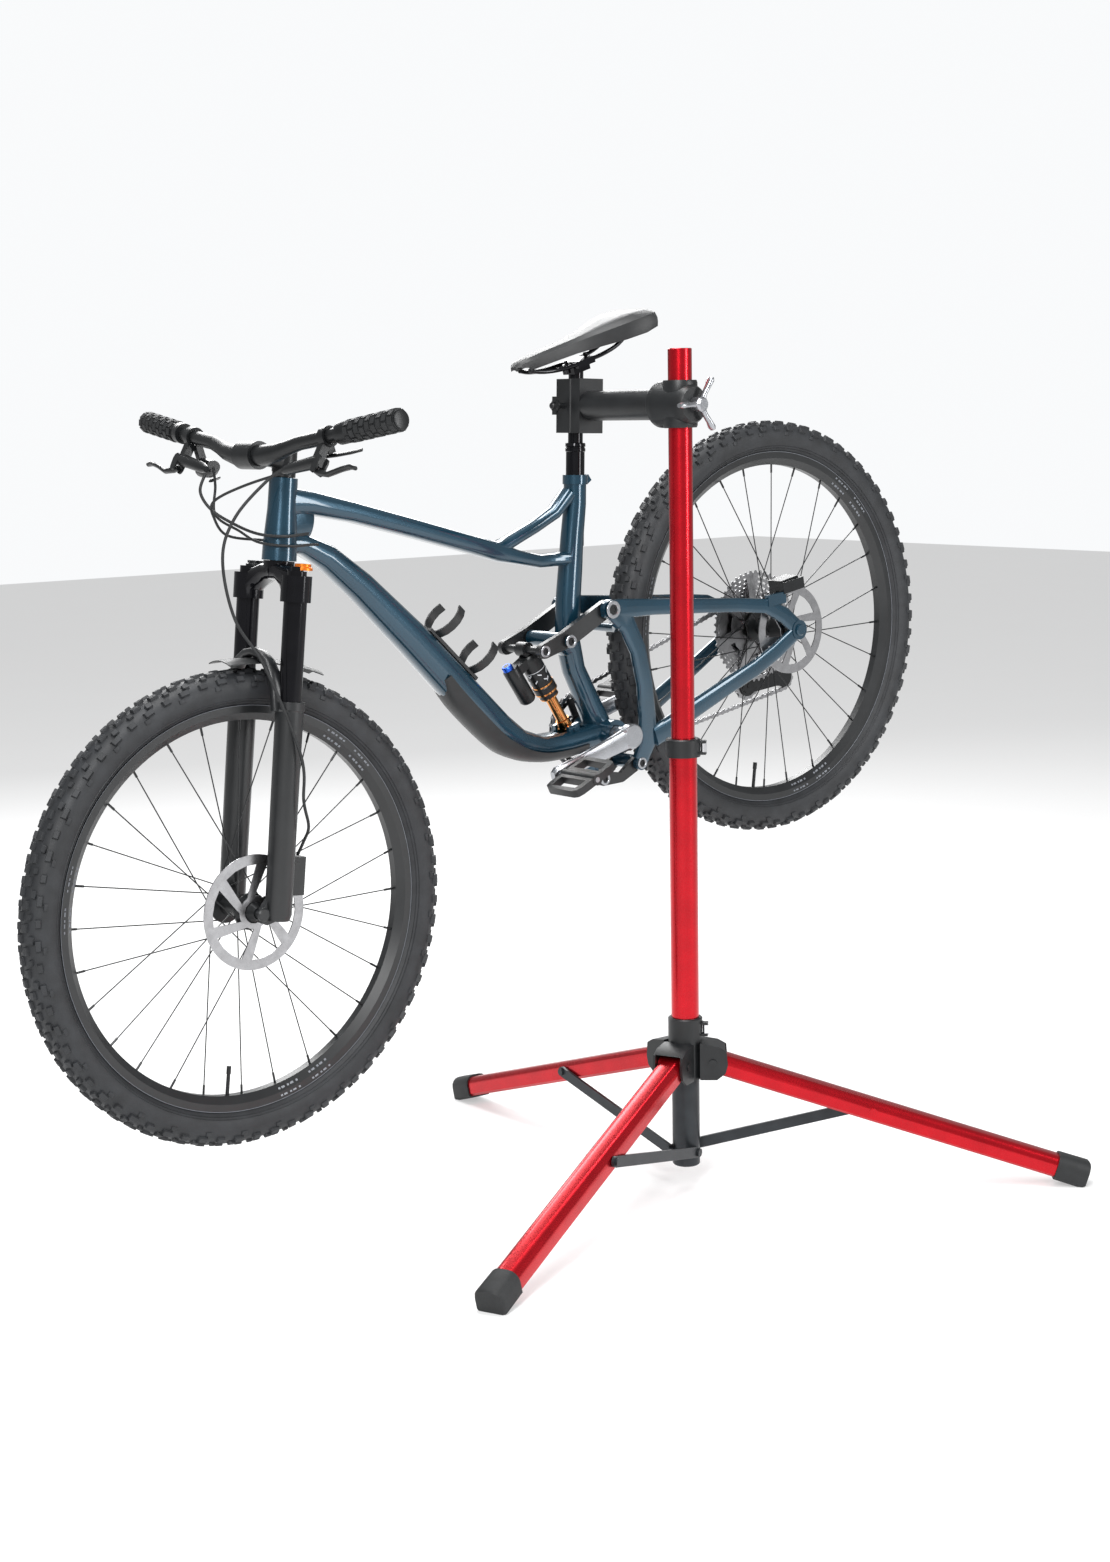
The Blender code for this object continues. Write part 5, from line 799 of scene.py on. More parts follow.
# arm: from the drum to the jaw plate, with its index ring
arm_start = arm_centre + Y * 0.0333
arm_end_y = grip.y - 0.016
arm_len = arm_end_y - arm_start.y
arm = turned(
    arm_start, Y,
    [
        (0, 0), (HEAD_R - 0.0005, 0), (HEAD_R - 0.0005, 0.008), (0.0345, 0.011), (ARM_R + 0.001, 0.012),
        (ARM_R, 0.013), (ARM_R, arm_len - 0.03), (ARM_R - 0.002, arm_len - 0.012),
        (ARM_R - 0.006, arm_len - 0.006), (0, arm_len - 0.006)
    ], 28
)
plate = prism(
    [
        (-0.0255, -0.04), (0.0255, -0.04), (0.0275, -0.037), (0.0275, 0.02), (0.025, 0.0225),
        (0.0062, 0.0225), (0.0062, -0.018), (-0.0255, -0.018)
    ], grip, post_x, Y, -JAW_HALF, JAW_HALF
)
arm = join(arm, plate)
arm = cut(arm, rod(grip - post_down * 0.1, grip + post_down * 0.1, POST_R + GAP, 18))
part("clamp_arm", arm, CAST)

jaw = prism(
    [
        (-0.0235, -0.0172), (-0.0052, -0.0172), (-0.0052, 0.0225), (-0.023, 0.0225), (-0.026, 0.0195),
        (-0.026, -0.015)
    ], grip, post_x, Y, -JAW_HALF + 0.0004, JAW_HALF - 0.0004
)
spindle = rod(grip - post_x * 0.02, grip - post_x * 0.04, 0.005, 12)
jaw = join(jaw, spindle)
jaw = cut(jaw, rod(grip - post_down * 0.1, grip + post_down * 0.1, POST_R + GAP, 18))
part("moving_jaw", jaw, CAST)
nut_base = grip - post_x * 0.0403
nut = turned(
    nut_base, -post_x,
    [
        (0, 0), (0.0075, 0), (0.0105, 0.002), (0.0105, 0.006), (0.006, 0.0075), (0.006, 0.012),
        (0.0045, 0.0135), (0, 0.0135)
    ], 12
)
wing = block(nut_base - post_x * 0.0045, Y, -post_down, 0.0045, 0.015, 0.003)
part("jaw_knob", join(nut, wing), CAST)

# ================================================================ bicycle: frame


def rows_at(*rows):
    """Rows for sweep, from rows of (f, y, u, half height, half width) in the bicycle's frame."""
    return [(*W(f, y, u), hh, hw) for f, y, u, hh, hw in rows]


head_tube = loft(
    [
        circle(steer(s), STEER_UP, r, 16) for s,
        r in ((0.001, 0.027), (0.025, 0.0265), (0.08, 0.0225), (HEAD_LENGTH - 0.001, 0.022))
    ]
)
top_tube = sweep(
    rows_at(
        (0.909, 0, 0.56, 0.023, 0.0185), (0.87, 0, 0.545, 0.019, 0.02), (0.8, 0, 0.5055, 0.0165, 0.0215),
        (0.7, 0, 0.4435, 0.0158, 0.0215), (0.6, 0, 0.38, 0.0152, 0.0205), (0.545, 0, 0.345, 0.016, 0.019),
        (0.513, 0, 0.325, 0.0125, 0.018), (0.47, 0, 0.301, 0.0115, 0.0175),
        (0.405, 0, 0.283, 0.012, 0.017)
    ), 10, power=2.6
)
strut = sweep(
    rows_at(
        (0.555, 0, 0.352, 0.011, 0.0165), (0.52, 0, 0.3515, 0.011, 0.0165),
        (0.46, 0, 0.357, 0.0105, 0.016), (0.41, 0, 0.365, 0.011, 0.0155), (0.37, 0, 0.385, 0.013, 0.015)
    ), 8, power=2.4
)
seat_tube = sweep(
    rows_at(
        (0.3475, 0, 0.402, 0.0182, 0.0182), (0.3605, 0, 0.364, 0.0182, 0.0182),
        (0.383, 0, 0.315, 0.019, 0.0185), (0.404, 0, 0.265, 0.0205, 0.019),
        (0.427, 0, 0.212, 0.021, 0.02), (0.448, 0, 0.155, 0.02, 0.021), (0.452, 0, 0.1, 0.019, 0.02),
        (0.442, 0, 0.045, 0.02, 0.021), (0.433, 0, -0.01, 0.022, 0.026)
    ), 12, power=2.3
)
down_tube = sweep(
    rows_at(
        (0.935, 0, 0.5, 0.015, 0.019), (0.905, 0, 0.49, 0.0165, 0.021), (0.868, 0, 0.456, 0.02, 0.023),
        (0.822, 0, 0.39, 0.0235, 0.025), (0.756, 0, 0.278, 0.0275, 0.0265),
        (0.69, 0, 0.156, 0.03, 0.0275), (0.642, 0, 0.07, 0.029, 0.029), (0.61, 0, 0.03, 0.025, 0.03),
        (0.57, 0, 0.004, 0.0215, 0.032), (0.52, 0, -0.01, 0.0215, 0.034), (0.47, 0, -0.02, 0.022, 0.035),
        (0.425, 0, -0.025, 0.02, 0.035)
    ), 12, power=2.5
)
gusset = sweep(
    rows_at(
        (0.92, 0, 0.525, 0.033, 0.015), (0.89, 0, 0.52, 0.033, 0.014), (0.878, 0, 0.513, 0.022, 0.012)
    ), 10
)
shell = rod(W(BB[0], -0.044, BB[1]), W(BB[0], 0.044, BB[1]), 0.0245, 16)
M = W(ROCKER_PIVOT[0], 0, ROCKER_PIVOT[1])
pivot_arm = sweep(
    rows_at(
        (0.447, 0, 0.133, 0.019, 0.02), (0.468, 0, 0.15, 0.014, 0.023),
        (ROCKER_PIVOT[0], 0, ROCKER_PIVOT[1], 0.011, 0.026)
    ), 10
)
pivot_axle = rod(M - Y * 0.042, M + Y * 0.042, 0.0135, 12)
pivot_pin = rod(M - Y * 0.059, M + Y * 0.059, 0.005, 12)
pivot_caps = [rod(M + Y * way * 0.0578, M + Y * way * 0.061, 0.0105, 12) for way in (-1, 1)]
L0 = W(LINK_FRONT[0], 0, LINK_FRONT[1])
link_mount = sweep(
    rows_at(
        (0.462, 0, -0.038, 0.015, 0.02), (0.469, 0, -0.065, 0.013, 0.02),
        (LINK_FRONT[0], 0, LINK_FRONT[1], 0.0105, 0.019)
    ), 10
)
link_axle = rod(L0 - Y * 0.0222, L0 + Y * 0.0222, 0.0118, 12)
link_pin = rod(L0 - Y * 0.0345, L0 + Y * 0.0345, 0.005, 12)
link_caps = [rod(L0 + Y * way * 0.0338, L0 + Y * way * 0.0365, 0.0095, 12) for way in (-1, 1)]
SH = W(SHOCK_LOW[0], 0, SHOCK_LOW[1])
shock_mount = [
    block(SH + Y * way * 0.018 - Vector((0, 0, 0.004)), AHEAD, OVER, 0.012, 0.013, 0.0035)
    for way in (-1, 1)
]
shock_pin = rod(SH - Y * 0.0235, SH + Y * 0.0235, 0.004, 12)
seat_ring = rod(W(0.3498, 0, 0.3946), W(0.3448, 0, 0.4091), 0.0212, 16)
seat_lug = block(W(0.327, 0, 0.3955), D(1, 0, -0.34), Y, 0.006, 0.008, 0.0062)
frame = join(head_tube, down_tube, top_tube, strut, seat_tube, gusset, shell, pivot_arm)
frame = join(frame, link_mount)
shock_gap = block(SH + OVER * 0.012, AHEAD, OVER, 0.029, 0.03, 0.014)
frame = join(frame, *shock_mount)
frame = cut(frame, shock_gap)
frame = join(
    frame, link_axle, link_pin, *link_caps, pivot_axle, pivot_pin, *pivot_caps, shock_pin, seat_ring,
    seat_lug
)
SEAT_BORE = 0.0158 + GAP
frame = cut(
    frame, rod(steer(-0.02), steer(HEAD_LENGTH + 0.02), 0.0175, 16),
    rod(W(0.3448, 0, 0.4091) - post_down * 0.02, W(0.3498, 0, 0.3946) + post_down * 0.125, SEAT_BORE, 18),
    rod(W(BB[0], -0.06, BB[1]), W(BB[0], 0.06, BB[1]), 0.0155, 12)
)
part("front_frame", frame, BLUE)

# dropper post: outer tube in the seat tube, stanchion held by the jaws, head and rails
collar_at = (post_top.z - 1.229) / -post_down.z
outer_top = post_top + post_down * collar_at
outer = turned(
    outer_top, post_down,
    [
        (POST_R + GAP, 0), (0.016, 0), (0.017, 0.0015), (0.017, 0.006), (0.0158, 0.007), (0.0158, 0.0085),
        (0.017, 0.0092), (0.017, 0.014), (0.0158, 0.015), (0.0158, 0.172), (POST_R + GAP, 0.172),
        (POST_R + GAP, 0)
    ], 18
)
part("dropper_outer", outer, GLOSS)

stanchion = rod(post_top + post_down * 0.005, outer_top + post_down * 0.12, POST_R, 18)
head_block = block(post_top + post_down * 0.004, D(1, 0, 0.02), Y, 0.018, 0.015, 0.007)
rails = []
for way in (-1, 1):
    rows = [
        W(0.395, way * 0.012, 0.606), W(0.37, way * 0.018, 0.596), W(0.33, way * 0.022, 0.589),
        W(0.28, way * 0.022, 0.587), W(0.24, way * 0.022, 0.587), W(0.205, way * 0.024, 0.593),
        W(0.175, way * 0.026, 0.608)
    ]
    rails.append(tube(rows, 0.0036, 6, 2))
yoke = block(W(0.283, 0, 0.5855), AHEAD, Y, 0.019, 0.0262, 0.0052)
head_bolts = [rod(W(0.283 + s, 0, 0.574), W(0.283 + s, 0, 0.596), 0.0035, 10) for s in (-0.0225, 0.0225)]
lugs = [block(W(0.283 + s * 0.02, 0, 0.585), AHEAD, Y, 0.007, 0.006, 0.0045) for s in (-1, 1)]
stanchion = join(stanchion, head_block, yoke, *lugs, *head_bolts, *rails)
part("dropper_stanchion", stanchion, GLOSS)

# saddle: sections across, from tail to nose (distance along, half width, top, skirt bottom)
SADDLE = (
    (0.129, 0.03, 0.629, 0.614), (0.134, 0.056, 0.6325, 0.609), (0.148, 0.069, 0.6355, 0.605),
    (0.175, 0.07, 0.637, 0.602), (0.21, 0.056, 0.635, 0.601), (0.25, 0.036, 0.631, 0.602),
    (0.295, 0.0235, 0.6285, 0.604), (0.34, 0.02, 0.628, 0.605), (0.385, 0.0185, 0.627, 0.606),
    (0.408, 0.015, 0.624, 0.608), (0.416, 0.007, 0.619, 0.611)
)
rings = []
for f, half, top, low in SADDLE:
    drop = 0.34 * (top - low)
    sag = 0.3 * (top - low)
    section_points = [
        (half * 0.98, low), (half, low + drop), (half * 0.93, top - drop * 0.75),
        (half * 0.62, top - drop * 0.1), (half * 0.25, top - drop * 0.08)
    ]
    inner = [(half * 0.72, low + sag * 0.6), (half * 0.3, low + sag)]
    ring = [W(f, y, u) for y, u in section_points]
    ring += [W(f, -y, u) for y, u in section_points[::-1]]
    ring += [W(f, -y, u) for y, u in inner]
    ring += [W(f, y, u) for y, u in inner[::-1]]
    rings.append(ring)
saddle = loft(rings)
rail_room = []
for way in (-1, 1):
    rail_room.append(block(W(0.396, way * 0.012, 0.605), D(1, 0, 0.3), Y, 0.02, 0.0046, 0.006))
    rail_room.append(block(W(0.173, way * 0.0262, 0.606), D(1, 0, -0.5), Y, 0.018, 0.0046, 0.0072))
part("saddle", cut(saddle, *rail_room), BLACK)

# ================================================================ bicycle: rear suspension
K = W(ROCKER_REAR[0], 0, ROCKER_REAR[1])
F = W(ROCKER_FRONT[0], 0, ROCKER_FRONT[1])
L1 = W(LINK_REAR[0], 0, LINK_REAR[1])
AXLE = W(0, 0, 0)
STAY = 0.0625  # how far out the stays run by the seat tube
DROP_Y = 0.0795  # and at the dropouts
rear = []
for way in (-1, 1):
    rear.append(
        sweep(
            rows_at(
                (0.408, way * STAY, 0.193, 0.012, 0.0055),
                (ROCKER_REAR[0], way * STAY, ROCKER_REAR[1] - 0.001, 0.017, 0.0055),
                (0.36, way * STAY, 0.178, 0.0165, 0.006), (0.3, way * 0.062, 0.158, 0.014, 0.0062),
                (0.19, way * 0.065, 0.118, 0.0128, 0.0062), (0.12, way * 0.0735, 0.093, 0.0125, 0.0055),
                (0.06, way * 0.0775, 0.068, 0.013, 0.0048), (0.025, way * DROP_Y, 0.038, 0.015, 0.0048),
                (-0.002, way * DROP_Y, 0.0, 0.015, 0.0048)
            ), 8, power=3.6
        )
    )
    front_f, front_y, front_u = (0.355, 0.048, -0.061) if way < 0 else (0.38, 0.031, -0.08)
    rear.append(
        sweep(
            rows_at(
                (front_f, way * front_y, front_u, 0.019, 0.007),
                (0.32, way * (0.05 if way < 0 else 0.04), -0.059, 0.0185, 0.007),
                (0.26, way * 0.054, -0.05, 0.0165, 0.007), (0.18, way * 0.064, -0.038, 0.0155, 0.0062),
                (0.115, way * 0.074, -0.029, 0.015, 0.0052), (0.06, way * 0.0775, -0.018, 0.0145, 0.0048),
                (0.01, way * DROP_Y, -0.004, 0.014, 0.0048), (-0.012, way * DROP_Y, 0.001, 0.012, 0.0048)
            ), 8, power=3.6
        )
    )
    rear.append(rod(W(0, way * 0.0745, 0), W(0, way * 0.0855, 0), 0.0175, 16))
upright = sweep(
    rows_at(
        (0.39, -STAY, 0.186, 0.017, 0.0055), (0.364, -0.0615, 0.15, 0.018, 0.006),
        (0.353, -0.059, 0.1, 0.0165, 0.0065), (0.354, -0.056, 0.04, 0.0165, 0.007),
        (0.361, -0.05, -0.02, 0.018, 0.007), (0.366, -0.043, -0.065, 0.019, 0.007),
        (0.388, -0.036, -0.093, 0.016, 0.007)
    ), 8, power=3.6
)
upper_bridge = sweep(
    rows_at(
        (0.386, -STAY, 0.16, 0.0085, 0.0085), (0.378, -0.045, 0.148, 0.0075, 0.0075),
        (0.378, 0.045, 0.148, 0.0075, 0.0075), (0.386, STAY, 0.162, 0.0085, 0.0085)
    ), 8, side=D(1, 0, 0.3)
)
lower_bridge = rod(L1 - Y * 0.042, L1 + Y * 0.038, 0.0125, 12)
boss = rod(K - Y * 0.069, K - Y * 0.0575, 0.0165, 14)
boss_far = rod(K + Y * 0.069, K + Y * 0.0575, 0.0165, 14)
dropout_axle = rod(W(0, -0.0875, 0), W(0, 0.0875, 0), 0.006, 12)
axle_head = turned(
    W(0, -0.085, 0), -Y, [(0, 0), (0.0105, 0), (0.0105, 0.003), (0.0085, 0.0045), (0, 0.0045)], 12
)
hanger = prism(slot((0, 0), (-0.02, -0.03), 0.015, 0.011, 6), W(0, 0.08, 0), AHEAD, OVER, -0.0035, 0.0035)
caliper = [
    block(W(-0.01, -0.079, 0.0815), D(1, 0, 0.12), Y, 0.026, 0.006, 0.01),
    block(W(-0.008, -0.062, 0.083), D(1, 0, 0.1), Y, 0.022, 0.016, 0.012)
]
REAR_ROTOR_Y = -0.062
pad_gap = rod(
    AXLE + Y * (REAR_ROTOR_Y - 0.0016), AXLE + Y * (REAR_ROTOR_Y + 0.0016), REAR_ROTOR_R + 0.002, 32
)
mount_arm = block(W(0.035, -0.079, 0.072), D(1, 0, 0.2), Y, 0.022, 0.0045, 0.01)
rear_frame = join(rear[0], *rear[1:])
rear_frame = join(rear_frame, upright, upper_bridge, lower_bridge, boss, boss_far, hanger, mount_arm)
rear_caliper = join(caliper[0], caliper[1])
link_slots = [block(L1 + Y * way * 0.0275, AHEAD, OVER, 0.018, 0.0185, 0.0058) for way in (-1, 1)]
rear_frame = cut(cut(rear_frame, *link_slots), pad_gap)
link_rear_pin = rod(L1 - Y * 0.034, L1 + Y * 0.034, 0.005, 10)
rocker_pins = [rod(K + Y * way * 0.045, K + Y * way * 0.06, 0.005, 10) for way in (-1, 1)]
rings_out = [rod(K + Y * way * 0.0685, K + Y * way * 0.0715, 0.0125, 10) for way in (-1, 1)]
rear_frame = join(rear_frame, link_rear_pin, *rocker_pins, *rings_out, dropout_axle, axle_head)
part("rear_triangle", rear_frame, BLUE)

# rocker: two arms joined by a tie just behind the frame's pivot
rocker = []
ARM_T = 0.0055
ARM_MID = 0.0505
for way in (-1, 1):
    y = way * ARM_MID

    plate_low = prism(
        slot(
            (ROCKER_REAR[0], ROCKER_REAR[1]), (ROCKER_PIVOT[0], ROCKER_PIVOT[1] + 0.004), 0.015, 0.0155, 6
        ), W(0, y, 0), AHEAD, OVER, -ARM_T, ARM_T
    )
    plate_high = prism(
        slot(
            (ROCKER_PIVOT[0], ROCKER_PIVOT[1] + 0.004), (ROCKER_FRONT[0], ROCKER_FRONT[1]), 0.015, 0.0125,
            6
        ), W(0, y, 0), AHEAD, OVER, -ARM_T + 0.0003, ARM_T - 0.0003
    )
    rocker += [plate_low, plate_high]
tie = rod(W(0.542, -ARM_MID, 0.171), W(0.542, ARM_MID, 0.171), 0.0065, 12)
rocker = join(rocker[0], *rocker[1:], tie)
holes = []
for way in (-1, 1):
    holes.append(rod(K + Y * way * 0.04, K + Y * way * 0.06, 0.009, 12))
    holes.append(rod(M + Y * way * 0.04, M + Y * way * 0.06, 0.0053, 12))
rocker = cut(rocker, *holes)
part("rocker_link", rocker, GLOSS)

low_mid = 0.5 * (LINK_FRONT[0] + LINK_REAR[0]), 0.5 * (LINK_FRONT[1] + LINK_REAR[1]) - 0.013
lower = []
for way in (-1, 1):
    for k, end in enumerate((LINK_FRONT, LINK_REAR)):
        t = 0.0045 - 0.0002 * k
        lower.append(
            prism(slot(end, low_mid, 0.0125, 0.0082, 6), W(0, way * 0.0275, 0), AHEAD, OVER, -t, t)
        )
cross = rod(W(low_mid[0], -0.0275, low_mid[1]), W(low_mid[0], 0.0275, low_mid[1]), 0.0066, 8)
link = join(lower[0], *lower[1:], cross)
link = cut(link, *[rod(p - Y * 0.05, p + Y * 0.05, 0.0053, 14) for p in (L0, L1)])
part("lower_link", link, GLOSS)

# shock: body hangs from the rocker's front tie, shaft stands on the frame
shock_axis = (SH - F).normalized()
side = Y.cross(shock_axis).normalized()
body = turned(
    F + shock_axis * 0.01, shock_axis,
    [
        (0.0, 0.0), (0.014, 0.0), (0.0175, 0.004), (0.0185, 0.01), (0.0185, 0.062), (0.02, 0.064),
        (0.02, 0.074), (0.0165, 0.078), (0.0165, 0.086), (0.0135, 0.09), (0.0, 0.09)
    ], 14
)
eye = turned(F - Y * 0.011, Y, [(0.0, 0), (0.0125, 0), (0.0125, 0.022), (0.0, 0.022)], 12)
ahead = side if side.dot(AHEAD) > 0 else -side
res_top = F + shock_axis * 0.018 + ahead * 0.042
bridge = block(F + shock_axis * 0.019 + ahead * 0.022, ahead, shock_axis, 0.023, 0.008, 0.011)
reservoir = turned(
    res_top - shock_axis * 0.01, (shock_axis + ahead * -0.02).normalized(),
    [(0, 0), (0.0125, 0.0), (0.0145, 0.004), (0.0145, 0.066), (0.012, 0.07), (0, 0.07)], 12
)
dial = turned(
    res_top - shock_axis * 0.0098 + ahead * 0.004, -shock_axis,
    [(0, -0.002), (0.007, -0.002), (0.007, 0.007), (0.0055, 0.0085), (0, 0.0085)], 8
)
body = join(body, eye, bridge, reservoir, dial)
body = cut(
    body, rod(F - Y * 0.03, F + Y * 0.03, 0.0068, 12),
    rod(F + shock_axis * 0.03, F + shock_axis * 0.13, 0.0118, 14)
)
part("shock_body", body, BLACK)

shaft = rod(F + shock_axis * 0.085, SH - shock_axis * 0.007, 0.0097, 14)
foot = rod(SH - Y * 0.0125, SH + Y * 0.0125, 0.011, 12)
seat = rod(SH - shock_axis * 0.02, SH - shock_axis * 0.005, 0.012, 12)
shaft = cut(join(shaft, foot, seat), rod(SH - Y * 0.03, SH + Y * 0.03, 0.0058, 12))
part("shock_shaft", shaft, COPPER)

# ================================================================ bicycle: fork and cockpit
def fork(s, forward=0.0, y=0.0):
    """s down the fork from the crown race, forward of the steering axis."""
    return steer(-s, forward, y)


OFFSET = 0.01
FA = W(WHEELBASE, 0, 0)
FORK_S = (FA - fork(0)).dot(-STEER_UP)
crown_parts = [
    loft([circle(fork(0.014), STEER_UP, 0.024, 20), circle(fork(-0.0005), STEER_UP, 0.024, 20)]),
    rod(fork(0.006), fork(-HEAD_LENGTH - 0.0425), 0.0143, 18)
]
for way in (-1, 1):
    crown_parts.append(
        sweep(
            [
                (*fork(0.0146, 0.002, -way * (0.005 + 0.001 * way)), 0.013, 0.0225 + 0.0003 * way),
                (*fork(0.0165, 0.003, way * 0.022), 0.014, 0.02),
                (*fork(0.026, 0.006, way * 0.044), 0.017, 0.019),
                (*fork(0.038, OFFSET, way * 0.06), 0.018, 0.019)
            ], 8, side=STEER_FORWARD, power=2.6
        )
    )
    crown_parts.append(rod(fork(0.02, OFFSET, way * LEG_Y), fork(0.06, OFFSET, way * LEG_Y), 0.0235, 16))
    crown_parts.append(
        rod(
            fork(0.058, OFFSET, way * LEG_Y), fork(LOWERS_TOP + 0.11, OFFSET, way * LEG_Y), STANCHION_R,
            16
        )
    )
    crown_parts.append(
        rod(
            fork(0.021, OFFSET, way * LEG_Y), fork(0.01 if way > 0 else 0.013, OFFSET, way * LEG_Y),
            0.015, 12
        )
    )
crown_parts.append(rod(fork(0.014, OFFSET, -LEG_Y), fork(0.006, OFFSET, -LEG_Y), 0.01, 10))
crown = join(crown_parts[0], *crown_parts[1:])
part("fork_crown", crown, GLOSS)

LEG_END = FORK_S + 0.01
lowers = []
for way in (-1, 1):
    lowers.append(
        turned(
            fork(LOWERS_TOP, OFFSET, way * LEG_Y), -STEER_UP,
            [
                (0, 0), (0.024, 0), (0.024, 0.012), (LOWER_LEG_R, 0.015),
                (LOWER_LEG_R - 0.0008, LEG_END - LOWERS_TOP - 0.01),
                (LOWER_LEG_R - 0.004, LEG_END - LOWERS_TOP), (0, LEG_END - LOWERS_TOP)
            ], 16
        )
    )
    lowers.append(
        prism(
            [
                (0.01, -0.05), (0.033, -0.018), (0.042, -0.003), (0.04, 0.013), (0.03, 0.017),
                (0.008, 0.009)
            ], fork(FORK_S, 0, way * 0.062), STEER_FORWARD, -STEER_UP, -0.006, 0.006
        )
    )
ARCH_TOP, ARCH_FOOT = 0.14, LOWERS_TOP + 0.015
arch_rows = []
for k in range(11):
    t = math.pi * k / 10
    rise = math.sin(t) ** 0.8 if 0 < k < 10 else 0.0
    arch_rows.append(
        (
            *fork(
                ARCH_FOOT - (ARCH_FOOT - ARCH_TOP) * rise, 0.029 + 0.006 * rise,
                -LEG_Y * math.cos(t) * 0.95
            ), 0.0075, 0.011
        )
    )
arch = sweep(arch_rows, 8, side=STEER_FORWARD, power=2.6)
fork_axle = rod(W(WHEELBASE, -0.069, 0), W(WHEELBASE, 0.069, 0), 0.007, 14)
fork_axle_head = turned(
    W(WHEELBASE, -0.0675, 0), -Y, [(0, 0), (0.011, 0), (0.011, 0.003), (0.0085, 0.005), (0, 0.005)], 16
)
cal_c = fork(FORK_S - 0.056, -0.028, -0.045)
front_caliper = block(cal_c, -STEER_UP, Y, 0.03, 0.014, 0.0125)
cal_arm = block(fork(FORK_S - 0.056, -0.01, -0.06), -STEER_UP, Y, 0.023, 0.006, 0.013)
ROTOR_Y = -0.042
front_pad_gap = rod(FA + Y * (ROTOR_Y - 0.0018), FA + Y * (ROTOR_Y + 0.0018), FRONT_ROTOR_R + 0.002, 32)
front_caliper = cut(front_caliper, front_pad_gap)
fork_low = join(lowers[0], *lowers[1:], arch)
fork_low = join(fork_low, cal_arm, front_caliper)
fork_low = cut(
    fork_low,
    *[
        rod(
            fork(LOWERS_TOP - 0.08, OFFSET, way * LEG_Y), fork(LOWERS_TOP + 0.245, OFFSET, way * LEG_Y),
            STANCHION_R + GAP, 16
        ) for way in (-1, 1)
    ]
)
fork_low = join(fork_low, fork_axle, fork_axle_head)
part("fork_lowers", fork_low, BLACK)

# mudguard: a curved blade under the arch, reaching back towards the down tube
rings = []
for k in range(9):
    t = k / 8
    angle = math.radians(-9 + 27 * t)
    r = TYRE_R + 0.0126 + 0.004 * t
    c, n = math.cos(angle), math.sin(angle)
    half = 0.03 - 0.01 * t
    ring = []
    radial = STEER_UP * c - STEER_FORWARD * n
    for j in range(7):
        y = half * (-1 + 2 * j / 6)
        bow = 0.006 * (1 - (j / 3 - 1) ** 2)
        ring.append(FA + radial * (r + bow - 0.005) + Y * y)
    for j in range(6, -1, -1):
        y = half * (-1 + 2 * j / 6)
        bow = 0.006 * (1 - (j / 3 - 1) ** 2)
        ring.append(FA + radial * (r + bow - 0.005 + 0.0016) + Y * y)
    rings.append(ring)
part("mudguard", loft(rings), BLACK)

# stem
stem_low, stem_high = HEAD_LENGTH + 0.008, HEAD_LENGTH + 0.046
clamp = rod(steer(stem_low), steer(stem_high), 0.019, 18)
spacer = rod(steer(HEAD_LENGTH + 0.0003), steer(stem_low + 0.002), 0.018, 18)
B0 = W(BAR[0], 0, BAR[1])
mid = steer((stem_low + stem_high) / 2)
body_stem = sweep(
    [(*mid, 0.0165, 0.016), (*mid.lerp(B0, 0.45), 0.014, 0.015), (*mid.lerp(B0, 0.85), 0.0165, 0.02)], 14,
    power=2.8
)
bar_clamp = rod(B0 - Y * 0.023, B0 + Y * 0.023, 0.0215, 18)
stem = join(clamp, spacer, body_stem, bar_clamp)
stem = cut(
    stem, rod(steer(HEAD_LENGTH - 0.01), steer(stem_high - 0.003), 0.0146, 18),
    rod(B0 - Y * 0.03, B0 + Y * 0.03, 0.0163, 18)
)
part("stem", stem, BLACK)

# handlebar with its grips
def bar_row(y):
    """The bar's centre at a distance y from the middle."""
    a = abs(y)
    if a < 0.035:
        f, u = BAR
    elif a < 0.15:
        t = (a - 0.035) / 0.115
        t = t * t * (3 - 2 * t)
        f, u = BAR[0] - 0.0165 * t, BAR[1] + 0.018 * t
    else:
        t = (a - 0.15) / 0.1974
        f, u = BAR[0] - 0.0165 - 0.0245 * t, BAR[1] + 0.018 + 0.0225 * t
    r = 0.0159 if a < 0.04 else max(0.0111, 0.0159 - 0.0048 * (a - 0.04) / 0.06)
    return f, u, r


BAR_END = 0.3474
GRIP_FROM = 0.2175
rows = []
for y in (-BAR_END, -0.15, -0.12, -0.095, -0.07, -0.04, 0.04, 0.07, 0.095, 0.12, 0.15, BAR_END):
    f, u, r = bar_row(y)
    rows.append((*W(f, y, u), r, r))
bar = sweep(rows, 12, side=STEER_UP)
grips = []
for way in (-1, 1):
    g = []
    for y, r in (
        (GRIP_FROM, 0.0165), (GRIP_FROM + 0.014, 0.0165), (GRIP_FROM + 0.016, 0.0154),
        (BAR_END - 0.004, 0.0164), (BAR_END + 0.002, 0.015)
    ):
        f, u, _ = bar_row(way * y)
        g.append((*W(f, way * y, u), r, r))
    grips.append(sweep(g, 12, side=STEER_UP))
part("handlebar", join(bar, *grips), BLACK)


def on_bar(y, forward=0.0, down=0.0):
    """A point beside the bar: forward and down in the bicycle's own frame."""
    f, u, _ = bar_row(y)
    return W(f + forward, y, u - down)


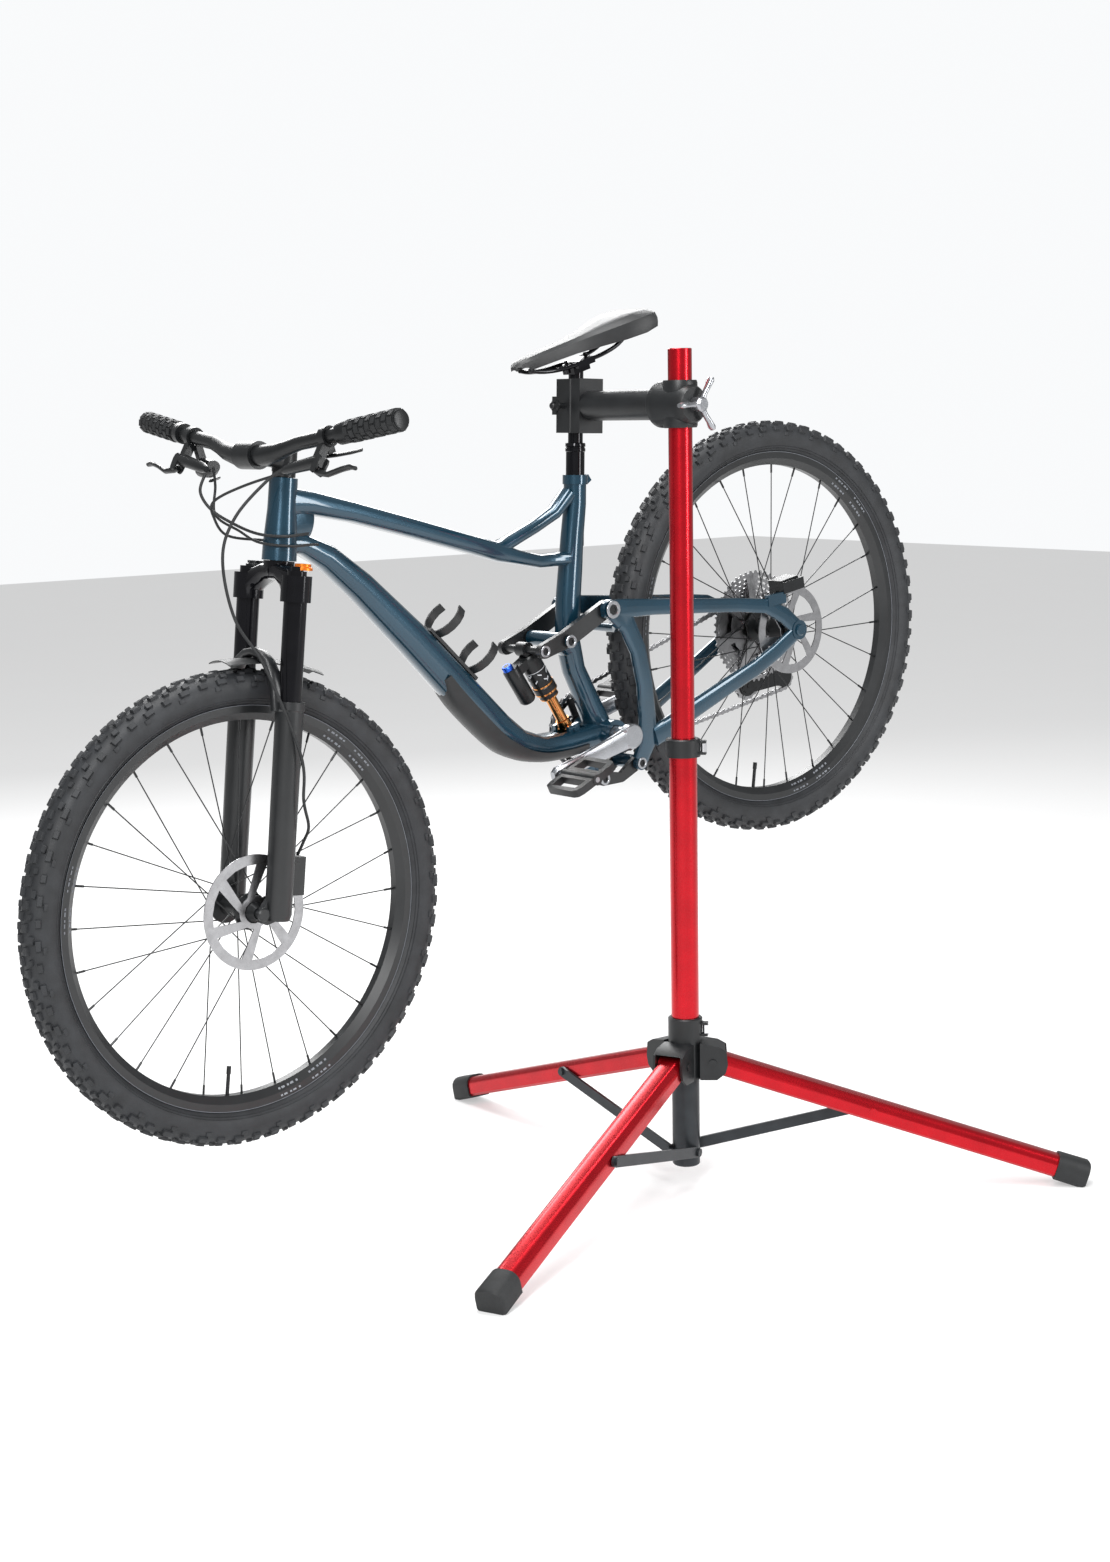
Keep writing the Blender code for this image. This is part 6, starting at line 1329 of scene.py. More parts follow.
LEVER_TILT = math.radians(44)
LEV_F, LEV_D = math.cos(LEVER_TILT), math.sin(LEVER_TILT)
BLADE_PIVOT_Y = 0.196
for name, way in (("left", -1), ("right", 1)):
    y0 = way * 0.186
    f, u, r = bar_row(y0)
    bar_in, bar_out = (W(bar_row(way * y)[0], way * y, bar_row(way * y)[1]) for y in (0.16, 0.215))
    bar_way = (bar_out - bar_in).normalized()
    clampr = turned(
        W(f, y0, u) - bar_way * 0.0065, bar_way, [(0, 0), (0.0158, 0), (0.0158, 0.013), (0, 0.013)], 12
    )

    def p(y, out):
        """A point at y, out from the bar in the lever's own plane."""
        return W(f + out * LEV_F, way * y, u - out * LEV_D)

    cylinder = sweep(
        [
            (*p(0.108, 0.056), 0.005, 0.005), (*p(0.12, 0.0535), 0.0082, 0.0082),
            (*p(0.18, 0.042), 0.01, 0.01), (*p(0.198, 0.041), 0.0085, 0.009)
        ], 10, side=D(LEV_D, 0, LEV_F)
    )
    foot = block(p(0.1862, 0.0275), D(LEV_F, 0, -LEV_D), Y, 0.013, 0.0063, 0.0068)
    pieces = [foot, cylinder]
    pin = p(BLADE_PIVOT_Y, 0.055)
    up = D(LEV_D, 0, LEV_F)
    for s in (-1, 1):
        pieces.append(
            prism(
                slot((0, 0), (0.015, 0), 0.0065, 0.008, 4), pin, -D(LEV_F, 0, -LEV_D), Y * way,
                s * 0.0075 - 0.0016, s * 0.0075 + 0.0016
            )
        )
    pieces.append(rod(pin - up * 0.0085, pin + up * 0.0085, 0.0022, 10))
    body = join(clampr, *pieces)
    if way > 0:
        pod = sweep(
            [
                (*on_bar(0.134, 0.006, 0.04), 0.01, 0.012), (*on_bar(0.146, 0.007, 0.044), 0.014, 0.017),
                (*on_bar(0.162, 0.007, 0.045), 0.015, 0.018), (*on_bar(0.174, 0.006, 0.041), 0.011, 0.013)
            ], 8, side=AHEAD
        )
        stalk = block(W(f + 0.0035, way * 0.1763, u - 0.024), OVER, Y, 0.015, 0.0057, 0.0058)
        body = join(body, pod, stalk)
    else:
        seat = block(W(f - 0.0037, way * 0.1763, u - 0.0173), OVER, Y, 0.0091, 0.0057, 0.0058)
        body = join(body, seat)
    body = cut(body, rod(bar_in, bar_out, 0.0119, 12))
    part("brake_body_" + name, body, BLACK)
    blade_rows = [
        (*pin + Y * way * -0.004, 0.004, 0.0045),
        (*pin + Y * way * 0.006 + D(LEV_F, 0, -LEV_D) * 0.003, 0.0055, 0.005),
        (*pin + Y * way * 0.03 + D(LEV_F, 0, -LEV_D) * 0.006, 0.005, 0.0038),
        (*pin + Y * way * 0.06 - D(LEV_F, 0, -LEV_D) * 0.003, 0.0055, 0.0034),
        (*pin + Y * way * 0.08 - D(LEV_F, 0, -LEV_D) * 0.007, 0.0058, 0.0034),
        (*pin + Y * way * 0.092 - D(LEV_F, 0, -LEV_D) * 0.005, 0.004, 0.0032)
    ]
    blade = sweep(blade_rows, 8, side=D(LEV_F, 0, -LEV_D))
    blade = cut(blade, rod(pin - up * 0.02, pin + up * 0.02, 0.0025, 10))
    part("brake_blade_" + name, blade, BLACK)

pad_pin = on_bar(0.15, 0.007, 0.062)
paddle = sweep(
    [
        (*pad_pin + D(0, 0, -1) * 0.0015, 0.0025, 0.006),
        (*pad_pin + Y * 0.012 + D(-1, 0, -0.2) * 0.008 + D(0, 0, -1) * 0.0015, 0.0022, 0.0055),
        (*pad_pin + Y * 0.024 + D(-1, 0, -0.2) * 0.02 + D(0, 0, -1) * 0.002, 0.0022, 0.0065),
        (*pad_pin + Y * 0.031 + D(-1, 0, -0.2) * 0.03 + D(0, 0, -1) * 0.003, 0.002, 0.005)
    ], 10, side=AHEAD
)
part("shifter_paddle", paddle, BLACK)
f, u, r = bar_row(-0.176)
drop_pin = W(f - 0.004, -0.176, u - 0.029)
paddle = sweep(
    [
        (*drop_pin + Y * 0.005, 0.003, 0.008),
        (*drop_pin - Y * 0.012 + D(-1, 0, 0) * 0.004, 0.0026, 0.007),
        (*drop_pin - Y * 0.03 + D(-1, 0, 0) * 0.016, 0.0026, 0.008),
        (*drop_pin - Y * 0.042 + D(-1, 0, 0) * 0.028, 0.0022, 0.007)
    ], 10, side=AHEAD
)
part("dropper_lever", paddle, BLACK)

# ================================================================ bicycle: wheels


def knob(foot, radial, around, y_way, length, width, height, lean=0.0):
    """One tread block: a box with sloping sides, sunk a little into the casing."""
    rings = []
    for h, shrink in ((-0.0015, 1.12), (height * 0.85, 0.98), (height, 0.88)):
        ring = []
        for sx, sy in ((-1, -1), (1, -1), (1, 1), (-1, 1)):
            ring.append(
                foot + radial * h + around * (
                    sx * length / 2 * shrink + lean * sy * width / 2
                ) + y_way * sy * width / 2 * shrink
            )
        rings.append(ring)
    return loft(rings)


def tread(name, centre):
    """Rows of blocks across the crown, with taller edge blocks and fine ribs down the side."""
    rows = 68
    blocks = []
    for k in range(rows):
        t = 2 * math.pi * k / rows
        odd = k % 2
        for side_of in (-1, 1):
            spots = [(0.36725, 0.0062 + 0.0015 * odd, 6, 0.0125, 0.0085, 0.0043, 0.1, 0.0)]
            spots.append(
                (
                    0.3632, 0.0176, 32, 0.011, 0.0075, 0.0046, -0.12, 0.5
                ) if odd else (0.365, 0.0152, 26, 0.0085, 0.006, 0.0042, 0.15, 0.5)
            )
            spots.append((0.3572, 0.0248, 58, 0.015 if odd else 0.012, 0.008, 0.0048, 0.06, 0.25))
            if odd:
                spots.append((0.349, 0.0284, 82, 0.01, 0.006, 0.0016, 0.0, 0.0))
            for r, y, fan, length, width, height, lean, phase in spots:
                a = t + 2 * math.pi / rows * (phase + (0.5 if side_of > 0 else 0.0))
                out_way = D(math.cos(a), 0, math.sin(a))
                around = D(-math.sin(a), 0, math.cos(a))
                f = math.radians(fan)
                radial = out_way * math.cos(f) + Y * side_of * math.sin(f)
                y_way = Y * side_of * math.cos(f) - out_way * math.sin(f)
                blocks.append(
                    knob(
                        centre + out_way * r + Y * side_of * y, radial, around, y_way, length, width,
                        height, lean
                    )
                )
    extra(name + "_tread", merge(blocks), TYRE, name + "_tyre", 30)
    for way in (-1, 1):
        ribs = []
        for r, y in ((0.3225, 0.02235), (0.3262, 0.025)):
            ribs.append(
                turned(
                    centre, Y,
                    [
                        (r, way * y), (r + 0.0012, way * (y + 0.0006)), (r + 0.0004, way * (y + 0.0012)),
                        (r, way * y)
                    ], 72
                )
            )
        extra(name + "_bead_ribs_%s" % SIDES[way], merge(ribs), TYRE, name + "_tyre")


def wheel(name, centre, left_flange, right_flange, flange_r):
    """Tyre and rim about an axle along y. Returns the wheel's spokes, which go with its hub."""
    outer = [
        (0.3128, 0.0154), (0.3172, 0.0154), (0.323, 0.0228), (0.33, 0.0272), (0.34, 0.029),
        (0.35, 0.0284), (0.358, 0.0245), (0.364, 0.0175), (0.3668, 0.009)
    ]
    inner = [(0.362, 0.014), (0.3128, 0.0122)]
    tyre_profile = outer + [(0.3676, 0.0)] + [(r, -y) for r, y in outer[::-1]]
    tyre_profile += [(r, -y) for r, y in inner[::-1]] + inner + outer[:1]
    tread(name, centre)
    part(name + "_tyre", turned(centre, Y, tyre_profile, 72), RUBBER)
    wall = [(RIM_R, 0.0158), (RIM_R, 0.0173), (0.305, 0.017), (0.2935, 0.007)]
    bed = [(0.3115, 0.0158)]
    rim_profile = wall + [
        (r, -y) for r, y in wall[::-1]
    ] + [(r, -y) for r, y in bed[::-1]] + bed + wall[:1]
    part(name + "_rim", turned(centre, Y, rim_profile, 72), GLOSS)
    for way in (-1, 1):
        line = [(0.3162, 0.0176), (0.3168, 0.018), (0.3172, 0.0176), (0.3162, 0.0176)]
        extra(
            name + "_rim_line_%s" % SIDES[way], turned(centre, Y, [(r, way * y) for r, y in line], 72),
            GREY, name + "_rim"
        )
        marks = []
        for k in range(6):
            t = 2 * math.pi * (k // 2) / 3 + (0.1 if k % 2 else -0.1) + 0.5
            tilt = [(0.2985, 0.01195), (0.312, 0.01735)]
            for j in range(5):
                a0, a1 = t - 0.07 + 0.028 * j, t - 0.07 + 0.028 * j + 0.012 + 0.008 * (j % 2)
                ring = []
                for depth in (0.0001, 0.0008):
                    ring.append(
                        [
                            centre + D(math.cos(a), 0, math.sin(a)) * r + Y * way * (y + depth) for a,
                            (r, y) in ((a0, tilt[0]), (a0, tilt[1]), (a1, tilt[1]), (a1, tilt[0]))
                        ]
                    )
                marks.append(loft(ring))
        extra(name + "_rim_marks_%s" % SIDES[way], merge(marks), GREY, name + "_rim")
    valve_way = D(math.cos(-1.15), 0, math.sin(-1.15))
    extra(
        name + "_valve",
        merge(
            [
                rod(centre + valve_way * 0.2935, centre + valve_way * 0.256, 0.003, 10),
                rod(centre + valve_way * 0.26, centre + valve_way * 0.248, 0.0037, 6)
            ]
        ), BLACK, name + "_rim"
    )
    spokes = []
    for k in range(SPOKES):
        t = 2 * math.pi * (k + 0.5) / SPOKES
        left = k % 2 == 0
        y = left_flange if left else right_flange
        way = D(math.cos(t), 0, math.sin(t))
        lead = 1.15 if k // 2 % 2 else -1.15
        hub_way = D(math.cos(t + lead), 0, math.sin(t + lead))
        start = centre + hub_way * (flange_r - 0.003) + Y * y
        end = centre + way * 0.2945 + Y * (0.003 if not left else -0.003)
        spokes.append(rod(start, end, 0.001, 4))
        spokes.append(rod(end - (end - start).normalized() * 0.016, end, 0.0019, 4))
    return spokes


front_spokes = wheel("front", FA, -0.0315, 0.039, 0.029)
front_hub = turned(
    FA, Y,
    [
        (0.0076, -0.0545), (0.0088, -0.0545), (0.015, -0.044), (0.0166, -0.0398), (0.029, -0.0335),
        (0.029, -0.0295), (0.015, -0.023), (0.015, 0.033), (0.029, 0.037), (0.029, 0.041),
        (0.014, 0.0445), (0.0088, 0.0545), (0.0076, 0.0545), (0.0076, -0.0545)
    ], 14
)
part("front_hub", join(front_hub, merge(front_spokes)), BLACK)
rear_spokes = wheel("rear", AXLE, -0.035, 0.021, 0.029)
rear_hub = turned(
    AXLE, Y,
    [
        (0.0066, -0.0735), (0.0105, -0.0735), (0.016, -0.0645), (0.0166, -0.059), (0.029, -0.037),
        (0.029, -0.033), (0.016, -0.028), (0.016, 0.015), (0.029, 0.019), (0.029, 0.023), (0.0174, 0.027),
        (0.0174, 0.064), (0.0105, 0.0735), (0.0066, 0.0735), (0.0066, -0.0735)
    ], 14
)
part("rear_hub", join(rear_hub, merge(rear_spokes)), BLACK)


def rotor(name, centre, y, r, thick, hub_r, arms):
    """A braking ring on a star of arms."""
    n = 96
    outline = [(r * math.cos(2 * math.pi * i / n), r * math.sin(2 * math.pi * i / n)) for i in range(n)]
    inner = r - 0.0155
    windows = []
    root = hub_r + 0.0085
    for k in range(arms):
        t0 = 2 * math.pi * (k + 0.12) / arms
        t1 = 2 * math.pi * (k + 0.88) / arms
        lean = 0.42
        window = []
        for i in range(4):
            t = t0 + (t1 - t0) * i / 3
            window.append((inner * math.cos(t), inner * math.sin(t)))
        for i in range(3):
            t = t1 - lean - (t1 - t0) * 0.18 - (t1 - t0 - 0.36 * (t1 - t0)) * i / 2
            window.append((root * math.cos(t), root * math.sin(t)))
        windows.append(window)
    windows.append(disc(hub_r, 14))
    return part(
        name, prism(outline, centre + Y * y, AHEAD, OVER, -thick / 2, thick / 2, holes=windows), STEEL
    )


rotor("front_rotor", FA, ROTOR_Y, FRONT_ROTOR_R, 0.0018, 0.0175, 6)
rotor("rear_rotor", AXLE, REAR_ROTOR_Y, REAR_ROTOR_R, 0.0018, 0.0175, 6)

# ================================================================ bicycle: drivetrain
CHAIN_Y = 0.0507
SPROCKET_R = 0.052
cogs = []
sizes = [0.102, 0.0925, 0.084, 0.076, 0.069, 0.062, 0.056, 0.051, 0.045, 0.039, 0.033, 0.027]
for k, r in enumerate(sizes):
    teeth = int(2 * math.pi * r / 0.0127)
    edge = []
    for j in range(teeth):
        for part_of, rr in ((0.0, r), (0.22, r), (0.4, r - 0.0042), (0.82, r - 0.0042)):
            t = 2 * math.pi * (j + part_of) / teeth
            edge.append((rr * math.cos(t), rr * math.sin(t)))
    holes = []
    if r > 0.04:
        arms = 7
        lip = r - 0.0095
        for j in range(arms):
            t0, t1 = 2 * math.pi * (j + 0.11) / arms, 2 * math.pi * (j + 0.83) / arms
            inner = max(0.0215, lip - 0.022) if k > 1 else 0.03
            holes.append(
                [
                    (lip * math.cos(t0 + (t1 - t0) * i / 4), lip * math.sin(t0 + (t1 - t0) * i / 4))
                    for i in range(5)
                ] + [(
                    inner * math.cos(t1 - 0.05 - (t1 - t0 - 0.13) * i / 2),
                    inner * math.sin(t1 - 0.05 - (t1 - t0 - 0.13) * i / 2)
                ) for i in range(3)]
            )
    holes.append(disc(0.0178, 20))
    y = 0.0295 + 0.00325 * k
    cogs.append(prism(edge, AXLE + Y * y, AHEAD, OVER, 0, 0.0016, holes=holes))
cogs.append(ring_solid(AXLE, Y, 0.0178, 0.02, 0.029, 0.068, 20))
part("cassette", merge(cogs), STEEL)

BBC = W(BB[0], 0, BB[1])
ARM_WAY = D(math.cos(CRANK_ANGLE), 0, math.sin(CRANK_ANGLE))
RING_R = 0.064
crank_parts = [rod(BBC - Y * 0.088, BBC + Y * 0.088, 0.0146, 12)]
for side_of, way in ((-1, 1), (1, -1)):
    y = side_of * 0.0835
    arm_rows = [
        (*BBC + ARM_WAY * way * -0.006 + Y * y, 0.019, 0.0072),
        (*BBC + ARM_WAY * way * 0.025 + Y * y, 0.0175, 0.0075),
        (*BBC + ARM_WAY * way * 0.09 + Y * y, 0.014, 0.0068),
        (*BBC + ARM_WAY * way * 0.15 + Y * y, 0.0135, 0.0066),
        (*BBC + ARM_WAY * way * (CRANK + 0.006) + Y * y, 0.0135, 0.0066),
        (*BBC + ARM_WAY * way * (CRANK + 0.0145) + Y * y, 0.008, 0.0055)
    ]
    crank_parts.append(sweep(arm_rows, 8, power=3.4))
    crank_parts.append(
        turned(
            BBC + Y * side_of * 0.0765, Y * side_of,
            [(0, 0), (0.0215, 0), (0.0215, 0.012), (0.019, 0.0145), (0.0, 0.0145)], 12
        )
    )
    pin_from = BBC + ARM_WAY * way * CRANK + Y * side_of * 0.085
    crank_parts.append(rod(pin_from, pin_from + Y * side_of * 0.096, 0.0045, 8))
ring_holes = []
for k in range(4):
    t0 = 2 * math.pi * (k + 0.163 + 0.004 * k) / 4
    t1 = 2 * math.pi * (k + 0.837 + 0.004 * k) / 4
    win = [
        (0.053 * math.cos(t0 + (t1 - t0) * i / 4), 0.053 * math.sin(t0 + (t1 - t0) * i / 4))
        for i in range(5)
    ]
    win += [
        (
            0.027 * math.cos(t1 - 0.11 - (t1 - t0 - 0.17) * i / 2),
            0.027 * math.sin(t1 - 0.11 - (t1 - t0 - 0.17) * i / 2)
        ) for i in range(3)
    ]
    ring_holes.append(win)
teeth_of_ring = []
for j in range(32):
    for part_of, rr in ((0.0, RING_R), (0.2, RING_R), (0.42, RING_R - 0.0045), (0.8, RING_R - 0.0045)):
        t = 2 * math.pi * (j + part_of) / 32
        teeth_of_ring.append((rr * math.cos(t), rr * math.sin(t)))
chainring = prism(teeth_of_ring, BBC + Y * CHAIN_Y, AHEAD, OVER, -0.0012, 0.0012, holes=ring_holes)
spider = turned(
    BBC, Y,
    [
        (0, 0.047), (0.022, 0.047), (0.024, 0.0515), (0.024, 0.056), (0.018, 0.06), (0.018, 0.079),
        (0, 0.079)
    ], 12
)
extra("chainring", merge([chainring, spider]), BLACK, "crankset")
crank = join(crank_parts[0], *crank_parts[1:])
part("crankset", crank, SILVER)

for name, side_of, way in (("left", -1, 1), ("right", 1, -1)):
    centre = BBC + ARM_WAY * way * CRANK + Y * side_of * 0.139
    lean = math.radians(-8)
    a, b = D(math.cos(lean), 0, math.sin(lean)), D(-math.sin(lean), 0, math.cos(lean))
    frame_outline = [
        (-0.044, -0.038), (-0.033, -0.041), (0.033, -0.041), (0.044, -0.038), (0.048, -0.03),
        (0.048, 0.03), (0.044, 0.038), (0.033, 0.041), (-0.033, 0.041), (-0.044, 0.038), (-0.048, 0.03),
        (-0.048, -0.03)
    ]
    holes = [
        [(0.015, -0.0304), (0.038, -0.0281), (0.04, 0.0287), (0.0153, 0.0309)],
        [(-0.015, -0.0312), (-0.0379, -0.0275), (-0.04, 0.0291), (-0.0154, 0.0315)]
    ]
    plate_p = prism(frame_outline, centre, a, Y, -0.0065, 0.0065, holes=holes)
    core = rod(centre - Y * 0.042, centre + Y * 0.042, 0.0095, 8)
    pedal = cut(join(plate_p, core), rod(centre - Y * 0.06, centre + Y * 0.06, 0.005, 8))
    part("pedal_" + name, pedal, STEEL)

# chain: a closed band about chainring, sprocket and the two jockey wheels
GUIDE = 0.036, -0.105
TENSION = -0.056, -0.124
JOCKEY_R = 0.0235


def tangent(c0, r0, c1, r1):
    """Where a belt leaves circle 0 and meets circle 1.

    A radius is positive where the belt turns left round it.
    """
    dx, dy = c1[0] - c0[0], c1[1] - c0[1]
    d = math.hypot(dx, dy)
    base = math.atan2(dy, dx)
    t = base + math.asin((r0 - r1) / d) - math.pi / 2
    nx, ny = math.cos(t), math.sin(t)
    return (c0[0] + r0 * nx, c0[1] + r0 * ny), (c1[0] + r1 * nx, c1[1] + r1 * ny)


wheels_of_belt = [
    (BB, RING_R + 0.0022), ((0.0, 0.0), SPROCKET_R + 0.002), (GUIDE, -JOCKEY_R), (TENSION, JOCKEY_R)
]
spans = [tangent(*wheels_of_belt[i], *wheels_of_belt[(i + 1) % 4]) for i in range(4)]
belt = []
for i in range(4):
    arrive = spans[i - 1][1]
    leave = spans[i][0]
    c, r = wheels_of_belt[i]
    t0 = math.atan2(arrive[1] - c[1], arrive[0] - c[0])
    t1 = math.atan2(leave[1] - c[1], leave[0] - c[0])
    if r > 0:
        while t1 < t0:
            t1 += 2 * math.pi
    else:
        while t1 > t0:
            t1 -= 2 * math.pi
    steps = max(3, int(abs(t1 - t0) / 0.34))
    for k in range(steps + 1):
        t = t0 + (t1 - t0) * k / steps
        belt.append((c[0] + abs(r) * math.cos(t), c[1] + abs(r) * math.sin(t), i))
line = [Vector((bx, by)) for bx, by, _ in belt]
line.append(line[0])
total = sum(((q - p).length for p, q in zip(line, line[1:])))
count = 2 * int(total / 0.0127 / 2)
pitch = total / count
stops, done, k = [], 0.0, 0
for j in range(count):
    want = j * pitch
    while done + (line[k + 1] - line[k]).length < want:
        done += (line[k + 1] - line[k]).length
        k += 1
    stops.append(line[k].lerp(line[k + 1], (want - done) / (line[k + 1] - line[k]).length))
links = []
for j, p in enumerate(stops):
    q = stops[(j + 1) % count]
    mid, along = (p + q) / 2, (q - p).normalized()
    plate_y = 0.003 if j % 2 else 0.0021
    for way in (-1, 1):
        shape = [
            (-0.0098, -0.0022), (-0.0064, -0.004), (-0.0025, -0.0027), (0.0025, -0.0027),
            (0.0064, -0.004), (0.0098, -0.0022), (0.0098, 0.0022), (0.0064, 0.004), (0.0025, 0.0027),
            (-0.0025, 0.0027), (-0.0064, 0.004), (-0.0098, 0.0022)
        ]
        links.append(
            prism(
                shape, W(mid.x, CHAIN_Y + way * plate_y, mid.y), D(along.x, 0, along.y),
                D(-along.y, 0, along.x), -0.0004, 0.0004
            )
        )
    links.append(rod(W(p.x, CHAIN_Y - 0.0036, p.y), W(p.x, CHAIN_Y + 0.0036, p.y), 0.0017, 4))
    links.append(rod(W(p.x, CHAIN_Y - 0.0018, p.y), W(p.x, CHAIN_Y + 0.0018, p.y), 0.0037, 4))
part("chain", merge(links), STEEL)

der = prism(
    slot((-0.025, -0.037), (-0.002, -0.056), 0.012, 0.011, 6), W(0, 0.0702, 0), AHEAD, OVER, -0.006, 0.006
)
knuckle = prism(
    slot((-0.002, -0.056), GUIDE, 0.0108, 0.012, 6), W(0, 0.0665, 0), AHEAD, OVER, -0.006, 0.006
)
bolt = rod(W(-0.02, 0.0646, -0.03), W(-0.02, 0.0761, -0.03), 0.0078, 10)
der_pin = rod(W(GUIDE[0], 0.042, GUIDE[1]), W(GUIDE[0], 0.064, GUIDE[1]), 0.004, 10)
part("derailleur_body", join(der, knuckle, bolt, der_pin), BLACK)
cage_outer = prism(slot(GUIDE, TENSION, 0.0165, 0.015, 6), W(0, 0.057, 0), AHEAD, OVER, -0.0011, 0.0011)
cage_inner = prism(slot(GUIDE, TENSION, 0.014, 0.013, 6), W(0, 0.044, 0), AHEAD, OVER, -0.0011, 0.0011)
jockeys = [
    rod(W(c[0], 0.0445, c[1]), W(c[0], 0.0565, c[1]), JOCKEY_R - 0.0042, 14) for c in (GUIDE, TENSION)
]
cage = join(cage_outer, cage_inner, *jockeys)
cage = cut(cage, rod(W(GUIDE[0], 0.04, GUIDE[1]), W(GUIDE[0], 0.06, GUIDE[1]), 0.0043, 10))
part("derailleur_cage", cage, BLACK)

# bottle cage: two hoops and a back plate on the down tube
base_cage = W(0.6609, 0, 0.1718)
top_cage = W(0.7157, 0, 0.2706)
along = (top_cage - base_cage).normalized()
away = along.cross(Y).normalized()
if away.z < 0:
    away = -away
plate_c = block((base_cage + top_cage) / 2, along, Y, 0.064, 0.011, 0.0028)
hoops = []
for at_s, r in ((-0.045, 0.0345), (0.048, 0.0345)):
    c = (base_cage + top_cage) / 2 + along * at_s + away * 0.0355
    hoops.append(
        [
            c + Y * r * math.cos(
                math.radians(-90 + k * 22)
            ) + away * r * math.sin(math.radians(-90 + k * 22)) for k in range(-6, 7)
        ]
    )
hoop_parts = []
for pts in hoops:
    rings = []
    for k, p in enumerate(pts):
        tang = (pts[min(k + 1, len(pts) - 1)] - pts[max(k - 1, 0)]).normalized()
        nrm = along.cross(tang).normalized()
        rings.append(
            [
                p + along * (0.0075 * sx) + nrm * (0.0014 * sy) for sx,
                sy in ((-1, -1), (1, -1), (1, 1), (-1, 1))
            ]
        )
    hoop_parts.append(loft(rings))
cage = join(plate_c, *hoop_parts)
for k in (-1, 1):
    cage = join(
        cage,
        rod(
            (base_cage + top_cage) / 2 + along * 0.028 * k + away * 0.001,
            (base_cage + top_cage) / 2 + along * 0.028 * k + away * 0.0048, 0.005, 8
        )
    )
part("bottle_cage", cage, BLACK)

# ================================================================ cables held by the bicycle
HOSE_R = 0.0024


def cord_piece(name, points, r, start, end, nodes):
    """A hose or cable as a fixed round tube along a smooth path through the points."""
    path = [Vector(p) for p in smooth_path(points, 5)]
    bm = tube(points, r, 6, 5)
    me = bpy.data.meshes.new(name)
    bm.to_mesh(me)
    bm.free()
    smooth(me, 60)
    me.materials.append(RUBBER)
    obj = bpy.data.objects.new(name, me)
    bpy.context.scene.collection.objects.link(obj)
    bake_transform(obj)
    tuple(start)
    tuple(end)
    if nodes:
        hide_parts(*nodes)
    length = sum(((q - p).length for p, q in zip(path, path[1:])))
    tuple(path[0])


hose = [
    W(0.956, -0.102, 0.631), W(0.978, -0.082, 0.62), W(1.035, -0.058, 0.582), W(1.072, -0.05, 0.53),
    W(1.086, -0.056, 0.44), W(1.072, -0.076, 0.356), fork(0.29, 0.005, -0.096),
    fork(0.36, -0.005, -0.096), fork(0.4, -0.022, -0.088), fork(0.425, -0.03, -0.066),
    fork(FORK_S - 0.0885, -0.029, -0.052)
]
cord_piece(
    "front_brake_hose.look", hose, HOSE_R, hose[4], fork(0.3, 0.0, -0.096),
    ("front_brake_hose",)
)
rear_hose = [
    W(0.97, 0.102, 0.625), W(0.988, 0.102, 0.602), W(0.986, 0.088, 0.572), W(0.975, 0.05, 0.545),
    W(0.97, 0.0, 0.53), W(0.95, -0.035, 0.52), W(0.923, -0.038, 0.513), W(0.905, -0.031, 0.508)
]
shift = [
    W(0.938, 0.128, 0.624), W(0.956, 0.108, 0.6), W(0.98, 0.092, 0.562), W(0.972, 0.05, 0.534),
    W(0.974, 0.0, 0.518), W(0.946, -0.038, 0.503), W(0.912, -0.039, 0.493), W(0.893, -0.031, 0.486)
]
cord_piece(
    "rear_brake_hose.look", rear_hose, HOSE_R, rear_hose[1], rear_hose[6],
    ("rear_hose_pair",)
)
cord_piece("shift_cable.look", shift, 0.0021, shift[1], shift[6], ())
dropper = [
    W(0.92, -0.15, 0.627), W(0.945, -0.09, 0.622), W(0.985, -0.02, 0.612), W(1.012, 0.03, 0.596),
    W(1.008, 0.05, 0.568), W(0.99, 0.058, 0.533), W(0.94, 0.044, 0.508), W(0.905, 0.03, 0.496)
]
cord_piece(
    "dropper_cable.look", dropper, 0.0021, dropper[2], dropper[6], ("dropper_cable",)
)


# ================================================================ details
extra("rear_caliper", rear_caliper, BLACK, "rear_triangle")


def outer_face(p, way, reach, nodes):
    """How far out along y the solids reach near the axis through p."""
    ys = [
        way * (v.co.y - p.y) for node in nodes
        for v in CAD_NODES[node].data.vertices if math.hypot(v.co.x - p.x, v.co.z - p.z) < reach
    ]
    return max(ys)


def pivot_ring(name, p, way, nodes, r, like):
    """A silver ring round a dark bolt head with a socket."""
    base = p + Y * way * (outer_face(p, way, r * 1.6, nodes) + 0.0002)
    extra(
        name,
        turned(
            base, Y * way,
            [
                (r * 0.55, 0.0), (r, 0.0), (r, 0.0016), (r * 0.93, 0.0026), (r * 0.66, 0.0026),
                (r * 0.55, 0.0014), (r * 0.55, 0.0)
            ], 20
        ), SILVER, like
    )
    extra(
        name + "_bolt",
        turned(
            base, Y * way,
            [
                (0, 0.0004), (r * 0.54, 0.0004), (r * 0.54, 0.002), (r * 0.3, 0.002), (r * 0.26, 0.0006),
                (0, 0.0006)
            ], 16
        ), BLACK, like
    )


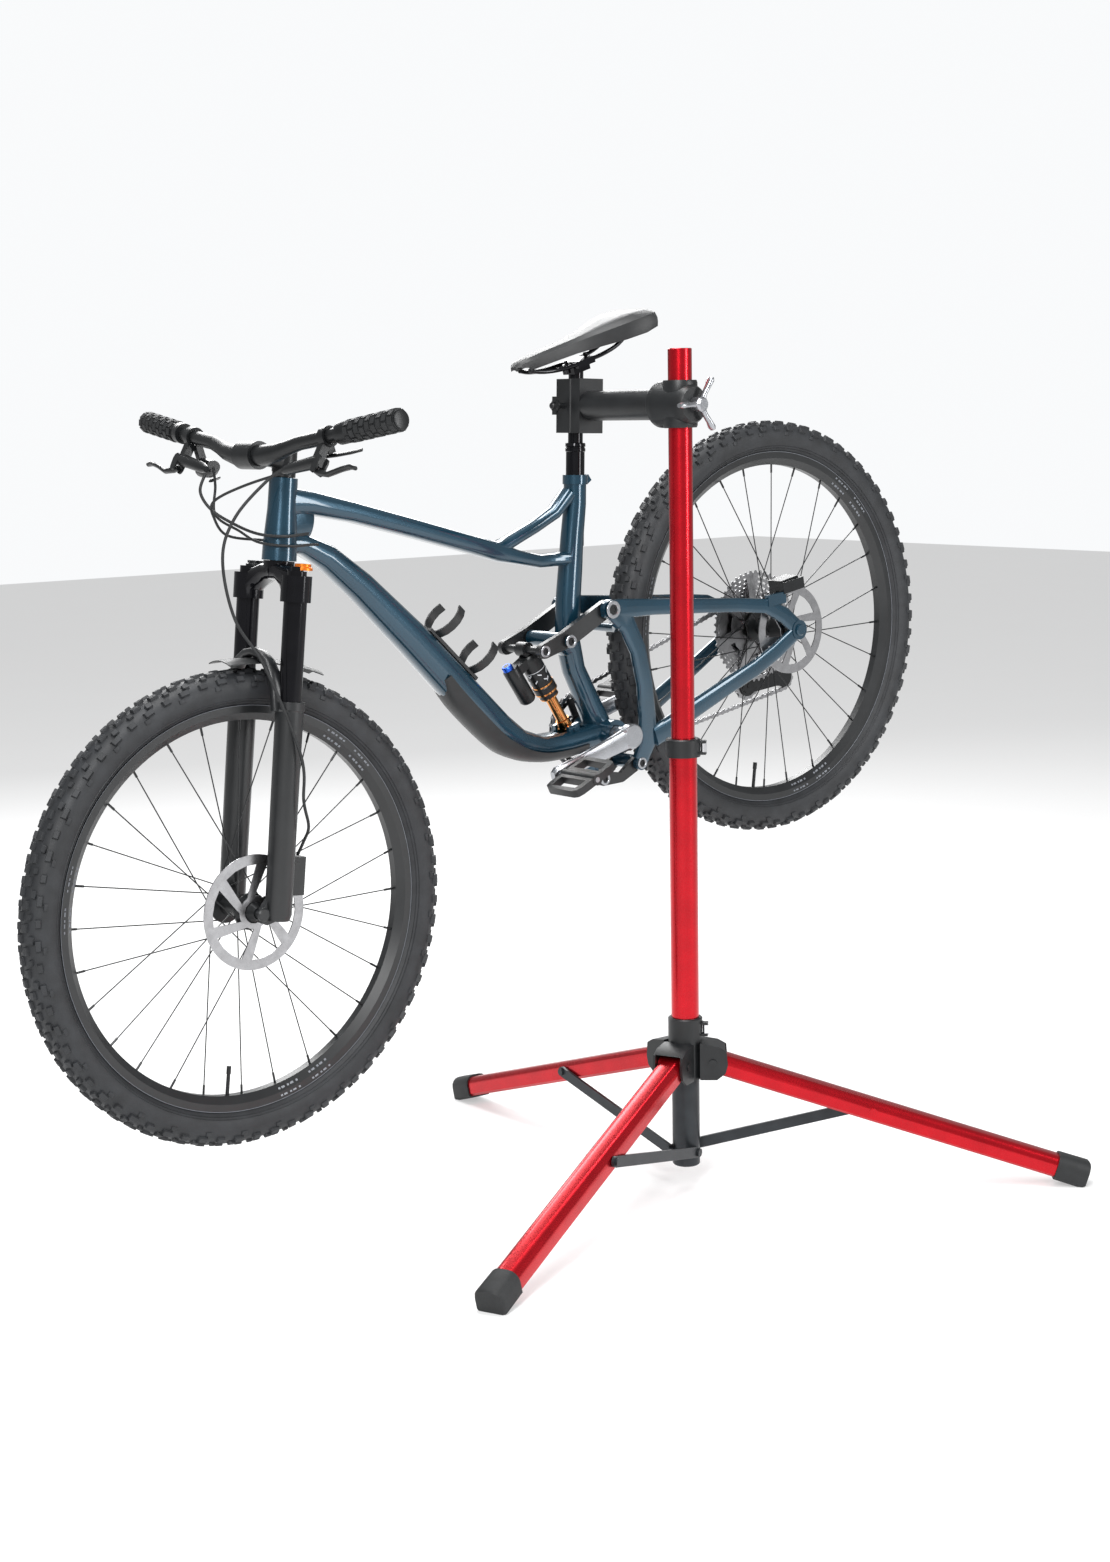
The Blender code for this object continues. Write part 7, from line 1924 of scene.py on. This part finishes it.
for label, way in (("left", -1), ("right", 1)):
    pivot_ring("ring_main_" + label, M, way, ("front_frame", "rocker_link"), 0.0112, "front_frame")
    pivot_ring("ring_low_" + label, L0, way, ("front_frame", "lower_link"), 0.0102, "front_frame")
    pivot_ring("ring_rear_" + label, K, way, ("rear_triangle", "rocker_link"), 0.015, "rear_triangle")
    pivot_ring("ring_link_" + label, L1, way, ("rear_triangle", "lower_link"), 0.0102, "rear_triangle")
    pivot_ring("ring_front_" + label, F, way, ("rocker_link",), 0.01, "rocker_link")

# black guard under the down tube's lower bend
guard_rows = [
    (0.715, 0.201, 0.018), (0.69, 0.156, 0.03), (0.642, 0.07, 0.029), (0.61, 0.03, 0.025),
    (0.57, 0.004, 0.0215), (0.52, -0.01, 0.0215), (0.485, -0.0165, 0.019)
]
guard_path = smooth_path(guard_rows, 4)
rings = []
for k, (f, u, hh) in enumerate(guard_path):
    f0, u0, _ = guard_path[max(k - 1, 0)]
    f1, u1, _ = guard_path[min(k + 1, len(guard_path) - 1)]
    d = math.hypot(f1 - f0, u1 - u0)
    below = Vector(((u1 - u0) / -d, (f1 - f0) / d))
    if below.x < 0:
        below = -below
    if below.y > 0.35:
        below = -below
    ring = []
    for grow in (0.0036, 0.0006):
        angles = range(-80, 81, 20) if grow == 0.0036 else range(80, -81, -20)
        for g in angles:
            c, n = math.cos(math.radians(g)), math.sin(math.radians(g))
            c = math.copysign(abs(c) ** 0.8, c)
            n = math.copysign(abs(n) ** 0.8, n)
            w = (0.0345 if u < 0.05 else 0.029) + grow
            ring.append(W(f + below.x * (hh + grow) * c, w * n, u + below.y * (hh + grow) * c))
    rings.append(ring)
extra("down_tube_guard", loft(rings), PLASTIC, "front_frame")

# shock: printed can, copper bands, blue adjuster
for k, (h0, h1, r, mat) in enumerate(
    (
        (0.03, 0.031, 0.0187, WHITE), (0.06, 0.0625, 0.019, COPPER), (0.074, 0.077, 0.0202, COPPER),
        (0.086, 0.0885, 0.0168, COPPER)
    )
):
    extra(
        "shock_band_%d" % k, ring_solid(F + shock_axis * 0.01, shock_axis, r - 0.003, r, h0, h1, 20), mat,
        "shock_body"
    )
flakes = []
for k in range(16):
    t = k * 2.399
    h = 0.034 + 0.0015 * (k * 5 % 16)
    c = F + shock_axis * (0.01 + h) + side * 0.01862 * math.cos(t) + Y * 0.01862 * math.sin(t)
    flakes.append(
        block(
            c, side * -math.sin(t) + Y * math.cos(t) + shock_axis * (0.8 if k % 2 else -0.6), shock_axis,
            0.0036, 0.0012, 0.0004
        )
    )
extra("shock_print", merge(flakes), WHITE, "shock_body")
extra(
    "shock_dial",
    turned(
        res_top - shock_axis * 0.01 + ahead * 0.004, -shock_axis,
        [(0, 0), (0.0092, 0), (0.0092, 0.006), (0.0074, 0.008), (0, 0.008)], 10
    ), KNOB_BLUE, "shock_body"
)

# fork: adjusters on the crown
for way in (-1, 1):
    top = fork(0.0125, 0, way * LEG_Y)
    extra(
        "fork_adjuster_%s" % SIDES[way],
        turned(
            top + STEER_UP * 0.001, STEER_UP,
            [(0, 0.0), (0.015, 0.0), (0.015, 0.0045), (0.0125, 0.006), (0.0125, 0.01), (0, 0.0105)], 12
        ), ORANGE if way < 0 else BLACK, "fork_crown"
    )

# grips: ribs and end caps
for way in (-1, 1):
    for k in range(9):
        y = GRIP_FROM + 0.022 + 0.0122 * k
        f, u, _ = bar_row(way * y)
        f2, u2, _ = bar_row(way * (y + 0.0095))
        p, q = W(f, way * y, u), W(f2, way * (y + 0.0095), u2)
        axis = (q - p).normalized()
        ribs = []
        for j in range(8):
            t = 2 * math.pi * (j + (0.5 if k % 2 else 0.0)) / 8
            a, b = across(axis)
            out_way = a * math.cos(t) + b * math.sin(t)
            ribs.append(
                block((p + q) / 2 + out_way * 0.016, axis, out_way.cross(axis), 0.0046, 0.0052, 0.0009)
            )
        extra("grip_ribs_%s_%d" % (SIDES[way], k), merge(ribs), RUBBER, "handlebar")
    f, u, _ = bar_row(way * (BAR_END + 0.0022))
    f2, u2, _ = bar_row(way * (BAR_END + 0.004))
    extra(
        "grip_cap_%s" % SIDES[way],
        turned(
            W(f, way * (BAR_END + 0.0022), u),
            W(f2, way * (BAR_END + 0.004), u2) - W(f, way * (BAR_END + 0.0022), u),
            [(0, 0), (0.0142, 0), (0.0142, 0.001), (0.012, 0.0018), (0, 0.0018)], 20
        ), BLACK, "handlebar"
    )

# ================================================================ camera, floor, light
CAMERA_AT = -2.5263, -2.9702, 1.2933
LENS_MM, LENS_SHIFT_Y = 55.643, 0.0038
SENSOR_MM = 36
FAR_CLIP = 60
FLOOR_Z, FLOOR_HALF = -0.0005, 14
FLOOR_GLOW = 0.42
WORLD_LIGHT, WORLD_SEEN = 0.38, 1.0  # strength as a light, and as the backdrop the camera sees
YAW, TILT, ROLL = math.radians(-39.61), math.radians(9.0), math.radians(-0.96)
look = Vector((-math.sin(YAW) * math.cos(TILT), math.cos(YAW) * math.cos(TILT), -math.sin(TILT)))
right = look.cross(Z).normalized()
above = right.cross(look)
cam_x = right * math.cos(ROLL) + above * math.sin(ROLL)
cam_y = above * math.cos(ROLL) - right * math.sin(ROLL)
lens = bpy.data.cameras.new("camera")
lens.sensor_fit = "AUTO"
lens.sensor_width = SENSOR_MM
lens.lens = LENS_MM
lens.shift_y = LENS_SHIFT_Y
lens.clip_end = FAR_CLIP
camera = bpy.data.objects.new("camera", lens)
bpy.context.scene.collection.objects.link(camera)
turn = Matrix((cam_x, cam_y, -look)).transposed().to_4x4()
camera.matrix_world = Matrix.Translation(CAMERA_AT) @ turn
bpy.context.scene.camera = camera

floor_look = surface("pale_floor", (0.55, 0.55, 0.55), 0.0, 0.85, 0.01, 2, 30, 0.0)
glow = floor_look.node_tree.nodes["Principled BSDF"]
glow.inputs["Emission Color"].default_value = 1, 1, 1, 1
glow.inputs["Emission Strength"].default_value = FLOOR_GLOW
floor_mesh = bpy.data.meshes.new("floor")
fb = bmesh.new()
corners = [
    fb.verts.new((FLOOR_HALF * x, FLOOR_HALF * y, FLOOR_Z)) for x,
    y in ((-1, -1), (1, -1), (1, 1), (-1, 1))
]
fb.faces.new(corners)
fb.to_mesh(floor_mesh)
fb.free()
floor = bpy.data.objects.new("floor", floor_mesh)
bpy.context.scene.collection.objects.link(floor)
floor_mesh.materials.append(floor_look)


def light(name, where, size, power, at=(0, 0.1, 0.8)):
    lamp = bpy.data.lights.new(name, "AREA")
    lamp.shape = "RECTANGLE"
    lamp.size, lamp.size_y = size
    lamp.energy = power
    obj = bpy.data.objects.new(name, lamp)
    bpy.context.scene.collection.objects.link(obj)
    obj.location = where
    obj.rotation_euler = (Vector(at) - Vector(where)).to_track_quat("-Z", "Y").to_euler()


light("key", (-3.2, -2.4, 3.4), (1.0, 3.2), 190)
light("fill", (1.6, -3.6, 2.0), (0.8, 2.6), 80)
light("rim", (1.5, 3.2, 2.8), (3.0, 1.2), 110)
light("top", (-0.3, 0.2, 4.2), (3.6, 0.8), 120)
world = bpy.data.worlds.new("world")
bpy.context.scene.world = world
world.use_nodes = True
sky = world.node_tree
background = sky.nodes["Background"]
background.inputs["Color"].default_value = 0.95, 0.96, 0.97, 1
seen = sky.nodes.new("ShaderNodeLightPath")
level = sky.nodes.new("ShaderNodeMapRange")
level.inputs["To Min"].default_value, level.inputs["To Max"].default_value = WORLD_LIGHT, WORLD_SEEN
sky.links.new(seen.outputs["Is Camera Ray"], level.inputs["Value"])
sky.links.new(level.outputs["Result"], background.inputs["Strength"])
bpy.context.scene.view_settings.view_transform = "Standard"
